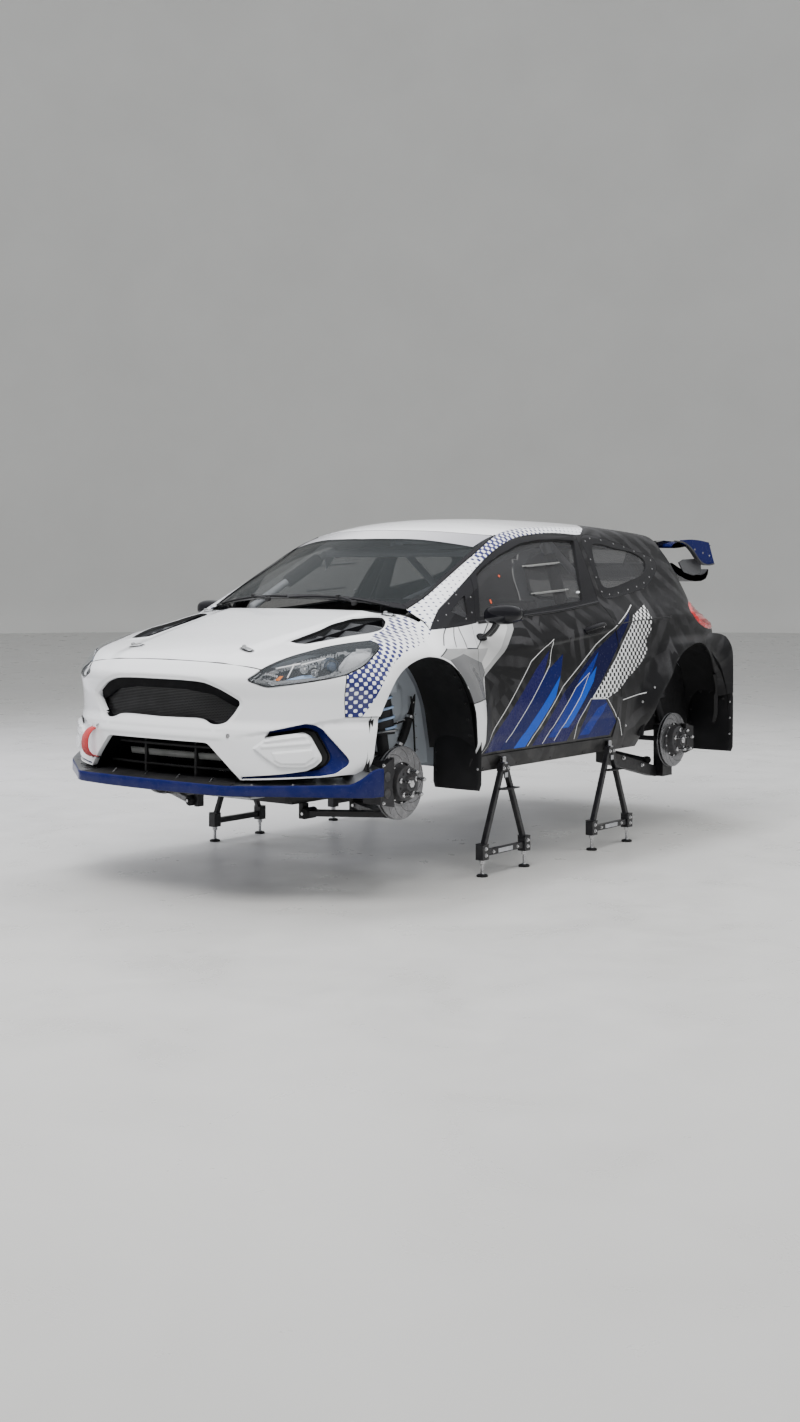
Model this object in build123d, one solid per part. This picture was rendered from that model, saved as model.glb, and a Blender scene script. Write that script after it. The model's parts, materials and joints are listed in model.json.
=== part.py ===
from build123d import *
import os
import math

# Rally hatchback on four A-frame stands, wheels off. Millimetres.
# Working frame: X to the car's left, Y rearward from the front axle, Z up from the floor.
# Everything is written out moved by -Y_MID, so that the origin is the floor point under
# the middle of the whole thing.

# ---------------------------------------------------------------- driving sizes
LENGTH = 4065.0
Y_FRONT = -830.0                       # splitter tip
Y_MID = Y_FRONT + LENGTH / 2           # 1202.5
WHEELBASE = 2493.0
HUB_Z = 475.0
ROOF_Z = 1702.0
T_PANEL = 14.0                         # outer panels
T_SIDE = 46.0                          # body side walls
T_DOOR = 50.0
T_FRAME = 26.0                         # window frames
T_GLASS = 5.0
GAP = 7.0                              # shut lines
GAP_REAR = 12.0                        # where a swinging edge leads

SILL_BOTTOM = 475.0
SILL_TOP = 556.0
DOOR_BOTTOM = 563.0
DOOR_FRONT = 460.0

HINGE_Y = 485.0                        # door hinge line
HINGE_X = 838.0                        # at z = 750
HINGE_Z = 750.0
HINGE_TILT = 3.0                       # degrees inboard at the top
HINGE_HEIGHTS = (720.0, 930.0)
HINGE_PIN_R = 6.0

GATE_Y, GATE_Z = 2752.0, 1616.0        # tailgate hinge line

KING_LOW = (690.0, 0.0, 355.0)         # steering axis
KING_TOP = (590.0, 0.0, 1000.0)

DISC_R_F, DISC_R_R = 165.0, 150.0
DISC_X = 740.0
DISC_T = 26.0
FLANGE_X = 790.0
STUD_PCD = 114.3
STUD_R = 6.0
STUD_TIP = 850.0

STAND_X = 858.0
STAND_Y = (654.0, 1622.0)
STAND_FOOT = 175.0                     # half spread
STAND_TOP = 466.0

# ---------------------------------------------------------------- body sections
# y, then x and z of: sill edge, low side, widest, shoulder, belt, rail, crown edge, and z of the centre
BODY = [
    #  y     xs   zs    xl   zl    xw   zw    xh    zh    xb    zb    xr    zr    xc    zc    zt
    (-350, 800, 520, 855, 600, 878, 760, 866, 880, 800, 990, 700, 1062, 350, 1124, 1142),
    (0,    800, 510, 868, 600, 900, 780, 890, 920, 812, 1075, 716, 1146, 420, 1202, 1220),
    (140,  800, 490, 866, 600, 898, 780, 882, 950, 790, 1128, 716, 1182, 440, 1232, 1252),
    (450,  800, 475, 845, 600, 864, 780, 846, 980, 784, 1166, 728, 1298, 602, 1345, 1462),
    (640,  800, 475, 842, 600, 860, 780, 842, 990, 781, 1177, 700, 1390, 588, 1437, 1565),
    (910,  800, 475, 842, 600, 859, 780, 842, 1005, 780, 1196, 650, 1520, 566, 1556, 1655),
    (1150, 800, 475, 843, 600, 860, 785, 843, 1020, 780, 1214, 606, 1586, 545, 1626, 1688),
    (1640, 800, 475, 848, 600, 866, 800, 850, 1050, 777, 1262, 600, 1612, 545, 1652, ROOF_Z),
    (1940, 800, 475, 868, 600, 886, 820, 868, 1062, 752, 1292, 600, 1596, 545, 1648, 1697),
    (2150, 800, 480, 880, 620, 904, 830, 884, 1066, 744, 1318, 600, 1572, 545, 1636, 1689),
    (2450, 800, 500, 884, 640, 907, 850, 886, 1066, 732, 1340, 602, 1508, 550, 1606, 1669),
    (2700, 800, 520, 880, 640, 900, 850, 872, 1050, 716, 1326, 604, 1420, 552, 1542, 1646),
    (2900, 780, 520, 862, 640, 878, 800, 836, 1000, 690, 1240, 620, 1284, 560, 1330, 1470),
]

# bonnet: y, then x and z of the edge, x and z of the crown, z of the centre
NOSE_TOP = [
    # y, x edge, z edge, x mid, z mid, z centre
    (-722, 380, 1028, 200, 1040, 1046),
    (-640, 520, 1046, 260, 1072, 1082),
    (-500, 600, 1066, 300, 1100, 1114),
    (-350, 668, 1088, 330, 1128, 1144),
    (0, 700, 1152, 420, 1202, 1220),
    (96, 708, 1178, 440, 1224, 1246),
]


def lerp(a, b, s):
    return a + (b - a) * s


def section(y):
    """Half section at y: eight (x, z) points from the sill edge to the centre line."""
    rows = BODY
    if y <= rows[0][0]:
        lo, hi = rows[0], rows[1]
    elif y >= rows[-1][0]:
        lo, hi = rows[-2], rows[-1]
    else:
        for lo, hi in zip(rows, rows[1:]):
            if lo[0] <= y <= hi[0]:
                break
    s = (y - lo[0]) / (hi[0] - lo[0])
    v = [lerp(a, b, s) for a, b in zip(lo, hi)]
    return [(v[1 + 2 * k], v[2 + 2 * k]) for k in range(7)] + [(0.0, v[15])]


def at(y, v):
    """Point of the section at y, v counted along its corners."""
    pts = section(y)
    k = min(int(v), 6)
    return tuple(lerp(a, b, v - k) for a, b in zip(pts[k], pts[k + 1]))


def normal(y, v):
    """Unit outward normal of the half body surface."""
    e = 1e-3
    a0, a1 = at(y, max(v - e, 0)), at(y, min(v + e, 7))
    b0, b1 = at(y - 1, v), at(y + 1, v)
    du = Vector(a1[0] - a0[0], 0, a1[1] - a0[1])
    dy = Vector(b1[0] - b0[0], 2, b1[1] - b0[1])
    n = dy.cross(du).normalized()
    return n if n.X >= -0.02 and (n.X > 0 or n.Z > 0) else n * -1


def shared_normal(y, v):
    if abs(v - round(v)) < 1e-6 and 0 < v < 7:
        n = normal(y, v - 0.02) + normal(y, v + 0.02)
        return n.normalized()
    if v >= 7:
        n = normal(y, 6.98)
        return Vector(0, n.Y, n.Z).normalized()
    return normal(y, v)


def inset(y, v, t):
    x, z = at(y, v)
    n = shared_normal(y, v)
    h = max(math.hypot(n.X, n.Z), 0.3)
    k = min(t / h, 2.2 * t) / h
    return (x - n.X * k, z - n.Z * k)


def corners(a, b):
    vs = [a]
    k = math.floor(a) + 1
    while k < b - 1e-6:
        vs.append(float(k))
        k += 1
    vs.append(b)
    return vs


def stations(y0, y1):
    ys = [y0] + [r[0] for r in BODY if y0 + 15 < r[0] < y1 - 15] + [y1]
    return ys


def ring(pts):
    return Wire.make_polygon([Vector(*p) for p in pts], close=True)


def bonnet_rings(side_gap, down, up, end_gap):
    rings = []
    rows = [list(r) for r in NOSE_TOP]
    rows[0][0] -= end_gap
    rows[-1][0] += end_gap
    for y, xe, ze, xm, zm, zt in rows:
        xe += side_gap
        o = [(xe, ze + up), (xm, zm + up), (0, zt + up), (-xm, zm + up), (-xe, ze + up)]
        d = T_PANEL + down
        i = [(xe, ze - d), (xm, zm - d), (0, zt - d), (-xm, zm - d), (-xe, ze - d)]
        rings.append(ring([(x, y, z) for x, z in o] + [(x, y, z) for x, z in reversed(i)]))
    return Solid.make_loft(rings, ruled=True)


def half_skin(y0, y1, a, b, t, proud=0.0):
    """Skin of the left half, from section corner a to b, t thick."""
    rings = []
    for y in stations(y0, y1):
        vs = corners(a, b)
        outer = [inset(y, v, -proud) for v in vs]
        inner = [inset(y, v, t) for v in vs]
        rings.append(ring([(x, y, z) for x, z in outer] + [(x, y, z) for x, z in reversed(inner)]))
    return Solid.make_loft(rings, ruled=True)


def full_skin(y0, y1, a, t, proud=0.0):
    """Skin right across the car, from corner a on one side to corner a on the other."""
    rings = []
    for y in stations(y0, y1):
        vs = corners(a, 7.0)
        outer = [inset(y, v, -proud) for v in vs]
        inner = [inset(y, v, t) for v in vs]
        out = outer + [(-x, z) for x, z in reversed(outer[:-1])]
        inn = inner + [(-x, z) for x, z in reversed(inner[:-1])]
        rings.append(ring([(x, y, z) for x, z in out] + [(x, y, z) for x, z in reversed(inn)]))
    return Solid.make_loft(rings, ruled=True)


def prism_x(yz, x0, x1):
    """Outline in side view, drawn out along X."""
    f = Face(Wire.make_polygon([Vector(x0, y, z) for y, z in yz], close=True))
    return Solid.extrude(f, Vector(x1 - x0, 0, 0))


def prism_y(xz, y0, y1):
    f = Face(Wire.make_polygon([Vector(x, y0, z) for x, z in xz], close=True))
    return Solid.extrude(f, Vector(0, y1 - y0, 0))


def prism_z(xy, z0, z1):
    f = Face(Wire.make_polygon([Vector(x, y, z0) for x, y in xy], close=True))
    return Solid.extrude(f, Vector(0, 0, z1 - z0))


def block(x0, x1, y0, y1, z0, z1):
    return Solid.make_box(x1 - x0, y1 - y0, z1 - z0, Plane((x0, y0, z0)))


def rod(p, q, r):
    p, q = Vector(*p), Vector(*q)
    d = q - p
    return Solid.make_cylinder(r, d.length, Plane(origin=p, z_dir=d))


def ball(p, r):
    return Solid.make_sphere(r, Plane(origin=p), angle1=-90, angle2=90, angle3=360)


def fuse(first, *rest):
    out = first
    for r in rest:
        out = out + r
    return out


def cut(first, *rest):
    out = first
    for r in rest:
        out = out - r
    return out


def mirrored(s):
    return s.mirror(Plane.YZ)


def both(s):
    return [s, mirrored(s)]


def grow(outline, g):
    """Outline of a convex-ish shape moved out by g."""
    cy = sum(p[0] for p in outline) / len(outline)
    cz = sum(p[1] for p in outline) / len(outline)
    area = sum(a[0] * b[1] - b[0] * a[1] for a, b in zip(outline, outline[1:] + outline[:1]))
    sgn = 1 if area > 0 else -1
    out = []
    n = len(outline)
    for i in range(n):
        p0, p1, p2 = outline[i - 1], outline[i], outline[(i + 1) % n]
        d1 = (p1[0] - p0[0], p1[1] - p0[1])
        d2 = (p2[0] - p1[0], p2[1] - p1[1])
        l1, l2 = math.hypot(*d1), math.hypot(*d2)
        n1 = (d1[1] / l1 * sgn, -d1[0] / l1 * sgn)
        n2 = (d2[1] / l2 * sgn, -d2[0] / l2 * sgn)
        m = (n1[0] + n2[0], n1[1] + n2[1])
        k = g * 2 / max(m[0] ** 2 + m[1] ** 2, 0.6)
        out.append((p1[0] + m[0] * k, p1[1] + m[1] * k))
    return out


def plan_band(rows, plan, t):
    """Wrap-round skin: plan is (x, dy) from the middle to the corner; rows are (z, y at the middle, x scale, dy scale)."""
    rings = []
    for z, yc, sx, sy in rows:
        out = [(x * sx, yc + dy * sy) for x, dy in plan]
        inn = []
        n = len(out)
        for i, (x, y) in enumerate(out):
            a = out[max(i - 1, 0)]
            b = out[min(i + 1, n - 1)]
            if i == 0:
                a = (-out[1][0], out[1][1])
            d = (b[0] - a[0], b[1] - a[1])
            l = math.hypot(*d)
            s = -1 if plan[-1][1] > 0 else 1
            inn.append((x + s * d[1] / l * t, y - s * d[0] / l * t))
        full_out = [(-x, y) for x, y in out[:0:-1]] + out
        full_in = [(-x, y) for x, y in inn[:0:-1]] + inn
        rings.append(ring([(x, y, z) for x, y in full_out] + [(x, y, z) for x, y in reversed(full_in)]))
    return Solid.make_loft(rings, ruled=True)


def sym(xz):
    return xz + [(-x, z) for x, z in reversed(xz) if x > 0]


NODES = {}


def add(name, *solids):
    flat = []
    for s in solids:
        if isinstance(s, (list, tuple)):
            flat += list(s)
        else:
            flat.append(s)
    parts = []
    for s in flat:
        parts += list(s.solids())
    NODES[name] = parts


# ---------------------------------------------------------------- outlines in side view
DOOR = [(460, 563), (460, 1010), (478, 1120), (508, 1178), (552, 1194), (562, 1346), (640, 1386), (910, 1516), (1150, 1580), (1400, 1606),
        (1690, 1606), (1672, 1440), (1655, 1262), (1742, 1190), (1778, 1120), (1788, 950), (1760, 720), (1690, 563)]
DOOR_GLASS = [(576, 1196), (583, 1337), (650, 1372), (910, 1492), (1150, 1556), (1400, 1580), (1655, 1581), (1628, 1285), (1007, 1225)]
QUARTER = [(1756, 1318), (1742, 1450), (1756, 1580), (2022, 1564), (2270, 1520), (2390, 1474), (2375, 1425), (2250, 1375), (2030, 1336)]
FRONT_LIGHT = [(240, 1182), (516, 1196), (522, 1306), (400, 1262)]
GATE_XZ = [(0, 1622), (300, 1606), (420, 1575), (505, 1500), (545, 1400), (566, 1250), (600, 1100), (600, 846)]
ARCH_F = [(-372, 300), (-372, 586), (-341, 738), (-306, 832), (-252, 934), (-180, 983), (-92, 1024), (27, 1042), (142, 1018), (228, 968),
          (299, 886), (348, 790), (376, 694), (393, 590), (408, 300)]
ARCH_R = [(1930, 300), (1957, 538), (2008, 687), (2164, 833), (2226, 923), (2313, 982), (2509, 1022), (2690, 957), (2829, 843),
          (2888, 719), (2900, 300)]

# ---------------------------------------------------------------- floor and walls
floor = block(-700, 700, 440, 1972, 500, 512)
tunnel = prism_y([(-130, 512), (-110, 640), (110, 640), (130, 512)], 440, 1900)
firewall = block(-640, 640, 440, 452, 512, 1100)
rear_deck = block(-600, 600, 1960, 1972, 512, 800)
boot = block(-505, 505, 1972, 2900, 640, 652)
boot_sides = [block(x, x + 10, 1972, 2900, 652, 800) for x in (-505, 495)]
add("floor_pan", cut(fuse(floor, tunnel, firewall, rear_deck, boot, *boot_sides), prism_y([(-112, 480), (-96, 622), (96, 622), (112, 480)], 300, 1890)))

# body side: sill, door frame, quarter panel, window posts
side = half_skin(DOOR_FRONT - 60, 2900, 0.0, 6.0, T_SIDE)
side = cut(side, prism_x(grow(DOOR, GAP_REAR), 300, 1000), prism_x(QUARTER, 300, 1000), prism_x(ARCH_R, 300, 1000), prism_x(FRONT_LIGHT, 300, 1000))
side = cut(side, block(600, 1000, 380, 470, 400, 1190), prism_y(grow(sym(GATE_XZ), 10), 2640, 3400))
pillar = half_skin(150, DOOR_FRONT - 40, 5.0, 6.0, 30.0)
sail = cut(half_skin(190, 560, 4.0, 5.02, 22.0), prism_x(FRONT_LIGHT, 300, 1000), prism_x(grow(DOOR, GAP_REAR), 300, 1000))
post = fuse(block(704, 745, 434, 500, 500, 1080), block(704, 725, 434, 500, 1080, 1150), block(704, 770, 434, 446, 1060, 1187), block(704, 790, 434, 520, 478, 545))


def hinge_at(z):
    """Centre of a door hinge on the tilted hinge line."""
    return HINGE_X - (z - HINGE_Z) * math.tan(math.radians(HINGE_TILT))


def hinge_rod(z, half, r):
    return rod((hinge_at(z - half), HINGE_Y, z - half), (hinge_at(z + half), HINGE_Y, z + half), r)


hinges = []
for z in HINGE_HEIGHTS:
    hinges += [block(740, hinge_at(z) + 2, HINGE_Y - 8, HINGE_Y + 8, z - 9, z + 9), hinge_rod(z, 38, HINGE_PIN_R)]
side = fuse(side, pillar, sail, post, *hinges)
side_solids = sorted(side.solids(), key=lambda s: -s.volume)
add("body_sides", both(side_solids[0]))
print("side pieces", [round(s.volume / 1e6, 2) for s in side.solids()])

# ---------------------------------------------------------------- top
GATE_PIN_X = (215, 275)
roof = full_skin(905, GATE_Y - 22, 6.02, T_PANEL)
for s in (1, -1):
    a, b = sorted((s * GATE_PIN_X[0], s * GATE_PIN_X[1]))
    c = s * GATE_PIN_X[0]
    roof = fuse(roof, rod((a, GATE_Y, GATE_Z), (b, GATE_Y, GATE_Z), 5), block(min(c, c + 6 * s), max(c, c + 6 * s), 2700, 2729, 1594, 1620),
                block(min(c, c + 6 * s), max(c, c + 6 * s), 2710, GATE_Y + 4, 1612, 1620))
print("roof solids", len(roof.solids()))
add("roof_panel", sorted(roof.solids(), key=lambda q: -q.volume)[0])
roof_keep = full_skin(2480, GATE_Y - 12, 5.8, T_PANEL + 8, proud=60)
add("windscreen", full_skin(150, 897, 6.03, T_GLASS))

# ---------------------------------------------------------------- doors
low = half_skin(440, 1800, 0.4, 4.0, T_DOOR)
top = half_skin(440, 1800, 3.9, 5.0, T_FRAME)
door = fuse(low, top) & prism_x(DOOR, 300, 1000)
door = cut(door, prism_x(DOOR_GLASS, 300, 1000))
for z in HINGE_HEIGHTS:
    door = cut(door, block(690, hinge_at(z) + 13, 440, HINGE_Y + 17, z - 18, z + 18), hinge_rod(z, 40, HINGE_PIN_R + 0.5))
door = sorted(door.solids(), key=lambda s: -s.volume)[0]
pane = half_skin(500, 1700, 3.95, 5.0, 8.0 + T_GLASS)
pane = cut(pane, half_skin(495, 1705, 3.9, 5.05, 8.0, proud=20)) & prism_x(grow(DOOR_GLASS, -1.0), 300, 1000)
add("door_left", door)
add("door_right", mirrored(door))
add("door_window_left", pane)
add("door_window_right", mirrored(pane))
qpane = half_skin(1700, 2480, 3.95, 5.0, 8.0 + T_GLASS)
qpane = cut(qpane, half_skin(1690, 2490, 3.9, 5.05, 8.0, proud=20)) & prism_x(grow(QUARTER, -1.0), 300, 1000)
fpane = cut(half_skin(200, 545, 3.95, 5.0, 13.0), half_skin(190, 555, 3.9, 5.05, 8.0, proud=20)) & prism_x(grow(FRONT_LIGHT, -1.0), 300, 1000)
add("quarter_windows", both(qpane) + both(fpane))

# mirrors
mir = fuse(block(868, 1000, 488, 560, 1176, 1262), prism_y([(806, 1120), (806, 1160), (880, 1206), (880, 1176)], 506, 540))
mir = cut(mir, block(876, 992, 552, 570, 1184, 1254))
mir = cut(mir, half_skin(440, 700, 0.5, 5.0, T_DOOR + 30), half_skin(440, 700, 0.5, 5.0, T_DOOR, proud=0.0))
mir = sorted(mir.solids(), key=lambda s: -s.volume)[0]
add("mirror_left", mir)
add("mirror_right", mirrored(mir))

# ---------------------------------------------------------------- front end
wing = cut(half_skin(-250, DOOR_FRONT - 8, 1.0, 4.0, 4.0), prism_x(ARCH_F, 300, 1000))
wing = fuse(wing, half_skin(-250, 186, 3.98, 5.0, 5.0))
wing = cut(wing, prism_x([(180, 1120), (900, 1140), (900, 1300), (180, 1300)], 300, 1000))
lift = bonnet_rings(6.0, 6.0, 420.0, 6.0)
wing = cut(wing, lift)
wing = sorted(wing.solids(), key=lambda s: -s.volume)[0]
add("front_wings", both(wing))

# bumper: plan from the middle to the corner, dy back from the tip
NOSE = [(0, 0), (280, 15), (450, 52), (620, 130), (760, 270), (850, 400), (878, 470)]
BUMPER_ROWS = [
    # z, y at the middle, x scale, dy scale
    (530, -790, 0.985, 1.0),
    (700, -797, 1.0, 1.0),
    (780, -776, 1.0, 1.0),
    (870, -792, 0.995, 1.0),
    (960, -790, 0.985, 1.0),
    (1000, -762, 0.97, 1.0),
    (1028, -735, 0.95, 1.0),
]
bumper = plan_band(BUMPER_ROWS, NOSE, 30.0)
UPPER = [(0, 957), (155, 955), (281, 943), (447, 869), (346, 768), (290, 770), (250, 782), (0, 782)]
LOWER = [(0, 690), (301, 685), (454, 545), (454, 500), (0, 500)]
FOG = [(470, 640), (520, 690), (700, 735), (760, 690), (800, 620), (740, 560), (560, 560)]


bumper = cut(bumper, prism_y(sym(UPPER), -900, -600), prism_y(sym(LOWER), -900, -560), prism_x(ARCH_F, 300, 1000), mirrored(prism_x(ARCH_F, 300, 1000)))
for s in (1, -1):
    bumper = cut(bumper, prism_y([(s * x, z) for x, z in FOG], -900, -200))
LAMP_XZ = [(470, 935), (560, 905), (720, 930), (850, 985), (850, 1090), (700, 1062), (560, 1010)]
for s in (1, -1):
    bumper = cut(bumper, prism_y([(s * x, z) for x, z in LAMP_XZ], -900, -100))
bumper = cut(bumper, block(-1000, 1000, -258, 0, 0, 2000))
bumper = sorted(cut(bumper, lift).solids(), key=lambda s: -s.volume)[0]
add("front_bumper", bumper)

grille_u = prism_y(grow(sym(UPPER), -3), -742, -736)
grille_l = prism_y(grow(sym(LOWER), -3), -735, -729)
covers = []
for s in (1, -1):
    c = plan_band([(z, y + 26, sx, sy) for z, y, sx, sy in BUMPER_ROWS], NOSE, 6.0) & prism_y([(s * x, z) for x, z in grow(FOG, -4)], -900, -200)
    covers.append(c)
grille_l = grille_l & block(-620, 620, -900, -600, 522, 1100)
add("grilles", grille_u, grille_l, covers)

SPLIT = [(0, -830), (240, -828), (468, -812), (700, -660), (866, -506), (880, -385), (800, -385), (760, -450), (500, -650), (0, -650)]
lip = prism_z(sym(SPLIT), 470, 520)
fins = [prism_x([(-506, 520), (-506, 526), (-385, 578), (-385, 520)], 862, 880)]
add("front_splitter", fuse(lip, fins[0], mirrored(fins[0])))

lamp = plan_band([(z, y + 3, sx, sy) for z, y, sx, sy in BUMPER_ROWS] + [(1092, -690, 0.95, 1.0)], NOSE, 60.0)
lamps = []
for s in (1, -1):
    c = cut(lamp & prism_y([(s * x, z) for x, z in grow(LAMP_XZ, -5)], -900, -259), lift)
    lamps.append(sorted(c.solids(), key=lambda q: -q.volume)[0])
add("headlights", lamps)

# bonnet: lofted on the body sections, with the nose rows added in front
bonnet = bonnet_rings(0.0, 0.0, 0.0, 0.0)
add("bonnet", bonnet)

# scuttle between bonnet and windscreen, wipers on it
scuttle = [prism_y([(-640, 1150), (-640, 1162), (640, 1162), (640, 1150)], 104, 146)]
add("cowl_and_wipers", scuttle, rod((430, 130, 1262), (60, 170, 1312), 7), rod((-150, 130, 1272), (-520, 170, 1300), 7))

# ---------------------------------------------------------------- rear end
TAIL = [(0, 0), (300, -12), (520, -45), (640, -95)]
gate_rows = [
    # z, y at the middle, x scale, dy scale
    (846, 3196, 1.0, 1.0),
    (1000, 3190, 1.0, 1.0),
    (1150, 3150, 1.0, 1.0),
    (1250, 3092, 1.0, 1.1),
    (1400, 2960, 1.0, 1.2),
    (1560, 2812, 1.0, 1.0),
    (1622, 2754, 1.0, 0.8),
]
gate = plan_band(gate_rows, TAIL, 40.0)
REAR_GLASS = [(0, 1270), (490, 1275), (462, 1440), (380, 1540), (0, 1572)]
gate = gate & prism_y(sym(GATE_XZ), 2500, 3400)
gate = cut(gate, prism_y(sym(REAR_GLASS), 2500, 3400), roof_keep, rod((-300, GATE_Y, GATE_Z), (300, GATE_Y, GATE_Z), 11))
gate = sorted(gate.solids(), key=lambda q: -q.volume)[0]
rglass = plan_band([(z, y - 10, sx, sy) for z, y, sx, sy in gate_rows], TAIL, 6.0) & prism_y(grow(sym(REAR_GLASS), -2), 2500, 3400)
add("tailgate", gate)
add("rear_window", rglass)

REAR = [(0, 0), (400, -10), (640, -70), (800, -200), (870, -330)]
rb = plan_band([(470, 3190, 0.96, 1.0), (600, 3228, 0.99, 1.0), (760, 3235, 1.0, 1.0), (838, 3215, 0.99, 1.0)], REAR, 26.0)
rb = cut(rb, block(-1000, 1000, 2000, 2926, 0, 2000))
add("rear_bumper", sorted(rb.solids(), key=lambda q: -q.volume)[0])
print("bumper", rb.bounding_box())

tl = []
for s in (1, -1):
    t = prism_y([(s * 640, 1090), (s * 650, 1180), (s * 700, 1240), (s * 760, 1180), (s * 790, 1080), (s * 720, 1040)], 2912, 3000)
    tl.append(t)
add("tail_lights", tl)

# rear wing: two tiers between end plates, carried by two struts from the tailgate
FOIL_T = [(0, 0), (40, 26), (150, 30), (250, 12), (150, 6), (40, 2)]
def foil(y0, z0, chord, x, lift=0.0):
    k = chord / 250.0
    return prism_x([(y0 + a * k, z0 + b * k + lift * a / 250.0) for a, b in FOIL_T], -x, x)
wing_up = foil(2970, 1545, 255, 600, lift=18)
wing_lo = foil(2985, 1405, 240, 600, lift=8)
plates = [prism_x([(2920, 1395), (2920, 1470), (2985, 1600), (3215, 1606), (3235, 1500), (3225, 1395)], x0, x0 + 8) for x0 in (600, -608)]
struts_w = [prism_x([(2806, 1588), (2790, 1606), (2990, 1572), (3060, 1560), (3020, 1412), (2985, 1412), (2975, 1520)], x0, x0 + 14) for x0 in (240, -254)]
add("rear_wing", fuse(wing_up, wing_lo, plates[0], plates[1], struts_w[0], struts_w[1]))

# ---------------------------------------------------------------- inside
add("dashboard", fuse(block(-588, 588, 452, 600, 980, 1110), block(-90, 90, 600, 760, 980, 1020)))
wheel_rim = Solid.make_torus(165, 14, Plane(origin=(340, 760, 1080), z_dir=(0, -0.9, 0.35)))
add("steering_wheel", fuse(wheel_rim, rod((340, 760, 1080), (340, 622, 1030), 20), rod((180, 760, 1080), (500, 760, 1080), 9)))

SEAT_W, SEAT_IN = 235, 205


def seat(x):
    prof = [(880, 560), (880, 700), (1180, 640), (1230, 640), (1420, 1280), (1470, 1280), (1300, 570)]
    s = prism_x(prof, x - SEAT_W, x + SEAT_W)
    s = cut(s, prism_x([(850, 722), (850, 1500), (1380, 1500), (1180, 668)], x - SEAT_IN, x + SEAT_IN))
    side_wing = [prism_x([(900, 690), (900, 800), (1180, 800), (1350, 1240), (1420, 1240), (1230, 660)], a, a + 30) for a in (x - SEAT_W, x + SEAT_IN)]
    return fuse(s, side_wing[0], side_wing[1])
add("seats", seat(392), seat(-392))

R = 20.0
CAGE_HALF = [
    # p, q
    ((640, 1560, 516), (628, 1560, 1180)),
    ((628, 1560, 1180), (500, 1560, 1590)),
    ((500, 1560, 1590), (500, 960, 1512)),
    ((500, 960, 1512), (606, 500, 1240)),
    ((606, 500, 1240), (625, 490, 516)),
    ((500, 1560, 1590), (520, 2460, 1010)),
]
half_nodes = [(628, 1560, 1180), (500, 1560, 1590), (500, 960, 1512), (606, 500, 1240)]
pieces = []
for p, q in CAGE_HALF:
    for s in (1, -1):
        pieces.append(rod((s * p[0], p[1], p[2]), (s * q[0], q[1], q[2]), R))
for p in half_nodes:
    for s in (1, -1):
        pieces.append(ball((s * p[0], p[1], p[2]), R))
for p, q in [((-500, 1560, 1590), (500, 1560, 1590)), ((-500, 960, 1512), (500, 960, 1512)), ((-500, 960, 1512), (500, 1560, 1590)),
             ((-628, 1560, 1180), (500, 1560, 1590)), ((-628, 1560, 1180), (628, 1560, 1180))]:
    pieces.append(rod(p, q, R - 2))
add("roll_cage", fuse(*pieces))

add("engine_block", block(-330, 330, -380, 60, 560, 960))

# ---------------------------------------------------------------- running gear
def towards(p, q, d):
    p, q = Vector(*p), Vector(*q)
    v = p + (q - p).normalized() * d
    return (v.X, v.Y, v.Z)

king_low_bush = towards(KING_LOW, KING_TOP, 22)
arm = prism_z([(706, -24), (706, 24), (670, 32), (380, 210), (344, 210), (344, 150), (590, 0), (344, -150), (344, -210), (380, -210), (670, -32)], 316, 340)
subf = fuse(block(-330, 330, -260, -180, 370, 430), block(-330, 330, 180, 300, 360, 430), block(-330, -200, -180, 180, 370, 430), block(200, 330, -180, 180, 370, 430))
brk = [block(s * 330 - 12, s * 330 + 12, y - 20, y + 20, 300, 370) for s in (1, -1) for y in (-180, 180)]
rear_sub = fuse(block(-240, 240, 2300, 2380, 390, 450), block(-240, 240, 2600, 2680, 390, 450), block(-240, -200, 2380, 2600, 390, 450), block(200, 240, 2380, 2600, 390, 450),
                *[block(x, x + 40, y, y + 40, 450, 640) for x in (-240, 200) for y in (2320, 2620)])
add("subframes", fuse(subf, *brk), rear_sub)

# strut axis along the steering axis
st0 = towards(KING_LOW, KING_TOP, 215)
st1 = towards(KING_LOW, KING_TOP, 330)
st2 = towards(KING_LOW, KING_TOP, 600)
strut = fuse(rod(st0, st1, 27), rod(st1, st2, 62), rod(st2, towards(KING_LOW, KING_TOP, 640), 80))
rear_st = fuse(rod((640, WHEELBASE + 60, 563), (610, WHEELBASE + 40, 700), 26), rod((610, WHEELBASE + 40, 700), (580, WHEELBASE + 10, 960), 60))
add("struts", both(strut) + both(rear_st))

shaft_f = fuse(rod((340, 0, 475), (610, 0, 475), 14), rod((560, 0, 475), (622, 0, 475), 34))
shaft_r = fuse(rod((250, WHEELBASE, 475), (640, WHEELBASE, 475), 14), rod((306, WHEELBASE, 475), (360, WHEELBASE, 475), 38))
add("driveshafts", both(shaft_f) + both(shaft_r))

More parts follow.
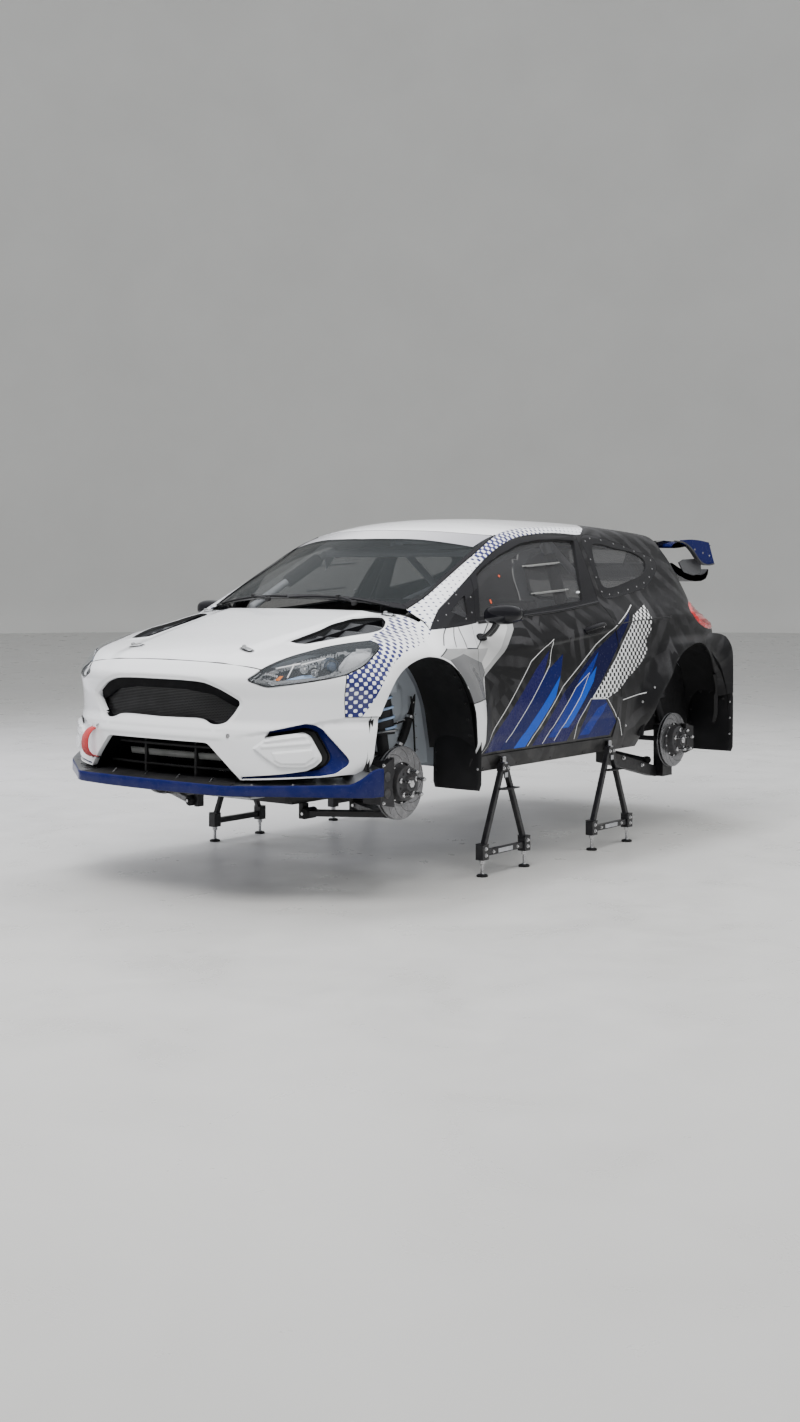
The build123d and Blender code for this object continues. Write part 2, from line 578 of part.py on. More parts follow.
# knuckle: bush at the lower ball, hub carrier, steering arm, brake caliper round the disc edge
def knuckle():
    carrier = rod((652, 0, HUB_Z), (712, 0, HUB_Z), 60)
    low = fuse(block(660, 706, -28, 28, 372, HUB_Z), rod((690, 0, 346), (690, 0, 398), 17))
    upper = rod(towards(KING_LOW, KING_TOP, 120), towards(KING_LOW, KING_TOP, 206), 32)
    steer = prism_z([(660, 30), (700, 30), (676, 160), (640, 160)], 470, 490)
    body = fuse(carrier, low, upper, steer)
    ca = prism_x([(-196, 400), (-196, 560), (-100, 600), (-100, 380)], 690, 790)
    ca = cut(ca, rod((DISC_X - DISC_T / 2 - 6, 0, HUB_Z), (DISC_X + DISC_T / 2 + 6, 0, HUB_Z), DISC_R_F + 8))
    ca = cut(ca, rod((DISC_X + DISC_T / 2 - 6, 0, HUB_Z), (900, 0, HUB_Z), 112))
    link = prism_x([(-120, 440), (-120, 510), (-30, 510), (-30, 440)], 690, 708)
    return fuse(body, ca, link)

def hub(disc_r, y, turn=0.0, stud_r=STUD_R):
    disc = rod((DISC_X - DISC_T / 2, y, HUB_Z), (DISC_X + DISC_T / 2, y, HUB_Z), disc_r)
    disc = cut(disc, rod((DISC_X - DISC_T / 2 - 1, y, HUB_Z), (DISC_X - 2, y, HUB_Z), 78))
    hat = rod((DISC_X, y, HUB_Z), (FLANGE_X, y, HUB_Z), 78)
    nose = rod((FLANGE_X, y, HUB_Z), (812, y, HUB_Z), 34)
    stub = rod((718, y, HUB_Z), (FLANGE_X, y, HUB_Z), 30)
    out = fuse(disc, hat, nose, stub)
    for k in range(5):
        a = math.radians(90 + turn + 72 * k)
        cy, cz = y + STUD_PCD / 2 * math.cos(a), HUB_Z + STUD_PCD / 2 * math.sin(a)
        out = fuse(out, rod((FLANGE_X, cy, cz), (STUD_TIP, cy, cz), stud_r))
    return out

kn = knuckle()
print("knuckle solids", len(kn.solids()))
add("knuckle_left", kn)
add("knuckle_right", mirrored(kn))
add("hub_front_left", hub(DISC_R_F, 0))
add("hub_front_right", mirrored(hub(DISC_R_F, 0, 36.0, STUD_R + 0.3)))
add("hub_rear_left", hub(DISC_R_R, WHEELBASE))
add("hub_rear_right", mirrored(hub(DISC_R_R, WHEELBASE, 36.0, STUD_R + 0.3)))

# rack and track rods: slide across with the steering; the eyes sit 20 above the steering arms,
# which rise 11 as they swing
RACK_Z = 532
rack = fuse(rod((-300, 146, RACK_Z), (300, 146, RACK_Z), 22), rod((300, 146, RACK_Z), (640, 146, RACK_Z), 11), rod((-300, 146, RACK_Z), (-640, 146, RACK_Z), 11),
            rod((655, 146, 510), (655, 146, 550), 18), rod((-655, 146, 510), (-655, 146, 550), 18))
add("steering_rack", rack)

# rear: trailing arm behind the sill carries a hub carrier
trail = prism_x([(1905, 392), (1905, 500), (1950, 500), (1965, 446), (2440, 330), (2640, 306), (2640, 258), (2440, 268)], 604, 660)
carr = fuse(rod((662, WHEELBASE, HUB_Z), (712, WHEELBASE, HUB_Z), 60), block(640, 700, WHEELBASE - 30, WHEELBASE + 60, 268, 554))
cal_r = prism_x([(WHEELBASE + 90, 395), (WHEELBASE + 90, 560), (WHEELBASE + 180, 540), (WHEELBASE + 180, 410)], 700, 780)
cal_r = cut(cal_r, rod((DISC_X - DISC_T / 2 - 6, WHEELBASE, HUB_Z), (DISC_X + DISC_T / 2 + 6, WHEELBASE, HUB_Z), DISC_R_R + 8))
cal_r = cut(cal_r, rod((DISC_X + DISC_T / 2 - 6, WHEELBASE, HUB_Z), (900, WHEELBASE, HUB_Z), 100))
lk = block(690, 704, WHEELBASE + 20, WHEELBASE + 120, 440, 510)
ta = fuse(trail, carr, lk, cal_r)
print("trailing arm solids", len(ta.solids()))
add("suspension_arms", both(arm) + both(ta))

# arch liners
def liner(arch, x0, x1):
    inner = grow(arch, 12)
    outer = grow(arch, 20)
    band = cut(prism_x(outer, x0, x1), prism_x(inner, x0 - 5, x1 + 5))
    band = cut(band, block(0, 1000, -3000, 6000, 0, 600))
    return band
wing_keep = half_skin(-330, 470, 0.2, 6.0, 12.0, proud=80)
side_keep = half_skin(1800, 2900, 0.0, 6.0, T_SIDE + 1, proud=80)
lf = cut(liner(ARCH_F, 610, 900), wing_keep, block(300, 1000, -900, -330, 0, 2000), NODES["front_bumper"][0])
lr = cut(liner(ARCH_R, 610, 900), side_keep)
add("arch_liners", both(sorted(lf.solids(), key=lambda q: -q.volume)[0]) + both(sorted(lr.solids(), key=lambda q: -q.volume)[0]))

flap_f = prism_y([(625, 408), (900, 408), (900, 585), (830, 598), (830, 830), (625, 830)], 424, 430)
flap_r = prism_y([(620, 385), (900, 388), (905, 720), (880, 760), (620, 760)], 2914, 2920)
add("mudflaps", both(flap_f) + both(flap_r))

add("skid_plate", block(-420, 420, -640, -100, 440, 448))
add("exhaust", fuse(rod((60, 320, 460), (60, 1900, 460), 30)))
strap = block(-462, -410, -774, -760, 584, 712)
add("tow_strap", strap)

# ---------------------------------------------------------------- stands
def stand(y):
    out = []
    for s in (1, -1):
        foot = (STAND_X, y + s * STAND_FOOT, 45)
        out.append(rod((STAND_X, y + s * 14, 500), (STAND_X, y + s * (STAND_FOOT - 8), 60), 14))
        out.append(block(STAND_X - 18, STAND_X + 18, y + s * STAND_FOOT - 16, y + s * STAND_FOOT + 16, 44, 110))
        out.append(rod((STAND_X, y + s * STAND_FOOT, 8), (STAND_X, y + s * STAND_FOOT, 60), 7))
        out.append(rod((STAND_X, y + s * STAND_FOOT, 0), (STAND_X, y + s * STAND_FOOT, 12), 22))
    out.append(block(STAND_X - 12, STAND_X + 12, y - STAND_FOOT, y + STAND_FOOT, 70, 100))
    out.append(block(STAND_X - 10, STAND_X + 10, y - 30, y + 30, 440, 540))
    out.append(rod((STAND_X + 16, y, 520), (STAND_X - 56, y, 520), 13))
    out.append(block(STAND_X - 14, STAND_X + 40, y - 40, y + 40, 392, 397))
    return fuse(*out)
stands = []
for y in STAND_Y:
    stands += both(stand(y))
add("stands", stands)

# ---------------------------------------------------------------- write
os.makedirs("parts", exist_ok=True)
for name, parts in NODES.items():
    moved = [p.moved(Location((0, -Y_MID, 0))) for p in parts]
    shape = moved[0] if len(moved) == 1 else Compound(children=moved)
    export_step(shape, "parts/%s.step" % name)
boxes = [p.bounding_box() for ps in NODES.values() for p in ps]
lo = [min(tuple(b.min)[i] for b in boxes) for i in range(3)]
hi = [max(tuple(b.max)[i] for b in boxes) for i in range(3)]
print("nodes", len(NODES), "box", [round(v, 1) for v in lo], [round(v, 1) for v in hi], "y centre", (lo[1] + hi[1]) / 2 - Y_MID)
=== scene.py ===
import bpy, json, math, random
import numpy as np
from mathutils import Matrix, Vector
from mathutils.geometry import delaunay_2d_cdt

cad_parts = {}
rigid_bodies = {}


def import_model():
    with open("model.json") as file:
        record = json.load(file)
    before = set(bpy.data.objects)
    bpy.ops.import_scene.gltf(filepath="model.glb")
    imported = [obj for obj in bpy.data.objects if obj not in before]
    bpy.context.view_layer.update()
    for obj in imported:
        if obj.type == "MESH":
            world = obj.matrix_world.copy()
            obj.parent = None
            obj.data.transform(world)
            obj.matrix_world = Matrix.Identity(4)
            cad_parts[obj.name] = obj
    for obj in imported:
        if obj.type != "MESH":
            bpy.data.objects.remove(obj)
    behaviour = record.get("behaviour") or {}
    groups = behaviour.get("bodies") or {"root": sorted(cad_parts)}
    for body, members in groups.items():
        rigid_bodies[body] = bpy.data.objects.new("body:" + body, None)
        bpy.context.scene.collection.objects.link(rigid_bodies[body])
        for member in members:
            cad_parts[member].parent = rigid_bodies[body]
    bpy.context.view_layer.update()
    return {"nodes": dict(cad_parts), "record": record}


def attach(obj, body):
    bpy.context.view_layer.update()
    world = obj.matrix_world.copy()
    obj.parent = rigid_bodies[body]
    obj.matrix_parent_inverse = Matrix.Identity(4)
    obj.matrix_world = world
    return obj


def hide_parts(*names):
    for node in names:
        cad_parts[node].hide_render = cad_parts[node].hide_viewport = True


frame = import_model()
REC = frame["record"]
Y0 = 1.2025          # the work below counts Y rearward from the front axle; meshes are written out moved by -Y0
random.seed(7)

# ------------------------------------------------------------------ smooth body fields

def pchip_slopes(X, Y):
    """Monotone slopes, last axis runs along the knots."""
    h = np.diff(X, axis=-1)
    d = np.diff(Y, axis=-1) / h
    m = np.zeros_like(Y)
    a, b = d[..., :-1], d[..., 1:]
    w1 = 2 * h[..., 1:] + h[..., :-1]
    w2 = h[..., 1:] + 2 * h[..., :-1]
    with np.errstate(divide="ignore", invalid="ignore"):
        hm = (w1 + w2) / (w1 / a + w2 / b)
    m[..., 1:-1] = np.where(a * b > 0, np.nan_to_num(hm), 0.0)
    m[..., 0] = d[..., 0]
    m[..., -1] = d[..., -1]
    return m

def hermite(X, Y, M, x):
    """X, Y, M: (n, k) or (k,); x: (n,)."""
    if X.ndim == 1:
        X = np.broadcast_to(X, (x.size, X.size)); Y = np.broadcast_to(Y, X.shape); M = np.broadcast_to(M, X.shape)
    k = X.shape[1]
    i = np.clip((X <= x[:, None]).sum(1) - 1, 0, k - 2)
    r = np.arange(x.size)
    x0, x1, y0, y1, m0, m1 = X[r, i], X[r, i + 1], Y[r, i], Y[r, i + 1], M[r, i], M[r, i + 1]
    h = x1 - x0
    t = (x - x0) / h
    tc = np.clip(t, 0, 1)
    v = (2*tc**3 - 3*tc**2 + 1) * y0 + (tc**3 - 2*tc**2 + tc) * h * m0 + (-2*tc**3 + 3*tc**2) * y1 + (tc**3 - tc**2) * h * m1
    v = v + np.where(t < 0, (x - x0) * m0, 0) + np.where(t > 1, (x - x1) * m1, 0)
    return v

class Curve:
    def __init__(s, *pts):
        a = np.array(pts, float)
        s.X, s.Y = a[:, 0], a[:, 1]
        s.M = pchip_slopes(s.X, s.Y)
    def __call__(s, x):
        x = np.asarray(x, float)
        return hermite(s.X, s.Y, s.M, x.ravel()).reshape(x.shape)

def smooth(t):
    t = np.clip(t, 0, 1)
    return t * t * (3 - 2 * t)

def smax(a, b, k):
    h = np.clip(0.5 + 0.5 * (a - b) / k, 0, 1)
    return b * (1 - h) + a * h + k * h * (1 - h)

# ---- side of the body: half width over z, at stations along y
#      z of: bottom, roll, sill top, low, widest, upper, under crease, crease, over crease, belt, glass, rail
SIDE = [
 # y     (z, x) ...
 (-0.45, (.46,.790),(.50,.815),(.56,.832),(.66,.850),(.80,.862),(.92,.850),(.99,.835),(1.03,.826),(1.07,.812),(1.12,.780),(1.30,.70),(1.60,.58)),
 (0.00,  (.46,.790),(.50,.818),(.56,.838),(.66,.856),(.80,.868),(.92,.864),(.985,.856),(1.03,.850),(1.07,.838),(1.12,.812),(1.30,.725),(1.60,.60)),
 (0.45,  (.455,.790),(.485,.822),(.56,.842),(.66,.852),(.79,.861),(.92,.855),(1.000,.848),(1.040,.846),(1.080,.832),(1.168,.786),(1.36,.706),(1.60,.602)),
 (0.90,  (.455,.790),(.485,.822),(.56,.842),(.66,.851),(.79,.860),(.93,.854),(1.020,.846),(1.060,.845),(1.100,.830),(1.200,.784),(1.38,.712),(1.61,.608)),
 (1.35,  (.455,.790),(.485,.822),(.56,.843),(.66,.852),(.79,.861),(.94,.856),(1.045,.849),(1.090,.848),(1.130,.833),(1.236,.782),(1.40,.716),(1.625,.612)),
 (1.80,  (.455,.790),(.485,.822),(.56,.846),(.66,.855),(.80,.864),(.96,.859),(1.085,.852),(1.136,.850),(1.175,.834),(1.272,.768),(1.42,.700),(1.62,.602)),
 (2.20,  (.455,.790),(.50,.820),(.56,.846),(.66,.856),(.80,.864),(.98,.858),(1.105,.850),(1.165,.846),(1.20,.826),(1.315,.742),(1.43,.690),(1.60,.600)),
 (2.60,  (.47,.780),(.52,.812),(.58,.838),(.66,.850),(.80,.858),(.98,.848),(1.11,.836),(1.175,.828),(1.21,.806),(1.330,.722),(1.43,.674),(1.58,.590)),
 (2.95,  (.47,.760),(.52,.790),(.58,.815),(.66,.830),(.80,.838),(.95,.822),(1.06,.800),(1.14,.780),(1.19,.750),(1.300,.680),(1.40,.640),(1.55,.560)),
 (3.20,  (.47,.700),(.52,.730),(.58,.760),(.66,.780),(.80,.785),(.95,.760),(1.06,.735),(1.13,.712),(1.19,.680),(1.300,.620),(1.40,.580),(1.55,.500)),
]
_sy = np.array([r[0] for r in SIDE])
_sz = np.array([[p[0] for p in r[1:]] for r in SIDE])
_sx = np.array([[p[1] for p in r[1:]] for r in SIDE])
_szm = pchip_slopes(_sy[None, :], _sz.T).T
_sxm = pchip_slopes(_sy[None, :], _sx.T).T

def _rows(y):
    n = y.size
    i = np.clip((_sy[None, :] <= y[:, None]).sum(1) - 1, 0, len(_sy) - 2)
    h = (_sy[i + 1] - _sy[i])[:, None]
    t = np.clip((y[:, None] - _sy[i][:, None]) / h, 0, 1)
    def f(V, M):
        return (2*t**3 - 3*t**2 + 1) * V[i] + (t**3 - 2*t**2 + t) * h * M[i] + (-2*t**3 + 3*t**2) * V[i+1] + (t**3 - t**2) * h * M[i+1]
    return f(_sz, _szm), f(_sx, _sxm)

ARCH_F = dict(c=(0.02, 0.640), r=0.402)
REAR_LIP = [(1.957,.538),(2.008,.687),(2.075,.765),(2.164,.845),(2.226,.915),(2.313,.975),(2.42,1.008),(2.52,1.022),(2.62,1.000),(2.690,.957),(2.76,.905),(2.829,.835),(2.870,.76),(2.888,.68),(2.895,.56)]

def seg_dist(P, poly):
    """Distance from points to an open polyline."""
    best = np.full(P.shape[0], 9.0)
    for a, b in zip(poly[:-1], poly[1:]):
        a, b = np.array(a), np.array(b)
        d = b - a
        t = np.clip(((P - a) @ d) / (d @ d), 0, 1)
        q = a + t[:, None] * d
        best = np.minimum(best, np.hypot(*(P - q).T))
    return best

def side_x(y, z):
    y = np.asarray(y, float); z = np.asarray(z, float)
    sh = y.shape
    y = y.ravel(); z = z.ravel()
    Z, X = _rows(y)
    x = hermite(Z, X, pchip_slopes(Z, X), z)
    # front flare round the arch
    d = np.hypot(y - ARCH_F["c"][0], z - ARCH_F["c"][1]) - ARCH_F["r"]
    f = smooth(1 - d / 0.17) * smooth((z - 0.52) / 0.12) * 0.046
    x = x + f
    # rear flare: flat topped
    lip = seg_dist(np.stack([y, z], 1), REAR_LIP[1:-1])
    g = smooth(1 - (lip - 0.0) / 0.15) * smooth((1.075 - z) / 0.06) * smooth((z - 0.50) / 0.10) * 0.052
    x = x + g
    return x.reshape(sh)

# ---- bonnet and wing tops
BON = Curve((-0.86,.985),(-0.80,1.005),(-0.744,1.035),(-0.60,1.086),(-0.35,1.146),(0,1.222),(0.096,1.243),(0.2,1.262),(0.5,1.30))
BON_B = Curve((-0.8,0.05),(-0.5,0.06),(-0.2,0.10),(0.0,0.24),(0.14,0.38),(0.4,0.45))
def bonnet_z(x, y):
    x = np.abs(x)
    s = np.maximum(x - 0.56, 0)
    soft = np.where(s < 0.12, s * s / 0.24, s - 0.06)
    z = BON(y) - 0.065 * x * x - BON_B(y) * soft
    # power creases running from the screen to the nose
    cr = 0.335 + 0.10 * smooth((y + 0.75) / 0.9)
    z = z - 0.010 * smooth((x - cr + 0.03) / 0.10)
    return z

# ---- front face
FRONT = Curve((.44,-.775),(.52,-.788),(.60,-.796),(.70,-.799),(.745,-.792),(.79,-.772),(.87,-.776),(.945,-.790),(.97,-.786),(1.0,-.766),(1.035,-.742),(1.09,-.70),(1.2,-.60))
PLAN = Curve((0,0),(.15,.003),(.281,.013),(.40,.034),(.50,.064),(.58,.102),(.65,.152),(.71,.212),(.76,.272),(.80,.330),(.84,.378),(.87,.415),(.895,.45),(.92,.51),(.95,.65))
def front_y(x, z):
    return FRONT(z) + PLAN(np.abs(x))

# ---- glasshouse top: windscreen and roof
TOP = Curve((-0.10,1.150),(.08,1.252),(.30,1.382),(.55,1.526),(.70,1.605),(.80,1.640),(.90,1.660),(1.05,1.680),(1.25,1.694),(1.6,1.702),(2.0,1.698),(2.3,1.684),(2.6,1.660),(2.75,1.644),(2.9,1.622))
def roof_z(x, y):
    x = np.abs(x)
    shift = 0.42 * x * x * (1 - 0.75 * smooth((y - 0.9) / 0.5))
    crown = 0.157 * x * x * smooth((y - 0.15) / 0.75)
    return TOP(y - shift) - crown

# ---- rear face
REAR = Curve((.45,3.185),(.52,3.222),(.62,3.234),(.74,3.235),(.82,3.226),(.86,3.204),(1.0,3.188),(1.12,3.158),(1.20,3.118),(1.25,3.088),(1.35,3.004),(1.45,2.918),(1.55,2.830),(1.63,2.762),(1.70,2.705))
PLAN_R_HI = Curve((0,0),(.2,.010),(.35,.042),(.45,.085),(.52,.132),(.58,.185),(.64,.25),(.70,.34),(.80,.55))
PLAN_R_LO = Curve((0,0),(.3,.012),(.45,.034),(.55,.066),(.62,.105),(.70,.175),(.76,.250),(.81,.335),(.85,.430),(.90,.60))
def rear_y(x, z):
    x = np.abs(x)
    w = smooth((np.asarray(z) - 1.08) / 0.16)
    return REAR(z) - (PLAN_R_LO(x) * (1 - w) + PLAN_R_HI(x) * w)

def F_body(P):
    """Bonnet, wings, bumpers, doors, quarter panels."""
    x, y, z = np.abs(P[:, 0]), P[:, 1], P[:, 2]
    s = (x - side_x(y, z))
    e = 1e-3
    gp = (PLAN(x + e) - PLAN(x - e)) / (2 * e)
    f = (front_y(x, z) - y) / np.sqrt(1 + gp * gp)
    t = (z - bonnet_z(x, y)) * 0.95
    rz = rear_y(x, z)
    gr = (rear_y(x + e, z) - rear_y(x - e, z)) / (2 * e)
    gz = (rear_y(x, z + e) - rear_y(x, z - e)) / (2 * e)
    r = (y - rz) / np.sqrt(1 + gr * gr + gz * gz)
    body = smax(s, f, 0.035)
    body = smax(body, r, 0.05)
    return body, t

def F_low(P):
    b, t = F_body(P)
    return smax(b, t, 0.055)

def F_nobonnet(P):
    return F_body(P)[0]

def F_high(P):
    b, t = F_body(P)
    x, y, z = np.abs(P[:, 0]), P[:, 1], P[:, 2]
    t2 = (z - roof_z(x, y)) * 0.87
    return smax(b, t2, 0.045)

def cast(F, O, D, t0, t1, n=48):
    """First crossing of F = 0 from O + t0 D (outside) towards t1 (inside)."""
    O = np.asarray(O, float)
    D = np.asarray(D, float)
    m = len(O)
    DD = D if D.ndim == 2 else np.broadcast_to(D, (m, 3))
    big = (t1 - t0) / 10.0
    small = (t1 - t0) / n
    t = np.full(m, float(t0))
    v = F(O + t[:, None] * DD)
    lo, hi, vl, vh = (np.full(m, np.nan) for _ in range(4))
    act = np.arange(m)
    for _ in range(140):
        if not len(act):
            break
        a = act
        step = np.where(v[a] > 0, np.clip(v[a] * 0.7, 0.0025, big), small)
        tn = t[a] + step
        vn = F(O[a] + tn[:, None] * DD[a])
        hit = (v[a] > 0) & (vn <= 0)
        h = a[hit]
        lo[h], hi[h], vl[h], vh[h] = t[h], tn[hit], v[h], vn[hit]
        t[a], v[a] = tn, vn
        act = a[~hit & (tn < t1)]
    ok = ~np.isnan(lo)
    k = np.where(ok)[0]
    a, b, fa, fb = lo[k], hi[k], vl[k], vh[k]
    for i in range(9):
        w = np.clip(fa / np.maximum(fa - fb, 1e-12), 0.06, 0.94) if i < 7 else 0.5
        c = a + (b - a) * w
        f = F(O[k] + c[:, None] * DD[k])
        p = f > 0
        a, fa = np.where(p, c, a), np.where(p, f, fa)
        b, fb = np.where(p, b, c), np.where(p, fb, f)
    out = np.full((m, 3), np.nan)
    w = fa / np.maximum(fa - fb, 1e-12)
    c = a + (b - a) * np.clip(w, 0, 1)
    out[k] = O[k] + c[:, None] * DD[k]
    return out


def F_all(P):
    """Everything: the lower body joined to the cabin."""
    b, t = F_body(P)
    x, y, z = np.abs(P[:, 0]), P[:, 1], P[:, 2]
    lo = smax(b, t, 0.055)
    hi = smax(b, (z - roof_z(x, y)) * 0.87, 0.045)
    return -smax(-lo, -hi, 0.02)

# ------------------------------------------------------------------ materials
MATS = {}


class Nodes:
    """Small helper to write node trees in a few words."""

    def __init__(self, name):
        self.m = bpy.data.materials.new(name)
        self.m.use_nodes = True
        self.t = self.m.node_tree
        self.n = self.t.nodes
        self.p = self.n["Principled BSDF"]
        self.out = self.n["Material Output"]
        MATS[name] = self.m

    def new(self, kind, **kw):
        n = self.n.new(kind)
        for k, v in kw.items():
            setattr(n, k, v)
        return n

    def link(self, a, b):
        self.t.links.new(a, b)

    def coords(self):
        return self.new("ShaderNodeTexCoord").outputs["Object"]

    def math(self, op, a, b=None, clamp=False):
        n = self.new("ShaderNodeMath", operation=op, use_clamp=clamp)
        for i, v in enumerate((a, b)):
            if v is None:
                continue
            if isinstance(v, (int, float)):
                n.inputs[i].default_value = v
            else:
                self.link(v, n.inputs[i])
        return n.outputs[0]

    def noise(self, scale, detail=3.0, rough=0.55, vec=None, dist=0.0):
        n = self.new("ShaderNodeTexNoise")
        n.inputs["Scale"].default_value = scale
        n.inputs["Detail"].default_value = detail
        n.inputs["Roughness"].default_value = rough
        n.inputs["Distortion"].default_value = dist
        self.link(vec or self.coords(), n.inputs["Vector"])
        return n.outputs["Fac"]

    def ramp(self, fac, lo, hi, a=0.0, b=1.0):
        n = self.new("ShaderNodeMapRange")
        n.inputs["From Min"].default_value = lo
        n.inputs["From Max"].default_value = hi
        n.inputs["To Min"].default_value = a
        n.inputs["To Max"].default_value = b
        self.link(fac, n.inputs["Value"])
        return n.outputs["Result"]

    def mix(self, fac, a, b):
        n = self.new("ShaderNodeMix", data_type="RGBA")
        if isinstance(fac, (int, float)):
            n.inputs["Factor"].default_value = fac
        else:
            self.link(fac, n.inputs["Factor"])
        for sock, v in ((n.inputs[6], a), (n.inputs[7], b)):
            if isinstance(v, (tuple, list)):
                sock.default_value = (*v[:3], 1.0)
            else:
                self.link(v, sock)
        return n.outputs[2]

    def mixf(self, fac, a, b):
        n = self.new("ShaderNodeMix", data_type="FLOAT")
        self.link(fac, n.inputs["Factor"])
        for sock, v in ((n.inputs[2], a), (n.inputs[3], b)):
            if isinstance(v, (int, float)):
                sock.default_value = v
            else:
                self.link(v, sock)
        return n.outputs[0]

    def bump(self, h, dist=0.001, strength=1.0):
        n = self.new("ShaderNodeBump")
        n.inputs["Strength"].default_value = strength
        n.inputs["Distance"].default_value = dist
        self.link(h, n.inputs["Height"])
        self.link(n.outputs["Normal"], self.p.inputs["Normal"])
        return n

    def base(self, v):
        if isinstance(v, (tuple, list)):
            self.p.inputs["Base Color"].default_value = (*v[:3], 1.0)
        else:
            self.link(v, self.p.inputs["Base Color"])

    def rough(self, v):
        if isinstance(v, (int, float)):
            self.p.inputs["Roughness"].default_value = v
        else:
            self.link(v, self.p.inputs["Roughness"])

    def set(self, **kw):
        for k, v in kw.items():
            self.p.inputs[k.replace("_", " ")].default_value = v


def xyz(n, vec):
    s = n.new("ShaderNodeSeparateXYZ")
    n.link(vec, s.inputs[0])
    return s.outputs


def paint(name, col, rough=0.22, coat=0.8, dirt=0.10, coat_rough=0.04, peel=0.00025):
    """Gloss or satin paint: slight dust towards the sills, orange peel, a clear coat."""
    n = Nodes(name)
    c = n.coords()
    big = n.noise(3.0, 4.0, vec=c)
    z = xyz(n, c)[2]
    low = n.ramp(z, 0.95, 0.42, 0.0, 1.0)
    dust = n.math("MULTIPLY", n.math("MULTIPLY", low, n.ramp(n.noise(14.0, 6.0, 0.65, vec=c), 0.38, 0.72)), dirt * 2.2, clamp=True)
    grey = tuple(0.55 * v + 0.16 for v in col)
    shade = n.mix(n.ramp(big, 0.3, 0.7), tuple(v * (1 - 0.25 * dirt) for v in col), col)
    n.base(n.mix(dust, shade, grey))
    n.rough(n.ramp(n.noise(60.0, 3.0, vec=c), 0.3, 0.7, max(rough - 0.03, 0.02), rough + 0.05))
    n.set(Coat_Weight=coat, Coat_Roughness=coat_rough)
    n.bump(n.noise(260.0, 2.0, vec=c), peel, 0.35)
    return n


def plastic(name, col, rough=0.5, grain=900.0, depth=0.0002, var=0.25):
    n = Nodes(name)
    c = n.coords()
    n.base(n.mix(n.ramp(n.noise(9.0, 5.0, vec=c), 0.3, 0.75), tuple(v * (1 - var) for v in col), tuple(min(v * (1 + var) + 0.002, 1) for v in col)))
    n.rough(n.ramp(n.noise(35.0, 4.0, vec=c), 0.25, 0.75, rough - 0.08, rough + 0.1))
    n.bump(n.noise(grain, 2.0, vec=c), depth, 0.5)
    return n


def metal(name, col, rough=0.3, metallic=1.0, brushed=None, rust=0.0, grime=0.4):
    n = Nodes(name)
    c = n.coords()
    g = n.ramp(n.noise(18.0, 6.0, 0.7, vec=c), 0.42, 0.75)
    base = n.mix(n.math("MULTIPLY", g, grime, clamp=True), col, tuple(v * 0.3 for v in col))
    if rust > 0:
        r = n.ramp(n.noise(40.0, 7.0, 0.75, vec=c), 0.55, 0.72, 0.0, rust)
        base = n.mix(r, base, (0.16, 0.075, 0.035))
    n.base(base)
    n.set(Metallic=metallic)
    n.rough(n.ramp(n.noise(55.0, 4.0, vec=c), 0.25, 0.75, max(rough - 0.1, 0.03), rough + 0.14))
    if brushed:
        mp = n.new("ShaderNodeMapping")
        mp.inputs["Scale"].default_value = brushed
        n.link(c, mp.inputs["Vector"])
        n.bump(n.noise(90.0, 3.0, vec=mp.outputs[0]), 0.0003, 0.4)
    else:
        n.bump(n.noise(420.0, 3.0, vec=c), 0.0003, 0.4)
    return n


def halftone(name, ground, dot, rough=0.2, coat=0.8):
    """Film print: rows of dots whose size comes from the mesh attribute 'film' (along, across, threshold)."""
    n = Nodes(name)
    a = n.new("ShaderNodeAttribute", attribute_name="film")
    u, v, t = xyz(n, a.outputs["Vector"])
    cu = n.math("COSINE", n.math("MULTIPLY", u, math.pi / 0.0200))
    cv = n.math("COSINE", n.math("MULTIPLY", v, math.pi / 0.0185))
    d = n.math("SUBTRACT", n.math("MULTIPLY", cu, cv), t)
    f = n.ramp(d, -0.05, 0.05, 1.0, 0.0)
    c = n.coords()
    n.base(n.mix(f, ground, dot))
    n.rough(n.ramp(n.noise(60.0, 3.0, vec=c), 0.3, 0.7, rough - 0.03, rough + 0.05))
    n.set(Coat_Weight=coat, Coat_Roughness=0.04)
    n.bump(n.noise(260.0, 2.0, vec=c), 0.00025, 0.35)
    return n


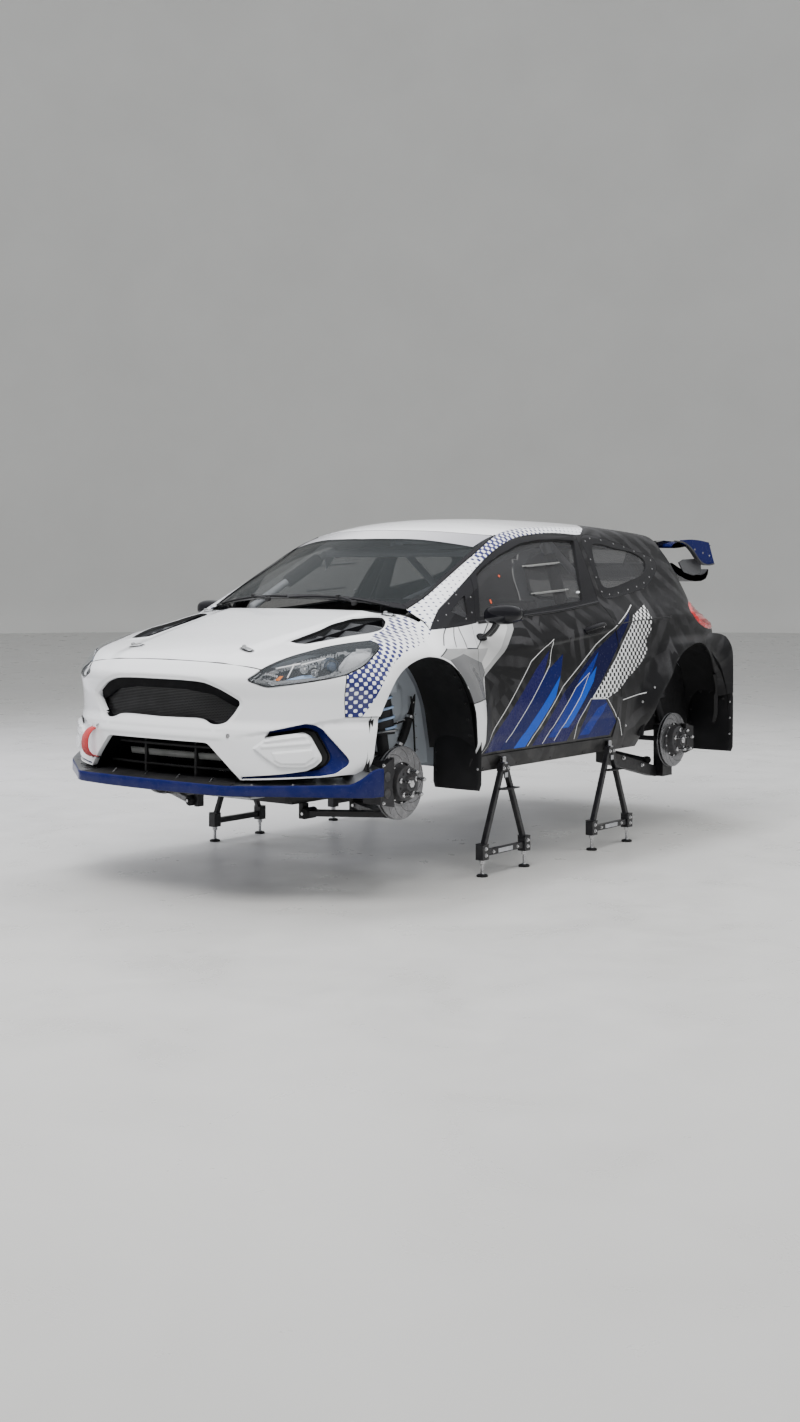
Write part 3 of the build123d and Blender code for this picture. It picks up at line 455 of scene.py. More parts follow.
def dazzle(name, dark, light, rough=0.30, coat=0.35, scale=3.4):
    """Satin black side film with generic tone-on-tone angular strokes."""
    n = Nodes(name)
    c = n.coords()
    cell = n.new("ShaderNodeTexVoronoi", voronoi_dimensions="3D", feature="F1")
    cell.inputs["Scale"].default_value = scale
    cell.inputs["Randomness"].default_value = 0.9
    n.link(c, cell.inputs["Vector"])
    sub = n.new("ShaderNodeVectorMath", operation="SUBTRACT")
    n.link(cell.outputs["Color"], sub.inputs[0])
    sub.inputs[1].default_value = (0.5, 0.5, 0.5)
    nm = n.new("ShaderNodeVectorMath", operation="NORMALIZE")
    n.link(sub.outputs[0], nm.inputs[0])
    dot = n.new("ShaderNodeVectorMath", operation="DOT_PRODUCT")
    n.link(nm.outputs[0], dot.inputs[0])
    n.link(c, dot.inputs[1])
    wob = n.math("MULTIPLY", n.noise(7.0, 2.0, vec=c), 0.035)
    s = n.math("SINE", n.math("MULTIPLY", n.math("ADD", dot.outputs["Value"], wob), 74.0))
    stripe = n.ramp(s, -0.05, 0.30)
    fade = n.ramp(n.noise(4.5, 3.0, vec=c), 0.36, 0.62)
    bristle = n.ramp(n.noise(130.0, 3.0, 0.7, vec=c), 0.25, 0.7, 0.55, 1.0)
    f = n.math("MULTIPLY", n.math("MULTIPLY", stripe, fade), bristle, clamp=True)
    z = xyz(n, c)[2]
    low = n.ramp(z, 0.75, 0.44, 0.0, 0.30)
    dust = n.math("MULTIPLY", low, n.ramp(n.noise(14.0, 6.0, 0.65, vec=c), 0.38, 0.72), clamp=True)
    n.base(n.mix(dust, n.mix(f, dark, light), (0.11, 0.105, 0.10)))
    n.rough(n.mixf(f, rough, rough + 0.12))
    n.set(Coat_Weight=coat, Coat_Roughness=0.12)
    n.bump(n.noise(300.0, 2.0, vec=c), 0.0002, 0.3)
    return n


def carbon(name, col=(0.02, 0.021, 0.023), light=(0.075, 0.078, 0.085), pitch=0.0042, coat=0.9, rough=0.32):
    """Twill weave under lacquer."""
    n = Nodes(name)
    c = n.coords()
    x, y, z = xyz(n, c)
    k = 1.0 / pitch
    u = n.math("FLOOR", n.math("MULTIPLY", n.math("ADD", x, n.math("MULTIPLY", z, 0.35)), k))
    v = n.math("FLOOR", n.math("MULTIPLY", n.math("ADD", y, n.math("MULTIPLY", z, 0.93)), k))
    m = n.math("MODULO", n.math("ADD", n.math("ADD", u, v), 4000.0), 4.0)
    w = n.math("LESS_THAN", m, 1.9)
    shade = n.ramp(n.noise(12.0, 3.0, vec=c), 0.3, 0.7, 0.6, 1.0)
    n.base(n.mix(n.math("MULTIPLY", w, shade), col, light))
    n.rough(n.mixf(w, rough, rough + 0.12))
    n.set(Coat_Weight=coat, Coat_Roughness=0.06)
    n.bump(w, 0.00012, 0.3)
    return n


def fabric(name, col, light, pitch=0.0016, rough=0.85, sheen=0.4, depth=0.0004):
    n = Nodes(name)
    c = n.coords()
    x, y, z = xyz(n, c)
    a = n.math("SINE", n.math("MULTIPLY", n.math("ADD", x, n.math("MULTIPLY", y, 0.6)), 2 * math.pi / pitch))
    b = n.math("SINE", n.math("MULTIPLY", n.math("ADD", z, n.math("MULTIPLY", y, -0.6)), 2 * math.pi / pitch))
    w = n.math("MULTIPLY", a, b)
    f = n.ramp(w, -0.6, 0.6)
    n.base(n.mix(n.ramp(n.noise(11.0, 4.0, vec=c), 0.3, 0.7, 0.0, 0.5), n.mix(f, col, light), tuple(v * 0.7 for v in col)))
    n.rough(rough)
    n.set(Sheen_Weight=sheen, Sheen_Roughness=0.5)
    n.bump(w, depth, 0.6)
    return n


def glass(name, tint, rough=0.02, alpha_like=None, ior=1.45):
    """Thin pane: tinted see-through body with a reflecting face."""
    n = Nodes(name)
    c = n.coords()
    n.base(tint)
    n.rough(n.ramp(n.noise(25.0, 4.0, vec=c), 0.3, 0.8, rough, rough + 0.04))
    n.set(IOR=ior, Transmission_Weight=1.0)
    if alpha_like is not None:
        n.set(Alpha=alpha_like)
    return n


def pane(name, tint, cover, rough):
    """Thin see-through sheet: cover is how much of the light it takes."""
    n = Nodes(name)
    c = n.coords()
    n.base(n.mix(n.ramp(n.noise(3.0, 4.0, vec=c), 0.35, 0.7), tint, tuple(v * 1.25 for v in tint)))
    n.rough(n.ramp(n.noise(25.0, 4.0, vec=c), 0.3, 0.8, rough, rough + 0.04))
    n.set(Alpha=cover, Coat_Weight=0.6, Coat_Roughness=0.02)
    return n


WHITE = (0.80, 0.815, 0.84)
NAVY = (0.004, 0.008, 0.080)
paint("white_gloss", WHITE, 0.20, 0.9, 0.05)
paint("roof_white", (0.79, 0.80, 0.82), 0.22, 0.8, 0.03)
halftone("film_navy", WHITE, (0.008, 0.012, 0.105))
halftone("film_white_on_black", (0.78, 0.79, 0.80), (0.014, 0.014, 0.016), 0.28, 0.3)
dazzle("side_black", (0.005, 0.005, 0.006), (0.043, 0.043, 0.046), 0.38, 0.10)
paint("navy_gloss", NAVY, 0.24, 0.35, 0.05)
paint("navy_deep", (0.003, 0.004, 0.038), 0.24, 0.6, 0.10)
paint("shard_violet", (0.010, 0.010, 0.080), 0.27, 0.5, 0.10)
paint("shard_blue", (0.004, 0.022, 0.210), 0.24, 0.5, 0.08)
paint("shard_bright", (0.005, 0.075, 0.480), 0.22, 0.6, 0.06)
paint("line_white", (0.70, 0.71, 0.72), 0.3, 0.3, 0.05)
paint("line_black", (0.015, 0.015, 0.018), 0.3, 0.3, 0.05)
paint("facet_dark", (0.135, 0.137, 0.145), 0.22, 0.8, 0.05)
paint("facet_mid", (0.36, 0.365, 0.37), 0.22, 0.8, 0.05)
paint("facet_light", (0.56, 0.565, 0.57), 0.22, 0.8, 0.05)
paint("gloss_black", (0.006, 0.006, 0.008), 0.10, 1.0, 0.04)
paint("satin_black", (0.017, 0.017, 0.019), 0.34, 0.2, 0.12)
paint("shell_grey", (0.40, 0.44, 0.49), 0.38, 0.25, 0.22)
paint("cage_paint", (0.55, 0.58, 0.62), 0.32, 0.3, 0.05)
plastic("black_plastic", (0.018, 0.018, 0.019), 0.52)
plastic("liner_black", (0.013, 0.013, 0.014), 0.55, 500.0, 0.0006)
plastic("flap_black", (0.009, 0.009, 0.010), 0.38, 350.0, 0.0004)
plastic("seal_rubber", (0.010, 0.010, 0.011), 0.6, 700.0, 0.0003)
plastic("grille_black", (0.0035, 0.0035, 0.0045), 0.48)
plastic("mesh_grey", (0.036, 0.036, 0.038), 0.36)
plastic("cabin_black", (0.016, 0.016, 0.018), 0.7, 600.0, 0.0007)
plastic("foam_black", (0.013, 0.013, 0.014), 0.8, 500.0, 0.0012)
plastic("yellow_tag", (0.62, 0.48, 0.02), 0.4)
plastic("orange_mark", (0.65, 0.09, 0.03), 0.5)
plastic("slat_grey", (0.20, 0.205, 0.20), 0.55)
carbon("carbon")
carbon("carbon_wing", (0.05, 0.052, 0.058), (0.13, 0.135, 0.145), 0.005, 0.6, 0.35)
metal("disc_steel", (0.26, 0.26, 0.27), 0.30, 1.0, None, 0.12, 0.5)
metal("cast_iron", (0.10, 0.10, 0.105), 0.5, 0.7, None, 0.25, 0.6)
metal("cast_dark", (0.035, 0.035, 0.038), 0.48, 0.5, None, 0.05, 0.5)
metal("bright_steel", (0.62, 0.62, 0.63), 0.22, 1.0, None, 0.0, 0.2)
metal("chrome", (0.82, 0.83, 0.85), 0.07, 1.0, None, 0.0, 0.05)
metal("splitter_top", (0.34, 0.345, 0.36), 0.34, 1.0, (30.0, 1.0, 1.0), 0.0, 0.15)
metal("alloy", (0.45, 0.46, 0.48), 0.34, 1.0, (1.0, 20.0, 1.0), 0.0, 0.35)
metal("black_steel", (0.022, 0.022, 0.024), 0.42, 0.35, None, 0.10, 0.3)
metal("exhaust_steel", (0.33, 0.31, 0.29), 0.4, 1.0, None, 0.15, 0.5)
metal("lamp_silver", (0.60, 0.61, 0.63), 0.16, 1.0, None, 0.0, 0.1)
fabric("red_webbing", (0.42, 0.012, 0.016), (0.62, 0.035, 0.04), 0.0026, 0.8, 0.3, 0.0008)
fabric("seat_fabric", (0.012, 0.012, 0.014), (0.030, 0.030, 0.034), 0.0024)
fabric("suede", (0.010, 0.010, 0.011), (0.020, 0.020, 0.022), 0.0011, 0.95, 0.7)
fabric("belt_webbing", (0.015, 0.015, 0.02), (0.04, 0.04, 0.05), 0.0022)
pane("screen_glass", (0.020, 0.024, 0.026), 0.34, 0.02)
pane("smoked_glass", (0.055, 0.056, 0.060), 0.42, 0.05)
pane("lamp_glass", (0.16, 0.18, 0.20), 0.09, 0.02)
plastic("red_lens", (0.50, 0.006, 0.010), 0.12, 60.0, 0.0004)
MATS["red_lens"].node_tree.nodes["Principled BSDF"].inputs["Coat Weight"].default_value = 1.0
plastic("red_lens_dark", (0.20, 0.004, 0.006), 0.15, 60.0, 0.0004)
plastic("amber_lens", (0.75, 0.20, 0.02), 0.2, 80.0, 0.0004)
plastic("lamp_blade", (0.80, 0.84, 0.90), 0.25, 80.0, 0.0002)
plastic("lamp_grey", (0.34, 0.35, 0.37), 0.3, 80.0, 0.0002)
plastic("lamp_blue", (0.30, 0.42, 0.62), 0.18, 80.0, 0.0002)
plastic("lamp_black", (0.010, 0.010, 0.012), 0.22, 80.0, 0.0002)


def sun_strip():
    """Bare grey sun strip, lighter in the middle."""
    n = Nodes("sun_strip")
    c = n.coords()
    x = n.math("ABSOLUTE", xyz(n, c)[0])
    f = n.ramp(x, 0.05, 0.55)
    n.base(n.mix(f, (0.56, 0.56, 0.58), (0.30, 0.30, 0.33)))
    n.rough(n.ramp(n.noise(60.0, 3.0, vec=c), 0.3, 0.7, 0.15, 0.25))
    n.set(Coat_Weight=0.6, Coat_Roughness=0.04)


sun_strip()
plastic("lamp_eye", (0.05, 0.075, 0.12), 0.06, 60.0, 0.0001)
MATS["lamp_eye"].node_tree.nodes["Principled BSDF"].inputs["Coat Weight"].default_value = 1.0
paint("stand_black", (0.009, 0.009, 0.011), 0.30, 0.25, 0.04)


def calm(names, level, coat=None):
    """Quieter reflections on the dark films and rubber."""
    for nm in names:
        for nd in MATS[nm].node_tree.nodes:
            if nd.type == "BSDF_PRINCIPLED":
                nd.inputs["Specular IOR Level"].default_value = level
                if coat is not None:
                    nd.inputs["Coat Weight"].default_value = coat


calm(("side_black", "film_white_on_black", "satin_black", "flap_black", "liner_black", "seal_rubber", "black_plastic", "cabin_black"), 0.22, 0.05)
calm(("navy_gloss", "navy_deep", "shard_violet", "shard_blue", "shard_bright"), 0.10, 0.06)
calm(("gloss_black",), 0.25, 0.12)
calm(("stand_black", "black_steel", "cast_dark"), 0.30, 0.10)
calm(("screen_glass", "smoked_glass"), 0.30, 0.20)
calm(("carbon", "carbon_wing", "mesh_grey"), 0.25, 0.25)
calm(("grille_black",), 0.04, 0.0)
calm(("lamp_glass",), 0.5, 0.35)

# ------------------------------------------------------------------ mesh tools
PIECES = {}


def grad(F, P, e=0.0008):
    """Unit outward normal of the field at points."""
    g = np.zeros_like(P)
    for k in range(3):
        d = np.zeros(3)
        d[k] = e
        g[:, k] = F(P + d) - F(P - d)
    return g / np.maximum(np.linalg.norm(g, axis=1, keepdims=True), 1e-9)


def make(name, verts, faces, mats, fmat=None, smooth=None, body="chassis", replaces=(), normals=None, film=None, bevel=0.0, seg=2, angle=35.0):
    """One object from plain lists, moved into the row frame and put on its body."""
    v = np.asarray(verts, float).reshape(-1, 3).copy()
    v[:, 1] -= Y0
    me = bpy.data.meshes.new(name)
    me.from_pydata(v.tolist(), [], [tuple(int(i) for i in f) for f in faces])
    for m in mats:
        me.materials.append(MATS[m])
    n = len(me.polygons)
    if fmat is not None:
        me.polygons.foreach_set("material_index", np.asarray(fmat, np.int32))
    if smooth is None:
        me.polygons.foreach_set("use_smooth", np.ones(n, bool))
    else:
        me.polygons.foreach_set("use_smooth", np.asarray(smooth, bool))
    me.validate(verbose=False)
    me.update()
    if film is not None:
        at = me.attributes.new("film", "FLOAT_VECTOR", "POINT")
        at.data.foreach_set("vector", np.asarray(film, np.float32).ravel())
    if normals is not None:
        me.normals_split_custom_set_from_vertices([tuple(float(c) for c in q) for q in normals])
    o = bpy.data.objects.new(name, me)
    bpy.context.scene.collection.objects.link(o)
    if bevel > 0:
        b = o.modifiers.new("edge", "BEVEL")
        b.width = bevel
        b.segments = seg
        b.limit_method = "ANGLE"
        b.angle_limit = math.radians(angle)
        b.use_clamp_overlap = True
        b.harden_normals = False
    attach(o, body)
    if replaces:
        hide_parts(*replaces)
    PIECES[name] = o
    return o


def unit(v):
    v = np.asarray(v, float)
    return v / max(np.linalg.norm(v), 1e-12)


def frame_of(d):
    """Two unit vectors square to d."""
    d = unit(d)
    a = np.array([0, 0, 1.0]) if abs(d[2]) < 0.9 else np.array([1.0, 0, 0])
    u = unit(np.cross(a, d))
    return u, np.cross(d, u)


def catmull(P, step=0.012, closed=False):
    """Smooth curve through points, about step apart."""
    P = np.asarray(P, float)
    n = len(P)
    if n < 3:
        L = np.linalg.norm(P[-1] - P[0])
        k = max(int(L / step), 1)
        return np.array([P[0] + (P[-1] - P[0]) * t for t in np.linspace(0, 1, k + 1)])
    out = []
    m = n if closed else n - 1
    for i in range(m):
        p1, p2 = P[i], P[(i + 1) % n]
        p0 = P[i - 1] if (closed or i > 0) else 2 * p1 - p2
        p3 = P[(i + 2) % n] if (closed or i + 2 < n) else 2 * p2 - p1
        t0 = 0.0
        t1 = t0 + max(np.linalg.norm(p1 - p0), 1e-6) ** 0.5
        t2 = t1 + max(np.linalg.norm(p2 - p1), 1e-6) ** 0.5
        t3 = t2 + max(np.linalg.norm(p3 - p2), 1e-6) ** 0.5
        k = max(int(np.ceil(np.linalg.norm(p2 - p1) / step)), 1)
        for j in range(k):
            t = t1 + (t2 - t1) * j / k
            A1 = (t1 - t) / (t1 - t0) * p0 + (t - t0) / (t1 - t0) * p1
            A2 = (t2 - t) / (t2 - t1) * p1 + (t - t1) / (t2 - t1) * p2
            A3 = (t3 - t) / (t3 - t2) * p2 + (t - t2) / (t3 - t2) * p3
            B1 = (t2 - t) / (t2 - t0) * A1 + (t - t0) / (t2 - t0) * A2
            B2 = (t3 - t) / (t3 - t1) * A2 + (t - t1) / (t3 - t1) * A3
            out.append((t2 - t) / (t2 - t1) * B1 + (t - t1) / (t2 - t1) * B2)
    if not closed:
        out.append(P[-1])
    return np.array(out)


def lines(P, step=0.012, closed=False):
    """Straight runs through points, about step apart."""
    P = np.asarray(P, float)
    if closed:
        P = np.vstack([P, P[:1]])
    out = []
    for a, b in zip(P[:-1], P[1:]):
        k = max(int(np.ceil(np.linalg.norm(b - a) / step)), 1)
        for j in range(k):
            out.append(a + (b - a) * j / k)
    if not closed:
        out.append(P[-1])
    return np.array(out)


def rounded(P, r, closed=True, n=4):
    """Polygon (2-D or 3-D points) with rounded corners."""
    P = np.asarray(P, float)
    N = len(P)
    out = []
    for i in range(N):
        if not closed and i in (0, N - 1):
            out.append(P[i])
            continue
        a, b, c = P[i - 1], P[i], P[(i + 1) % N]
        la, lc = np.linalg.norm(a - b), np.linalg.norm(c - b)
        q = min(r, la * 0.45, lc * 0.45)
        s, e = b + (a - b) / max(la, 1e-9) * q, b + (c - b) / max(lc, 1e-9) * q
        for t in np.linspace(0, 1, n + 1):
            out.append((1 - t) ** 2 * s + 2 * t * (1 - t) * b + t * t * e)
    return np.array(out)


def resample(P, n, closed=False):
    P = np.asarray(P, float)
    if closed:
        P = np.vstack([P, P[:1]])
    d = np.r_[0, np.cumsum(np.linalg.norm(np.diff(P, axis=0), axis=1))]
    t = np.linspace(0, d[-1], n + (1 if closed else 0))
    if closed:
        t = t[:-1]
    return np.stack([np.interp(t, d, P[:, k]) for k in range(P.shape[1])], 1)


def inside(poly, pts):
    """Even-odd test of 2-D points in a polygon."""
    x, y = pts[:, 0], pts[:, 1]
    r = np.zeros(len(pts), bool)
    px, py = poly[:, 0], poly[:, 1]
    j = len(poly) - 1
    for i in range(len(poly)):
        c = ((py[i] > y) != (py[j] > y))
        with np.errstate(divide="ignore", invalid="ignore"):
            xi = (px[j] - px[i]) * (y - py[i]) / (py[j] - py[i]) + px[i]
        r ^= c & (x < xi)
        j = i
    return r


def edge_dist(poly, pts, closed=True):
    """Distance of 2-D points to a polygon's outline."""
    a = poly
    b = np.roll(poly, -1, axis=0)
    if not closed:
        a, b = a[:-1], b[:-1]
    best = np.full(len(pts), 9.0)
    for p, q in zip(a, b):
        d = q - p
        L = d @ d
        if L < 1e-14:
            continue
        t = np.clip(((pts - p) @ d) / L, 0, 1)
        e = pts - (p + t[:, None] * d)
        best = np.minimum(best, np.hypot(e[:, 0], e[:, 1]))
    return best


class Flat:
    """Parameter plane square to a direction."""

    def __init__(s, D, ref):
        s.D = unit(D)
        s.u, s.v = frame_of(-s.D)
        w = np.asarray(ref) @ s.D
        s.t0, s.t1 = w.min() - 0.16, w.max() + 0.22

    def uv(s, P):
        P = np.asarray(P, float)
        return np.stack([P @ s.u, P @ s.v], 1)

    def onto(s, F, uv):
        O = uv[:, :1] * s.u + uv[:, 1:2] * s.v
        return cast(F, O, s.D, s.t0, s.t1, 56)


class Round:
    """Angle and height about a vertical axis at (0, yc)."""

    def __init__(s, yc, front=True, k=0.9, r0=1.5, r1=0.2):
        s.yc, s.s, s.k, s.r0, s.r1 = yc, (-1.0 if front else 1.0), k, r0, r1

    def uv(s, P):
        P = np.asarray(P, float)
        return np.stack([np.arctan2(P[:, 0], s.s * (P[:, 1] - s.yc)) * s.k, P[:, 2]], 1)

    def onto(s, F, uv):
        a = uv[:, 0] / s.k
        d = np.stack([np.sin(a), s.s * np.cos(a), np.zeros(len(a))], 1)
        O = np.stack([np.zeros(len(a)), np.full(len(a), s.yc), uv[:, 1]], 1)
        return cast(F, O + s.r0 * d, -d, 0.0, s.r0 - s.r1, 60)


def on_side(F, yz, x0=1.3):
    """Points of the left side under (y, z)."""
    yz = np.asarray(yz, float)
    O = np.stack([np.full(len(yz), x0), yz[:, 0], yz[:, 1]], 1)
    return cast(F, O, np.array([-1.0, 0, 0]), 0, 1.2)


def on_top(F, xy):
    xy = np.asarray(xy, float)
    O = np.stack([xy[:, 0], xy[:, 1], np.full(len(xy), 2.0)], 1)
    return cast(F, O, np.array([0, 0, -1.0]), 0, 1.3, 90)


def on_front(F, xz):
    xz = np.asarray(xz, float)
    O = np.stack([xz[:, 0], np.full(len(xz), -1.2), xz[:, 1]], 1)
    return cast(F, O, np.array([0, 1.0, 0]), 0, 1.3, 90)


def on_back(F, xz):
    xz = np.asarray(xz, float)
    O = np.stack([xz[:, 0], np.full(len(xz), 3.6), xz[:, 1]], 1)
    return cast(F, O, np.array([0, -1.0, 0]), 0, 1.3, 90)


def path(*runs, step=0.011):
    """Closed outline from smooth runs joined end to end; a run given as ('L', pts) has straight pieces."""
    out = []
    for r in runs:
        if isinstance(r, tuple) and isinstance(r[0], str):
            q = lines(r[1], step)
        else:
            q = catmull(r, step)
        if out and np.linalg.norm(out[-1] - q[0]) < 1e-4:
            q = q[1:]
        out += list(q)
    if np.linalg.norm(out[0] - out[-1]) < 1e-4:
        out = out[:-1]
    return np.array(out)


def shrink(uv, g):
    """Closed 2-D outline moved inwards by g (outwards if negative)."""
    if g == 0:
        return uv
    a = np.roll(uv, 1, axis=0)
    b = np.roll(uv, -1, axis=0)
    d1, d2 = uv - a, b - uv
    d1 = d1 / np.maximum(np.linalg.norm(d1, axis=1, keepdims=True), 1e-9)
    d2 = d2 / np.maximum(np.linalg.norm(d2, axis=1, keepdims=True), 1e-9)
    n1 = np.stack([-d1[:, 1], d1[:, 0]], 1)
    n2 = np.stack([-d2[:, 1], d2[:, 0]], 1)
    m = n1 + n2
    L = np.maximum((m * m).sum(1), 0.7)
    area = 0.5 * np.sum(uv[:, 0] * b[:, 1] - b[:, 0] * uv[:, 1])
    sgn = 1.0 if area > 0 else -1.0
    return uv + sgn * m * (2 * g / L)[:, None]


def thin_out(uv, tol):
    """Drops points nearer than tol to the one before."""
    keep = [0]
    for i in range(1, len(uv)):
        if np.linalg.norm(uv[i] - uv[keep[-1]]) > tol:
            keep.append(i)
    if len(keep) > 3 and np.linalg.norm(uv[keep[-1]] - uv[keep[0]]) < tol:
        keep.pop()
    return uv[keep]


def panel(name, F, proj, outline, holes=(), gap=0.0018, hole_gap=0.0, grid=0.017, fine=(), areas=(), mats=("white_gloss",), thick=0.009, inner="liner_black", roll=0.0009,
          body="chassis", replaces=(), disp=None, film=None, mirror=None, sink=0.0, both=False, cuts=(), flange=0.0, wall=None):
    """A panel of the smooth body. outline, holes, areas: 3-D points near the surface. areas: (material index, points)
    painted in order.
    disp(P) moves points out along the normal. film(P) gives the film attribute. both: not used; mirror="both" makes the
    mirrored right-hand piece in the same mesh."""
    loop = thin_out(shrink(proj.uv(outline), gap), 0.0022)
    hl = [thin_out(shrink(proj.uv(h), -hole_gap), 0.002) for h in holes]
    lo, hi = loop.min(0), loop.max(0)
    pts, edges = [], []

    def add(poly, closed=True):
        base = len(pts)
        pts.extend(poly.tolist())
        n = len(poly)
        for i in range(n if closed else n - 1):
            edges.append((base + i, base + (i + 1) % n))
    add(loop)
    for h in hl:
        add(h)
    regs = [(mi, proj.uv(a)) for mi, a in areas]
    lines_uv = [loop] + hl
    for _, r in regs:
        add(r)
        lines_uv.append(r)
    for c in cuts:
        q = proj.uv(c)
        add(q, False)
        lines_uv.append(q)
    xs = np.arange(lo[0], hi[0] + grid, grid)
    ys = np.arange(lo[1], hi[1] + grid, grid * 0.866)
    G = np.array([(x + (grid / 2 if j % 2 else 0), y) for j, y in enumerate(ys) for x in xs])
    G = G[inside(loop, G)]
    for poly, g in fine:
        q = proj.uv(poly)
        G = G[~inside(q, G)]
        l2, h2 = q.min(0), q.max(0)
        xs = np.arange(l2[0], h2[0] + g, g)
        ys = np.arange(l2[1], h2[1] + g, g * 0.866)
        H = np.array([(x + (g / 2 if j % 2 else 0), y) for j, y in enumerate(ys) for x in xs])
        H = H[inside(q, H) & inside(loop, H)]
        G = np.vstack([G, H])
    for h in hl:
        G = G[~inside(h, G)]
    near = np.full(len(G), 9.0)
    for q in lines_uv[:1 + len(hl)]:
        near = np.minimum(near, edge_dist(q, G))
    G = G[near > 0.0042]
    if len(lines_uv) > 1 + len(hl):
        near = np.full(len(G), 9.0)
        for q in lines_uv[1 + len(hl):]:
            near = np.minimum(near, edge_dist(q, G))
        G = G[near > 0.0022]
    pts.extend(G.tolist())
    vs, _, fs, _, _, _ = delaunay_2d_cdt([Vector(p) for p in pts], edges, [], 0, 2e-5)
    V = np.array([(v.x, v.y) for v in vs])
    T = np.array([f for f in fs if len(f) == 3])
    C = V[T].mean(1)
    e1, e2 = V[T[:, 1]] - V[T[:, 0]], V[T[:, 2]] - V[T[:, 0]]
    area2 = e1[:, 0] * e2[:, 1] - e1[:, 1] * e2[:, 0]
    ok = inside(loop, C) & (np.abs(area2) > 1e-10)
    for h in hl:
        ok &= ~inside(h, C)
    T, C, area2 = T[ok], C[ok], area2[ok]
    P = proj.onto(F, V)
    used = np.zeros(len(V), bool)
    used[T.ravel()] = True
    bad = used & np.isnan(P).any(1)
    if bad.any():
        good = np.where(used & ~np.isnan(P).any(1))[0]
        print("panel", name, "points off the body:", int(bad.sum()), "of", int(used.sum()))
        for i in np.where(bad)[0]:
            j = good[np.argmin(((V[good] - V[i]) ** 2).sum(1))]
            P[i] = P[j] + 0.0
    P = np.where(np.isnan(P), 0.0, P)
    remap = -np.ones(len(V), int)
    idx = np.where(used)[0]
    remap[idx] = np.arange(len(idx))
    P = P[idx]
    UV = V[idx]
    T = remap[T]
    N = grad(F, P)
    if sink:
        P = P - N * sink
    if disp is not None:
        h = disp(P)
        e = 0.0015
        t1 = np.cross(N, np.array([0, 0, 1.0]))
        t1 /= np.maximum(np.linalg.norm(t1, axis=1, keepdims=True), 1e-6)
        t2 = np.cross(N, t1)
        g1 = (disp(P + t1 * e) - disp(P - t1 * e)) / (2 * e)
        g2 = (disp(P + t2 * e) - disp(P - t2 * e)) / (2 * e)
        P = P + N * h[:, None]
        N = N - t1 * g1[:, None] - t2 * g2[:, None]
        N /= np.linalg.norm(N, axis=1, keepdims=True)
    # outward winding
    fn = np.cross(P[T[:, 1]] - P[T[:, 0]], P[T[:, 2]] - P[T[:, 0]])
    flip = (fn * N[T[:, 0]]).sum(1) < 0
    T[flip] = T[flip][:, ::-1]
    fm = np.zeros(len(T), int)
    for mi, r in regs:
        fm[inside(r, C)] = mi
    # boundary edges of the kept triangles
    cnt = {}
    for t in T:
        for i in range(3):
            a, b = int(t[i]), int(t[(i + 1) % 3])
            k = (a, b) if a < b else (b, a)
            if k in cnt:
                cnt[k] = None
            else:
                cnt[k] = (a, b)
    bd = [e for e in cnt.values() if e is not None]
    bv = sorted({a for e in bd for a in e})
    out_dir = {}
    for a, b in bd:
        d = P[b] - P[a]
        for q in (a, b):
            o = np.cross(d, N[q])
            out_dir[q] = out_dir.get(q, np.zeros(3)) + unit(o)
    n0 = len(P)
    ring1 = {q: n0 + i for i, q in enumerate(bv)}
    R1 = np.array([P[q] + unit(out_dir[q]) * roll * 0.7 - N[q] * roll for q in bv])
    M1 = np.array([unit(unit(out_dir[q]) * 0.85 + N[q] * 0.5) for q in bv])
    n1 = n0 + len(bv)
    ring2 = {q: n1 + i for i, q in enumerate(bv)}
    depth = max(thick, 0.002)
    R2 = np.array([P[q] + unit(out_dir[q]) * roll * 0.7 - N[q] * (depth + flange) for q in bv])
    M2 = np.array([unit(out_dir[q]) for q in bv])
    n2 = n1 + len(bv)
    VI = P - N * depth
    MI = -N
    allv = np.vstack([P, R1, R2, VI])
    alln = np.vstack([N, M1, M2, MI])
    faces = T.tolist()
    mi_in = len(mats)
    fmat = fm.tolist()
    edge_mat = {}
    for t, m in zip(T, fm):
        for i in range(3):
            edge_mat[(int(t[i]), int(t[(i + 1) % 3]))] = int(m)
    # painted shade: the gap walls take the inner material (dark by default) unless wall is "paint", so the shut lines
    # read dark
    for a, b in bd:
        m = edge_mat.get((a, b), 0)
        faces.append([b, a, ring1[a], ring1[b]])
        fmat.append(m)
        faces.append([ring1[b], ring1[a], ring2[a], ring2[b]])
        fmat.append(m if wall == "paint" else mi_in)
        faces.append([ring2[b], ring2[a], n2 + a, n2 + b])
        fmat.append(mi_in)
    faces += [[n2 + t[2], n2 + t[1], n2 + t[0]] for t in T.tolist()]
    fmat += [mi_in] * len(T)
    fl = None
    if film is not None:
        fl = film(allv)
    if mirror == "both":
        k = len(allv)
        mv = allv * np.array([-1, 1, 1.0])
        mn = alln * np.array([-1, 1, 1.0])
        faces = faces + [[k + i for i in reversed(f)] for f in faces]
        fmat = fmat + fmat
        allv, alln = np.vstack([allv, mv]), np.vstack([alln, mn])
        if fl is not None:
            fl = np.vstack([fl, fl])
    elif mirror == "right":
        allv = allv * np.array([-1, 1, 1.0])
        alln = alln * np.array([-1, 1, 1.0])
        faces = [list(reversed(f)) for f in faces]
    return make(name, allv, faces, list(mats) + [inner], fmat, None, body, replaces, alln, fl)


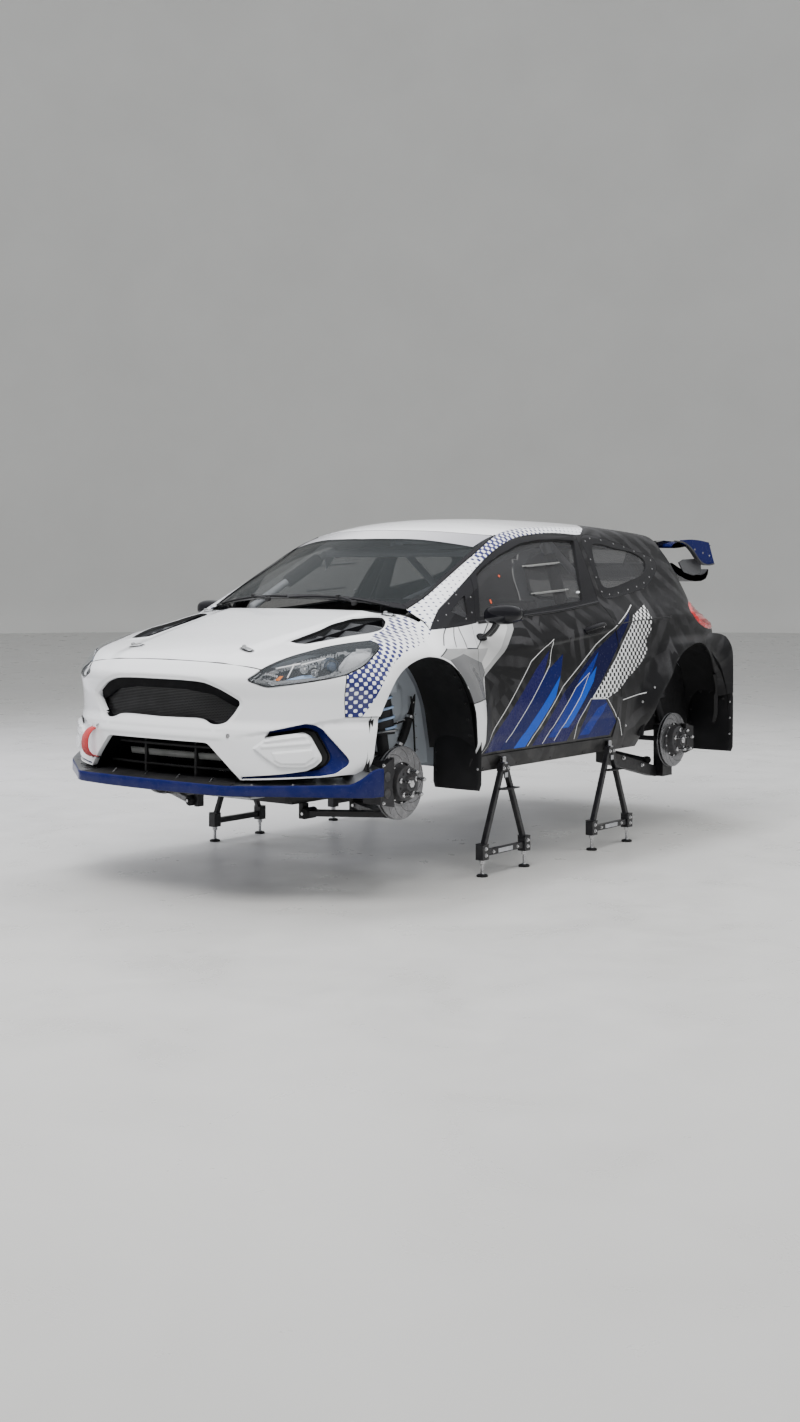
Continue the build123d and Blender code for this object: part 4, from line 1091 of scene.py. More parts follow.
class Kit:
    """Collects plain shapes into one mesh: boxes, rods, lathed and swept shapes."""

    def __init__(s):
        s.v, s.f, s.m, s.s, s.names = [], [], [], [], []

    def mi(s, mat):
        if mat not in s.names:
            s.names.append(mat)
        return s.names.index(mat)

    def add(s, V, Fc, mat, smooth=False):
        b = len(s.v)
        s.v.extend([tuple(map(float, p)) for p in V])
        k = s.mi(mat)
        for f in Fc:
            s.f.append([b + i for i in f])
            s.m.append(k)
            s.s.append(smooth)
        return b

    def box(s, lo, hi, mat, R=None, at=None):
        lo, hi = np.array(lo, float), np.array(hi, float)
        V = np.array([[x, y, z] for x in (lo[0], hi[0]) for y in (lo[1], hi[1]) for z in (lo[2], hi[2])])
        if R is not None:
            c = (lo + hi) / 2 if at is None else np.array(at)
            V = (V - c) @ np.array(R).T + c
        s.add(V, [(0, 1, 3, 2), (4, 6, 7, 5), (0, 4, 5, 1), (2, 3, 7, 6), (0, 2, 6, 4), (1, 5, 7, 3)], mat)

    def rod(s, p, q, r, mat, n=20, r2=None, caps=True):
        s.lathe(p, np.array(q, float) - np.array(p, float), [(r, 0.0), (r if r2 is None else r2, float(np.linalg.norm(np.array(q, float) - np.array(p, float))))], mat, n, caps)

    def lathe(s, o, d, prof, mat, n=32, caps=True, smooth=True, flat_from=None, phase=0.0):
        """Profile of (radius, distance along d) turned about d from o."""
        o = np.array(o, float)
        u, v = frame_of(d)
        w = unit(d)
        V, Fc = [], []
        for r, h in prof:
            for i in range(n):
                a = 2 * math.pi * i / n + phase
                V.append(o + w * h + (u * math.cos(a) + v * math.sin(a)) * r)
        for k in range(len(prof) - 1):
            for i in range(n):
                j = (i + 1) % n
                Fc.append((k * n + i, k * n + j, (k + 1) * n + j, (k + 1) * n + i))
        s.add(V, Fc, mat, smooth)
        if caps:
            for k, rev in ((0, True), (len(prof) - 1, False)):
                if prof[k][0] > 1e-6:
                    ring = [V[k * n + i] for i in range(n)]
                    c = list(range(n))
                    s.add(ring, [c[::-1] if rev else c], mat, False)

    def tube(s, pts, r, mat, n=12, closed=False, smooth_path=True, step=0.02, flat=None, caps=True):
        """Swept circle along points; flat=(half width, half thickness) is not used."""
        P = catmull(pts, step, closed) if smooth_path else np.asarray(pts, float)
        k = len(P)
        T = np.gradient(P, axis=0) if not closed else (np.roll(P, -1, 0) - np.roll(P, 1, 0))
        T /= np.maximum(np.linalg.norm(T, axis=1, keepdims=True), 1e-9)
        u, v = frame_of(T[0])
        V = []
        for i in range(k):
            u = u - T[i] * (u @ T[i])
            u = unit(u)
            v = np.cross(T[i], u)
            rr = r[i] if isinstance(r, (list, np.ndarray)) else r
            for j in range(n):
                a = 2 * math.pi * j / n
                V.append(P[i] + (u * math.cos(a) + v * math.sin(a)) * rr)
        Fc = []
        m = k if closed else k - 1
        for i in range(m):
            for j in range(n):
                a, b = i * n + j, i * n + (j + 1) % n
                c, d = ((i + 1) % k) * n + (j + 1) % n, ((i + 1) % k) * n + j
                Fc.append((a, b, c, d))
        s.add(V, Fc, mat, True)
        if not closed and caps:
            s.add(V[:n], [list(range(n))[::-1]], mat)
            s.add(V[-n:], [list(range(n))], mat)

    def prism(s, pts, ax, d0, d1, mat, smooth=False):
        """Outline in the plane square to axis ax (0 x, 1 y, 2 z), from d0 to d1 along it."""
        pts = [tuple(p) for p in pts]
        n = len(pts)

        def p3(p, d):
            return {0: (d, p[0], p[1]), 1: (p[0], d, p[1]), 2: (p[0], p[1], d)}[ax]
        V = [p3(p, d0) for p in pts] + [p3(p, d1) for p in pts]
        ar = sum(pts[i][0] * pts[(i + 1) % n][1] - pts[(i + 1) % n][0] * pts[i][1] for i in range(n))
        top = list(range(n, 2 * n))
        bot = list(range(n))[::-1]
        sides = [(i, (i + 1) % n, n + (i + 1) % n, n + i) for i in range(n)]
        flipit = (ar < 0) ^ (ax == 1) ^ (d1 < d0)
        Fc = [top, bot] + sides
        if flipit:
            Fc = [list(reversed(f)) for f in Fc]
        s.add(V, [Fc[0], Fc[1]], mat, False)
        s.add(V, Fc[2:], mat, smooth)

    def skin(s, rings, mat, smooth=True, closed=True, cap0=False, cap1=False):
        """Surface through rings of equal count."""
        n = len(rings[0])
        V = np.vstack(rings)
        Fc = []
        for k in range(len(rings) - 1):
            for i in range(n if closed else n - 1):
                j = (i + 1) % n
                Fc.append((k * n + i, k * n + j, (k + 1) * n + j, (k + 1) * n + i))
        s.add(V, Fc, mat, smooth)
        if cap0:
            s.add(rings[0], [list(range(n))[::-1]], mat)
        if cap1:
            s.add(rings[-1], [list(range(n))], mat)

    def bolt(s, p, d, r=0.008, h=0.006, mat="bright_steel", washer=True):
        p, d = np.array(p, float), unit(d)
        if washer:
            s.lathe(p, d, [(r * 1.35, 0), (r * 1.35, h * 0.25), (r * 1.2, h * 0.32)], mat, 20)
        s.lathe(p + d * h * 0.3, d, [(r, 0), (r, h * 0.8), (r * 0.85, h)], mat, 6, True, False)

    def rivet(s, p, d, r=0.007, h=0.004, mat="black_plastic"):
        s.lathe(p, d, [(r, 0), (r * 0.95, h * 0.45), (r * 0.7, h * 0.8), (r * 0.3, h), (0.0001, h)], mat, 14)

    def sphere(s, c, r, mat, n=18, sc=(1, 1, 1)):
        V, Fc = [], []
        rows = n // 2
        for i in range(rows + 1):
            a = math.pi * i / rows
            for j in range(n):
                b = 2 * math.pi * j / n
                V.append((c[0] + r * sc[0] * math.sin(a) * math.cos(b), c[1] + r * sc[1] * math.sin(a) * math.sin(b), c[2] + r * sc[2] * math.cos(a)))
        for i in range(rows):
            for j in range(n):
                k = (j + 1) % n
                Fc.append((i * n + j, (i + 1) * n + j, (i + 1) * n + k, i * n + k))
        s.add(V, Fc, mat, True)

    def mirrored(s):
        k = len(s.v)
        s.v += [(-x, y, z) for x, y, z in s.v]
        s.f += [[k + i for i in reversed(f)] for f in s.f]
        s.m += s.m[:]
        s.s += s.s[:]
        return s

    def flip(s):
        s.v = [(-x, y, z) for x, y, z in s.v]
        s.f = [list(reversed(f)) for f in s.f]
        return s

    def put(s, name, body="chassis", replaces=(), slot=None, bevel=0.0, seg=2, angle=35.0):
        return make(name, s.v, s.f, s.names, s.m, s.s, body, replaces, None, None, bevel, seg, angle)


def rotx(a):
    c, s_ = math.cos(a), math.sin(a)
    return np.array([[1, 0, 0], [0, c, -s_], [0, s_, c]])


def roty(a):
    c, s_ = math.cos(a), math.sin(a)
    return np.array([[c, 0, s_], [0, 1, 0], [-s_, 0, c]])


def rotz(a):
    c, s_ = math.cos(a), math.sin(a)
    return np.array([[c, -s_, 0], [s_, c, 0], [0, 0, 1]])


def mir(P):
    return np.asarray(P, float) * np.array([-1, 1, 1.0])


def rev(P):
    return np.asarray(P, float)[::-1]

# ------------------------------------------------------------------ outlines on the body, left side
LAMP = np.array([(0.489, -0.728, 0.963), (0.509, -0.707, 0.986), (0.525, -0.681, 1.007), (0.558, -0.632, 1.035), (0.590, -0.573, 1.059), (0.614, -0.504, 1.076),
                 (0.640, -0.406, 1.097), (0.682, -0.308, 1.112), (0.734, -0.212, 1.120), (0.774, -0.207, 1.113), (0.811, -0.231, 1.091), (0.834, -0.316, 1.048),
                 (0.832, -0.368, 1.016), (0.803, -0.446, 0.982), (0.773, -0.495, 0.970), (0.735, -0.548, 0.960), (0.679, -0.611, 0.947), (0.632, -0.652, 0.938),
                 (0.572, -0.692, 0.931), (0.522, -0.717, 0.945)])
BONLINE = np.array([(0.0, -0.720, 1.0355), (0.114, -0.720, 1.035), (0.246, -0.717, 1.032), (0.388, -0.702, 1.024), (0.454, -0.692, 1.017), (0.525, -0.681, 1.007)])
LAMP_TOP = catmull(LAMP[2:9], 0.011)
LAMP_REAR = catmull(LAMP[8:14], 0.011)
LAMP_LOW = catmull(LAMP[13:], 0.011)
LAMP_TIP = catmull(np.vstack([LAMP[19], LAMP[0], LAMP[1], LAMP[2]]), 0.008)
LAMP_LOOP = np.vstack([LAMP_TOP, LAMP_REAR[1:], LAMP_LOW[1:], LAMP_TIP[1:-1]])

BONSIDE = on_top(F_low, catmull([(.734, -.212), (.738, -.12), (.733, -.02), (.719, .09), (.700, .204)], 0.011))
BONREAR = on_top(F_low, [(x, .096 + .22 * x * x) for x in np.linspace(0.700, 0.0, 60)])
KPT = BONSIDE[-1]
ARCH_LOWF = [(-.366, .548), (-.362, .600), (-.351, .700), (-.330, .800)]
ARCH_TOPF = [(-.330, .800), (-.302, .850), (-.252, .925), (-.180, .985), (-.092, 1.024), (.027, 1.042), (.142, 1.018), (.228, .968), (.299, .886), (.348, .790),
             (.372, .694), (.393, .590)]
ARCH_A = on_side(F_all, catmull(ARCH_LOWF, 0.010))
ARCH_B = on_side(F_all, catmull(ARCH_TOPF, 0.010))
S0 = ARCH_B[0]
SEAM = np.vstack([catmull([S0, (0.838, -0.400, 0.800), (0.796, -0.447, 0.800)], 0.011), catmull([(0.796, -0.447, 0.800), (0.798, -0.452, 0.90), LAMP[13]], 0.011)[1:]])
T0 = np.array([0.778, 0.179, 1.156])
BELT_F = on_side(F_all, [(.179, 1.156), (.30, 1.161), (.42, 1.168), (.500, 1.176)])
DOOR_FRONT = on_side(F_all, lines([(.500, 1.176), (.474, 1.120), (.456, 1.010), (.455, .560)], 0.012))
DLO = np.array([(0.726, 0.314, 1.246), (0.699, 0.502, 1.338), (0.679, 0.628, 1.401), (0.662, 0.731, 1.453), (0.649, 0.837, 1.503), (0.635, 0.956, 1.548), (0.620, 1.102, 1.588),
                (0.614, 1.273, 1.609), (0.608, 1.474, 1.619), (0.605, 1.690, 1.612)])
SCREENSIDE = np.array([(0.606, 0.226, 1.248), (0.622, 0.349, 1.303), (0.617, 0.490, 1.374), (0.609, 0.650, 1.453), (0.601, 0.836, 1.541), (0.577, 0.985, 1.600)])
ROOFSIDE = on_top(F_high, catmull([(.577, .985), (.562, 1.15), (.556, 1.35), (.552, 1.6), (.546, 2.0), (.536, 2.3), (.508, 2.52), (.455, 2.66), (.400, 2.712)], 0.014))
HEADER = on_top(F_high, catmull([(.577, .985), (.462, .905), (.290, .822), (.150, .778), (0, .766)], 0.012))
GATE_TOP = on_top(F_high, catmull([(.400, 2.712), (.30, 2.728), (.15, 2.738), (0, 2.741)], 0.012))
GATE_SIDE = np.vstack([on_top(F_high, catmull([(.400, 2.712), (.452, 2.738), (.490, 2.775)], 0.012)), on_back(F_high, catmull([(.512, 1.490), (.545, 1.40), (.566, 1.25), (.592, 1.10), (.600, .850)], 0.012))])
DOOR_REAR = on_side(F_all, catmull([(1.655, 1.262), (1.682, 1.205), (1.696, 1.13), (1.713, 1.05), (1.731, .95), (1.728, .80), (1.702, .65), (1.665, .560)], 0.012))
BPOST = on_side(F_all, lines([(1.655, 1.262), (1.672, 1.44), (1.690, 1.610)], 0.012))
SILL_TOP = on_side(F_all, lines([(.455, .560), (1.665, .560)], 0.015))
LIP_R = catmull(REAR_LIP, 0.010)
ARCH_R1 = on_side(F_all, [p for p in LIP_R if p[0] < 2.829 or p[1] > .835])
ARCH_R2 = on_side(F_all, [p for p in LIP_R if not (p[0] < 2.829 or p[1] > .835)])
R0 = ARCH_R1[-1]
BUMP_R = np.vstack([on_side(F_all, lines([(R0[1], R0[2]), (2.93, .842)], 0.012)), on_back(F_all, catmull([(.815, .843), (.76, .845), (.68, .848), (.600, .850)], 0.012))])
QOUT = np.array([(0.609, 1.737, 1.600), (0.613, 2.091, 1.578), (0.635, 2.277, 1.531), (0.646, 2.423, 1.500), (0.658, 2.453, 1.474), (0.680, 2.428, 1.435), (0.712, 2.319, 1.372),
                 (0.735, 2.204, 1.328), (0.755, 1.996, 1.297), (0.768, 1.773, 1.276), (0.767, 1.715, 1.280), (0.732, 1.705, 1.351), (0.668, 1.722, 1.490)])
QIN = np.array([(0.630, 1.830, 1.561), (0.635, 2.078, 1.542), (0.643, 2.251, 1.518), (0.660, 2.322, 1.478), (0.688, 2.292, 1.429), (0.707, 2.189, 1.391), (0.721, 2.055, 1.367),
                (0.739, 1.800, 1.332), (0.733, 1.758, 1.350), (0.668, 1.780, 1.490)])
QOUT_L = catmull(QOUT, 0.012, True)
QIN_L = catmull(QIN, 0.012, True)

# film print: places and thresholds
FILM_AT = np.array([
    # x, y, z, threshold
    (.80, -.42, .82, .34), (.85, -.34, .86, .30), (.83, -.40, .93, .22), (.865, -.28, .95, .12), (.83, -.29, 1.03, .06), (.80, -.19, 1.10, -.05), (.72, -.10, 1.16, .02),
    (.69, .02, 1.19, .04), (.66, .12, 1.225, -.02), (.85, -.18, 1.04, -.14), (.79, -.05, 1.13, -.26), (.84, -.05, 1.08, -.45), (.76, .08, 1.175, -.50), (.82, .08, 1.12, -.74),
    (.74, .20, 1.21, -.74), (.69, .30, 1.29, -.74), (.68, .45, 1.34, -.80), (.66, .58, 1.41, -.84), (.65, .67, 1.45, -.88), (.63, .71, 1.47, -.45), (.63, .78, 1.50, .10), (.61, .88, 1.55, .18),
    (.61, 1.00, 1.59, .12), (.60, 1.14, 1.61, -.02), (.59, 1.30, 1.62, -.28), (.59, 1.48, 1.63, -.56), (.59, 1.70, 1.62, -.80)])
RAIL_Y = np.array([.10, .20, .30, .45, .58, .68, .80, .90, 1.02, 1.14, 1.30, 1.50, 1.90])
RAIL_Z = np.array([1.17, 1.215, 1.27, 1.34, 1.41, 1.455, 1.505, 1.55, 1.587, 1.608, 1.620, 1.625, 1.62])
RAIL_S = np.concatenate([[0], np.cumsum(np.hypot(np.diff(RAIL_Y), np.diff(RAIL_Z)))])


def film_front(P):
    P = np.array(P, float).copy()
    P[:, 0] = np.abs(P[:, 0])
    d = np.linalg.norm(P[:, None, :] - FILM_AT[None, :, :3], axis=2)
    w = 1.0 / (d + 0.012) ** 4
    T = (w * FILM_AT[:, 3]).sum(1) / w.sum(1)
    u = P[:, 1] + 0.25 * (P[:, 0] - 0.85)
    v = P[:, 2] + 0.12 * (0.86 - P[:, 0])
    k = P[:, 1] > 0.19
    y = P[k, 1]
    h = P[k, 2] - np.interp(y, RAIL_Y, RAIL_Z)
    slope = np.interp(y, (RAIL_Y[1:] + RAIL_Y[:-1]) / 2, np.diff(RAIL_Z) / np.diff(RAIL_Y))
    cb = 1 / np.sqrt(1 + slope ** 2)
    u[k] = np.interp(y, RAIL_Y, RAIL_S) + h * slope * cb
    v[k] = 0.58 * (h * cb + 0.9 * (0.62 - P[k, 0]))
    return np.stack([u, v, T], 1)


def film_side(P):
    """White dots on black: bigger towards the front edge, fading rearwards."""
    P = np.asarray(P, float)
    y, z = P[:, 1], P[:, 2]
    along = (y - 1.50) * 0.80 + (1.0 - z) * 0.60
    T = -0.22 + 0.95 * np.clip(along - 0.02, 0, 1)
    return np.stack([y, z * 0.92, -T * 0 + T], 1)


def stroke(pts, w=0.005, closed=False):
    """Thin polygon along a line in side view."""
    P = np.asarray(pts, float)
    d = np.gradient(P, axis=0)
    d /= np.maximum(np.linalg.norm(d, axis=1, keepdims=True), 1e-9)
    n = np.stack([-d[:, 1], d[:, 0]], 1)
    if len(P) > 2:
        for i in range(1, len(P) - 1):
            a, b = unit(P[i] - P[i - 1]), unit(P[i + 1] - P[i])
            m = unit(np.array([-a[1], a[0]]) + np.array([-b[1], b[0]]))
            k = 1.0 / max(m @ np.array([-a[1], a[0]]), 0.45)
            n[i] = m * k
        a, b = unit(P[1] - P[0]), unit(P[-1] - P[-2])
        n[0], n[-1] = (-a[1], a[0]), (-b[1], b[0])
    return np.vstack([P + n * w / 2, (P - n * w / 2)[::-1]])


def side3(yz, F=F_all, closed=True, step=0.03):
    P = lines(np.asarray(yz, float), step, closed)
    Q = on_side(F, P)
    return Q[~np.isnan(Q).any(1)]


SIDE_MATS = ["side_black", "white_gloss", "facet_light", "facet_mid", "facet_dark", "line_black", "shard_violet", "navy_gloss", "shard_blue", "shard_bright", "navy_deep",
             "line_white", "film_white_on_black", "gloss_black", "film_navy"]
SM = {n: i for i, n in enumerate(SIDE_MATS)}
LIVERY = []


def liv(mat, yz):
    LIVERY.append((SM[mat], side3(yz)))


liv("white_gloss", [(.30, .60), (.382, .643), (.444, .694), (.460, .825), (.492, .930), (.671, 1.038), (.807, 1.143), (.835, 1.205), (.50, 1.20), (.30, 1.19)])
liv("facet_light", [(.623, 1.175), (.458, 1.064), (.383, 1.067), (.179, 1.073), (.120, 1.046), (.166, 1.023), (.317, 1.045), (.483, .997), (.499, .963), (.484, .930), (.492, .930),
                    (.671, 1.038), (.807, 1.143), (.835, 1.205), (.640, 1.20)])
liv("facet_mid", [(.807, 1.143), (.671, 1.038), (.492, .930), (.484, .930), (.499, .963), (.540, .985), (.650, 1.060), (.760, 1.150), (.780, 1.205), (.835, 1.205)])
liv("facet_mid", [(.110, 1.040), (.179, 1.073), (.456, 1.061), (.545, 1.062), (.483, .997), (.317, 1.045), (.166, 1.020)])
liv("facet_dark", [(.166, 1.023), (.317, 1.045), (.483, .997), (.499, .963), (.484, .930), (.365, .868), (.328, .816), (.300, .890), (.240, .960)])
liv("facet_dark", [(.328, .816), (.365, .868), (.484, .930), (.470, .880), (.460, .828), (.435, .827)])
liv("side_black", [(.30, .545), (.39, .555), (.470, .545), (.462, .72), (.444, .694), (.382, .643), (.36, .60)])
for q in ([(.295, 1.165), (.174, 1.086)], [(.352, 1.163), (.282, 1.075)], [(.386, 1.165), (.380, 1.066)], [(.625, 1.175), (.459, 1.063), (.380, 1.066)], [(.184, 1.074), (.101, 1.040)],
          [(.325, .815), (.435, .829), (.462, .829)], [(.500, .955), (.470, .905)]):
    liv("line_black", stroke(q, 0.0055))
liv("shard_violet", [(.490, .572), (.640, .572), (1.000, .915), (1.075, 1.035), (.935, .945)])
liv("navy_gloss", [(.640, .572), (.800, .572), (1.150, .905), (1.190, 1.010), (1.000, .915)])
liv("shard_bright", [(.760, .572), (.860, .572), (1.100, .800), (1.150, .905)])
liv("shard_violet", [(.920, .572), (1.230, .572), (1.470, .800), (1.660, 1.090), (1.480, 1.010), (1.180, .820)])
liv("navy_deep", [(1.180, .820), (1.480, 1.010), (1.660, 1.090), (1.880, 1.205), (1.700, 1.020), (1.445, .775), (1.330, .700), (1.230, .720)])
liv("shard_blue", [(1.060, .600), (1.130, .600), (1.420, .880), (1.520, 1.010), (1.330, .880)])
liv("shard_bright", [(1.175, .640), (1.240, .640), (1.455, .860), (1.490, .935), (1.400, .870)])
liv("navy_gloss", [(1.330, .572), (1.640, .572), (1.700, .640), (1.560, .770), (1.445, .775)])
liv("shard_blue", [(1.350, .590), (1.440, .590), (1.560, .700), (1.590, .745), (1.500, .720)])
liv("film_white_on_black", [(2.075, 1.240), (1.905, 1.188), (1.750, 1.039), (1.684, .970), (1.440, .775), (1.575, .762), (1.700, .800), (1.800, .865), (1.880, .900), (1.965, .955), (2.005, .995),
                            (2.000, 1.055), (2.060, 1.105), (2.078, 1.170)])
for q in ([(.455, .566), (.900, .985), (1.110, 1.085), (1.060, .960), (.690, .608)],
          [(.880, .575), (1.170, .850), (1.500, 1.045), (1.945, 1.240)], [(1.010, .575), (1.290, .840), (1.420, .905), (1.330, .790), (1.115, .582)],
          [(1.430, .772), (1.330, .672), (1.300, .575)], [(1.430, .772), (1.590, .764), (1.725, .640), (1.760, .560)], [(1.745, .748), (1.960, .775)]):
    liv("line_white", stroke(q, 0.0042))


# ------------------------------------------------------------------ front wings
def pick(*names):
    return [LIVERY[i] for i in names]


def half_film(P):
    return film_front(P)


WFILM = np.vstack([catmull([LAMP[13], (0.798, -0.452, 0.90), (0.796, -0.447, 0.800)], 0.03), catmull([(0.842, -0.392, 0.800), (0.862, -0.345, 0.86), (0.870, -0.285, 0.94), (0.868, -0.21, 1.015),
                   (0.855, -0.10, 1.062), (0.845, .02, 1.095), (0.82, .12, 1.13), (0.778, .185, 1.15)], 0.03),
                   on_top(F_all, [(.735, .26), (.70, .24)]), BONSIDE[::-3], LAMP_REAR[::2]])
WING_OUT = np.vstack([SEAM, rev(LAMP_REAR)[1:-1], BONSIDE, lines([KPT, T0], 0.012)[1:-1], BELT_F, DOOR_FRONT[1:-1], [ARCH_B[-1] + np.array([0, .062, -.030])], rev(ARCH_B)[:-1]])
WPROJ = Flat((-.75, .25, -.61), WING_OUT)
wing = panel("front_wings", F_all, WPROJ, WING_OUT, grid=0.016, mats=["white_gloss"] + SIDE_MATS[1:], areas=[(SM["film_navy"], WFILM)] + [(m, a) for m, a in LIVERY[1:] if a[:, 1].min() < .46],
             film=half_film, mirror="both", replaces=("front_wings",), thick=0.004, flange=0.004)

# ------------------------------------------------------------------ bonnet
VENT = np.array([(0.438, -0.404, 1.112), (0.442, -0.339, 1.126), (0.447, -0.203, 1.157), (0.438, -0.115, 1.179), (0.460, 0.012, 1.204), (0.518, 0.068, 1.210), (0.578, 0.085, 1.211),
                 (0.630, 0.045, 1.190), (0.665, -0.012, 1.170), (0.685, -0.066, 1.155), (0.680, -0.141, 1.144), (0.639, -0.231, 1.133), (0.590, -0.340, 1.113), (0.551, -0.412, 1.101),
                 (0.501, -0.421, 1.104)])
VENT_XY = rounded(VENT[:, :2], 0.02)
VENT_L = on_top(F_low, lines(VENT_XY, 0.010, True))
half_b = np.vstack([catmull(BONLINE, 0.011), LAMP_TOP[1:], BONSIDE[1:], BONREAR[1:]])
BON_OUT = np.vstack([half_b, mir(half_b)[-2:0:-1]])
BFILM = np.vstack([on_top(F_low, lines([(.700, -.150), (.690, -.06), (.668, .0), (.632, .060), (.600, .100), (.640, .185), (.700, .204)], 0.03)), BONSIDE[::-3]])
BPROJ = Flat((0, 0, -1), BON_OUT)


def bonnet_disp(P):
    """Raised rib round the vents."""
    xy = np.stack([np.abs(P[:, 0]), P[:, 1]], 1)
    d = edge_dist(VENT_XY, xy)
    return 0.0035 * smooth(1 - d / 0.030)


bonnet = panel("bonnet", F_low, BPROJ, BON_OUT, holes=[VENT_L, mir(VENT_L)[::-1]], grid=0.018, mats=["white_gloss", "film_navy"], areas=[(1, BFILM), (1, mir(BFILM)[::-1])],
               film=half_film, disp=bonnet_disp, body="bonnet", replaces=("bonnet",), thick=0.012, flange=0.004)

# ------------------------------------------------------------------ front bumper
GR = np.array([(0.0, -0.789, 0.957), (0.146, -0.786, 0.956), (0.241, -0.781, 0.951), (0.284, -0.777, 0.945), (0.356, -0.762, 0.918), (0.441, -0.731, 0.872), (0.444, -0.730, 0.856),
               (0.415, -0.735, 0.816), (0.379, -0.745, 0.780), (0.340, -0.756, 0.770), (0.301, -0.760, 0.772), (0.262, -0.761, 0.786), (0.213, -0.765, 0.789), (0.0, -0.772, 0.787)])
GR_H = rounded(GR[:, [0, 2]], 0.018, False)
GR_XZ = np.vstack([GR_H, (GR_H * np.array([-1, 1]))[-2:0:-1]])
GR_L = on_front(F_low, lines(GR_XZ, 0.009, True))
INT_H = rounded(np.array([(0.0, .689), (0.304, .688), (0.391, .606), (0.459, .536)]), 0.02, False)
BUMPLOW = catmull([(0.459, -0.740, 0.535), (0.633, -0.652, 0.543), (0.764, -0.515, 0.550), (0.818, -0.438, 0.556), (0.853, -0.380, 0.552)], 0.010)
INT_L = on_front(F_low, lines(INT_H, 0.010))
half_f = np.vstack([INT_L[:-1], BUMPLOW[:-1], ARCH_A, SEAM[1:], LAMP_LOW[1:], LAMP_TIP[1:], rev(catmull(BONLINE, 0.011))[1:]])
BUM_OUT = np.vstack([half_f, mir(half_f)[-2:0:-1]])
FOG_OUT = np.array([(0.580, -0.690, 0.748), (0.646, -0.633, 0.766), (0.692, -0.582, 0.779), (0.722, -0.553, 0.771), (0.746, -0.535, 0.754), (0.791, -0.482, 0.676), (0.815, -0.449, 0.630),
                    (0.819, -0.443, 0.614), (0.814, -0.448, 0.597), (0.781, -0.491, 0.562), (0.740, -0.545, 0.5535), (0.603, -0.675, 0.5475), (0.462, -0.740, 0.540)])
FOG_IN = np.array([(0.564, -0.705, 0.722), (0.695, -0.597, 0.744), (0.714, -0.579, 0.729), (0.746, -0.544, 0.640), (0.746, -0.543, 0.622), (0.729, -0.562, 0.598), (0.703, -0.589, 0.580),
                   (0.634, -0.654, 0.568), (0.462, -0.740, 0.552)])
FOG_NAVY = np.array([(0.574, -0.697, 0.742), (0.646, -0.633, 0.7635), (0.690, -0.585, 0.7755), (0.716, -0.559, 0.768), (0.736, -0.547, 0.750), (0.777, -0.501, 0.640), (0.777, -0.501, 0.620),
                     (0.766, -0.513, 0.598), (0.742, -0.543, 0.577), (0.703, -0.588, 0.570), (0.620, -0.664, 0.562), (0.462, -0.740, 0.549)])
NF = 96
FO, FI, FN = (resample(rounded(a, 0.010, False), NF) for a in (FOG_OUT, FOG_IN, FOG_NAVY))
FOG_HOLE = np.vstack([FO, rev(FI)])
LIP_XZ = np.array([(.511, .673), (.564, .716), (.695, .738), (.712, .727), (.742, .640), (.742, .622), (.726, .602), (.700, .588), (.618, .590), (.600, .600)])
RIDGE1 = np.array([(.571, .706), (.700, .728)])
RIDGE2 = np.array([(.560, .682), (.712, .697)])
PAD2 = np.array([(.590, .662), (.722, .676), (.728, .634), (.700, .606), (.625, .606), (.600, .622)])


def bumper_disp(P):
    """Shoulder crease, raised fog cover with two ribs and a pad, lip round the grille, chin."""
    x = np.abs(P[:, 0])
    q = np.stack([x, P[:, 2]], 1)
    z = P[:, 2]
    h = np.zeros(len(P))
    # crease above the fog cover, running out to the arch
    cz = np.interp(x, [.40, .462, .589, .697, .796, .88], [.728, .732, .754, .781, .800, .803])
    amp = 0.009 * smooth((x - .40) / .14)
    h -= amp * smooth((cz - z) / 0.016) * smooth(1 - (cz - z) / 0.20)
    # fog cover
    ins = inside(LIP_XZ, q)
    d = edge_dist(LIP_XZ, q)
    h += np.where(ins, 0.013 * smooth(d / 0.012), 0.0)
    in2 = inside(PAD2, q)
    d2 = edge_dist(PAD2, q)
    h += np.where(in2, 0.006 * smooth(d2 / 0.010), 0.0)
    for r in (RIDGE1, RIDGE2):
        dr = edge_dist(r, q, False)
        h += 0.0048 * smooth(1 - dr / 0.013)
    # rolled lip round the grille opening
    dg = edge_dist(GR_XZ * np.array([1.0, 1.0]), np.stack([P[:, 0], z], 1))
    h -= 0.008 * smooth(1 - dg / 0.020)
    # step over the lower intake
    h += 0.006 * smooth((z - .700) / .02) * smooth((.742 - z) / .03) * smooth((.42 - x) / .08)
    return h


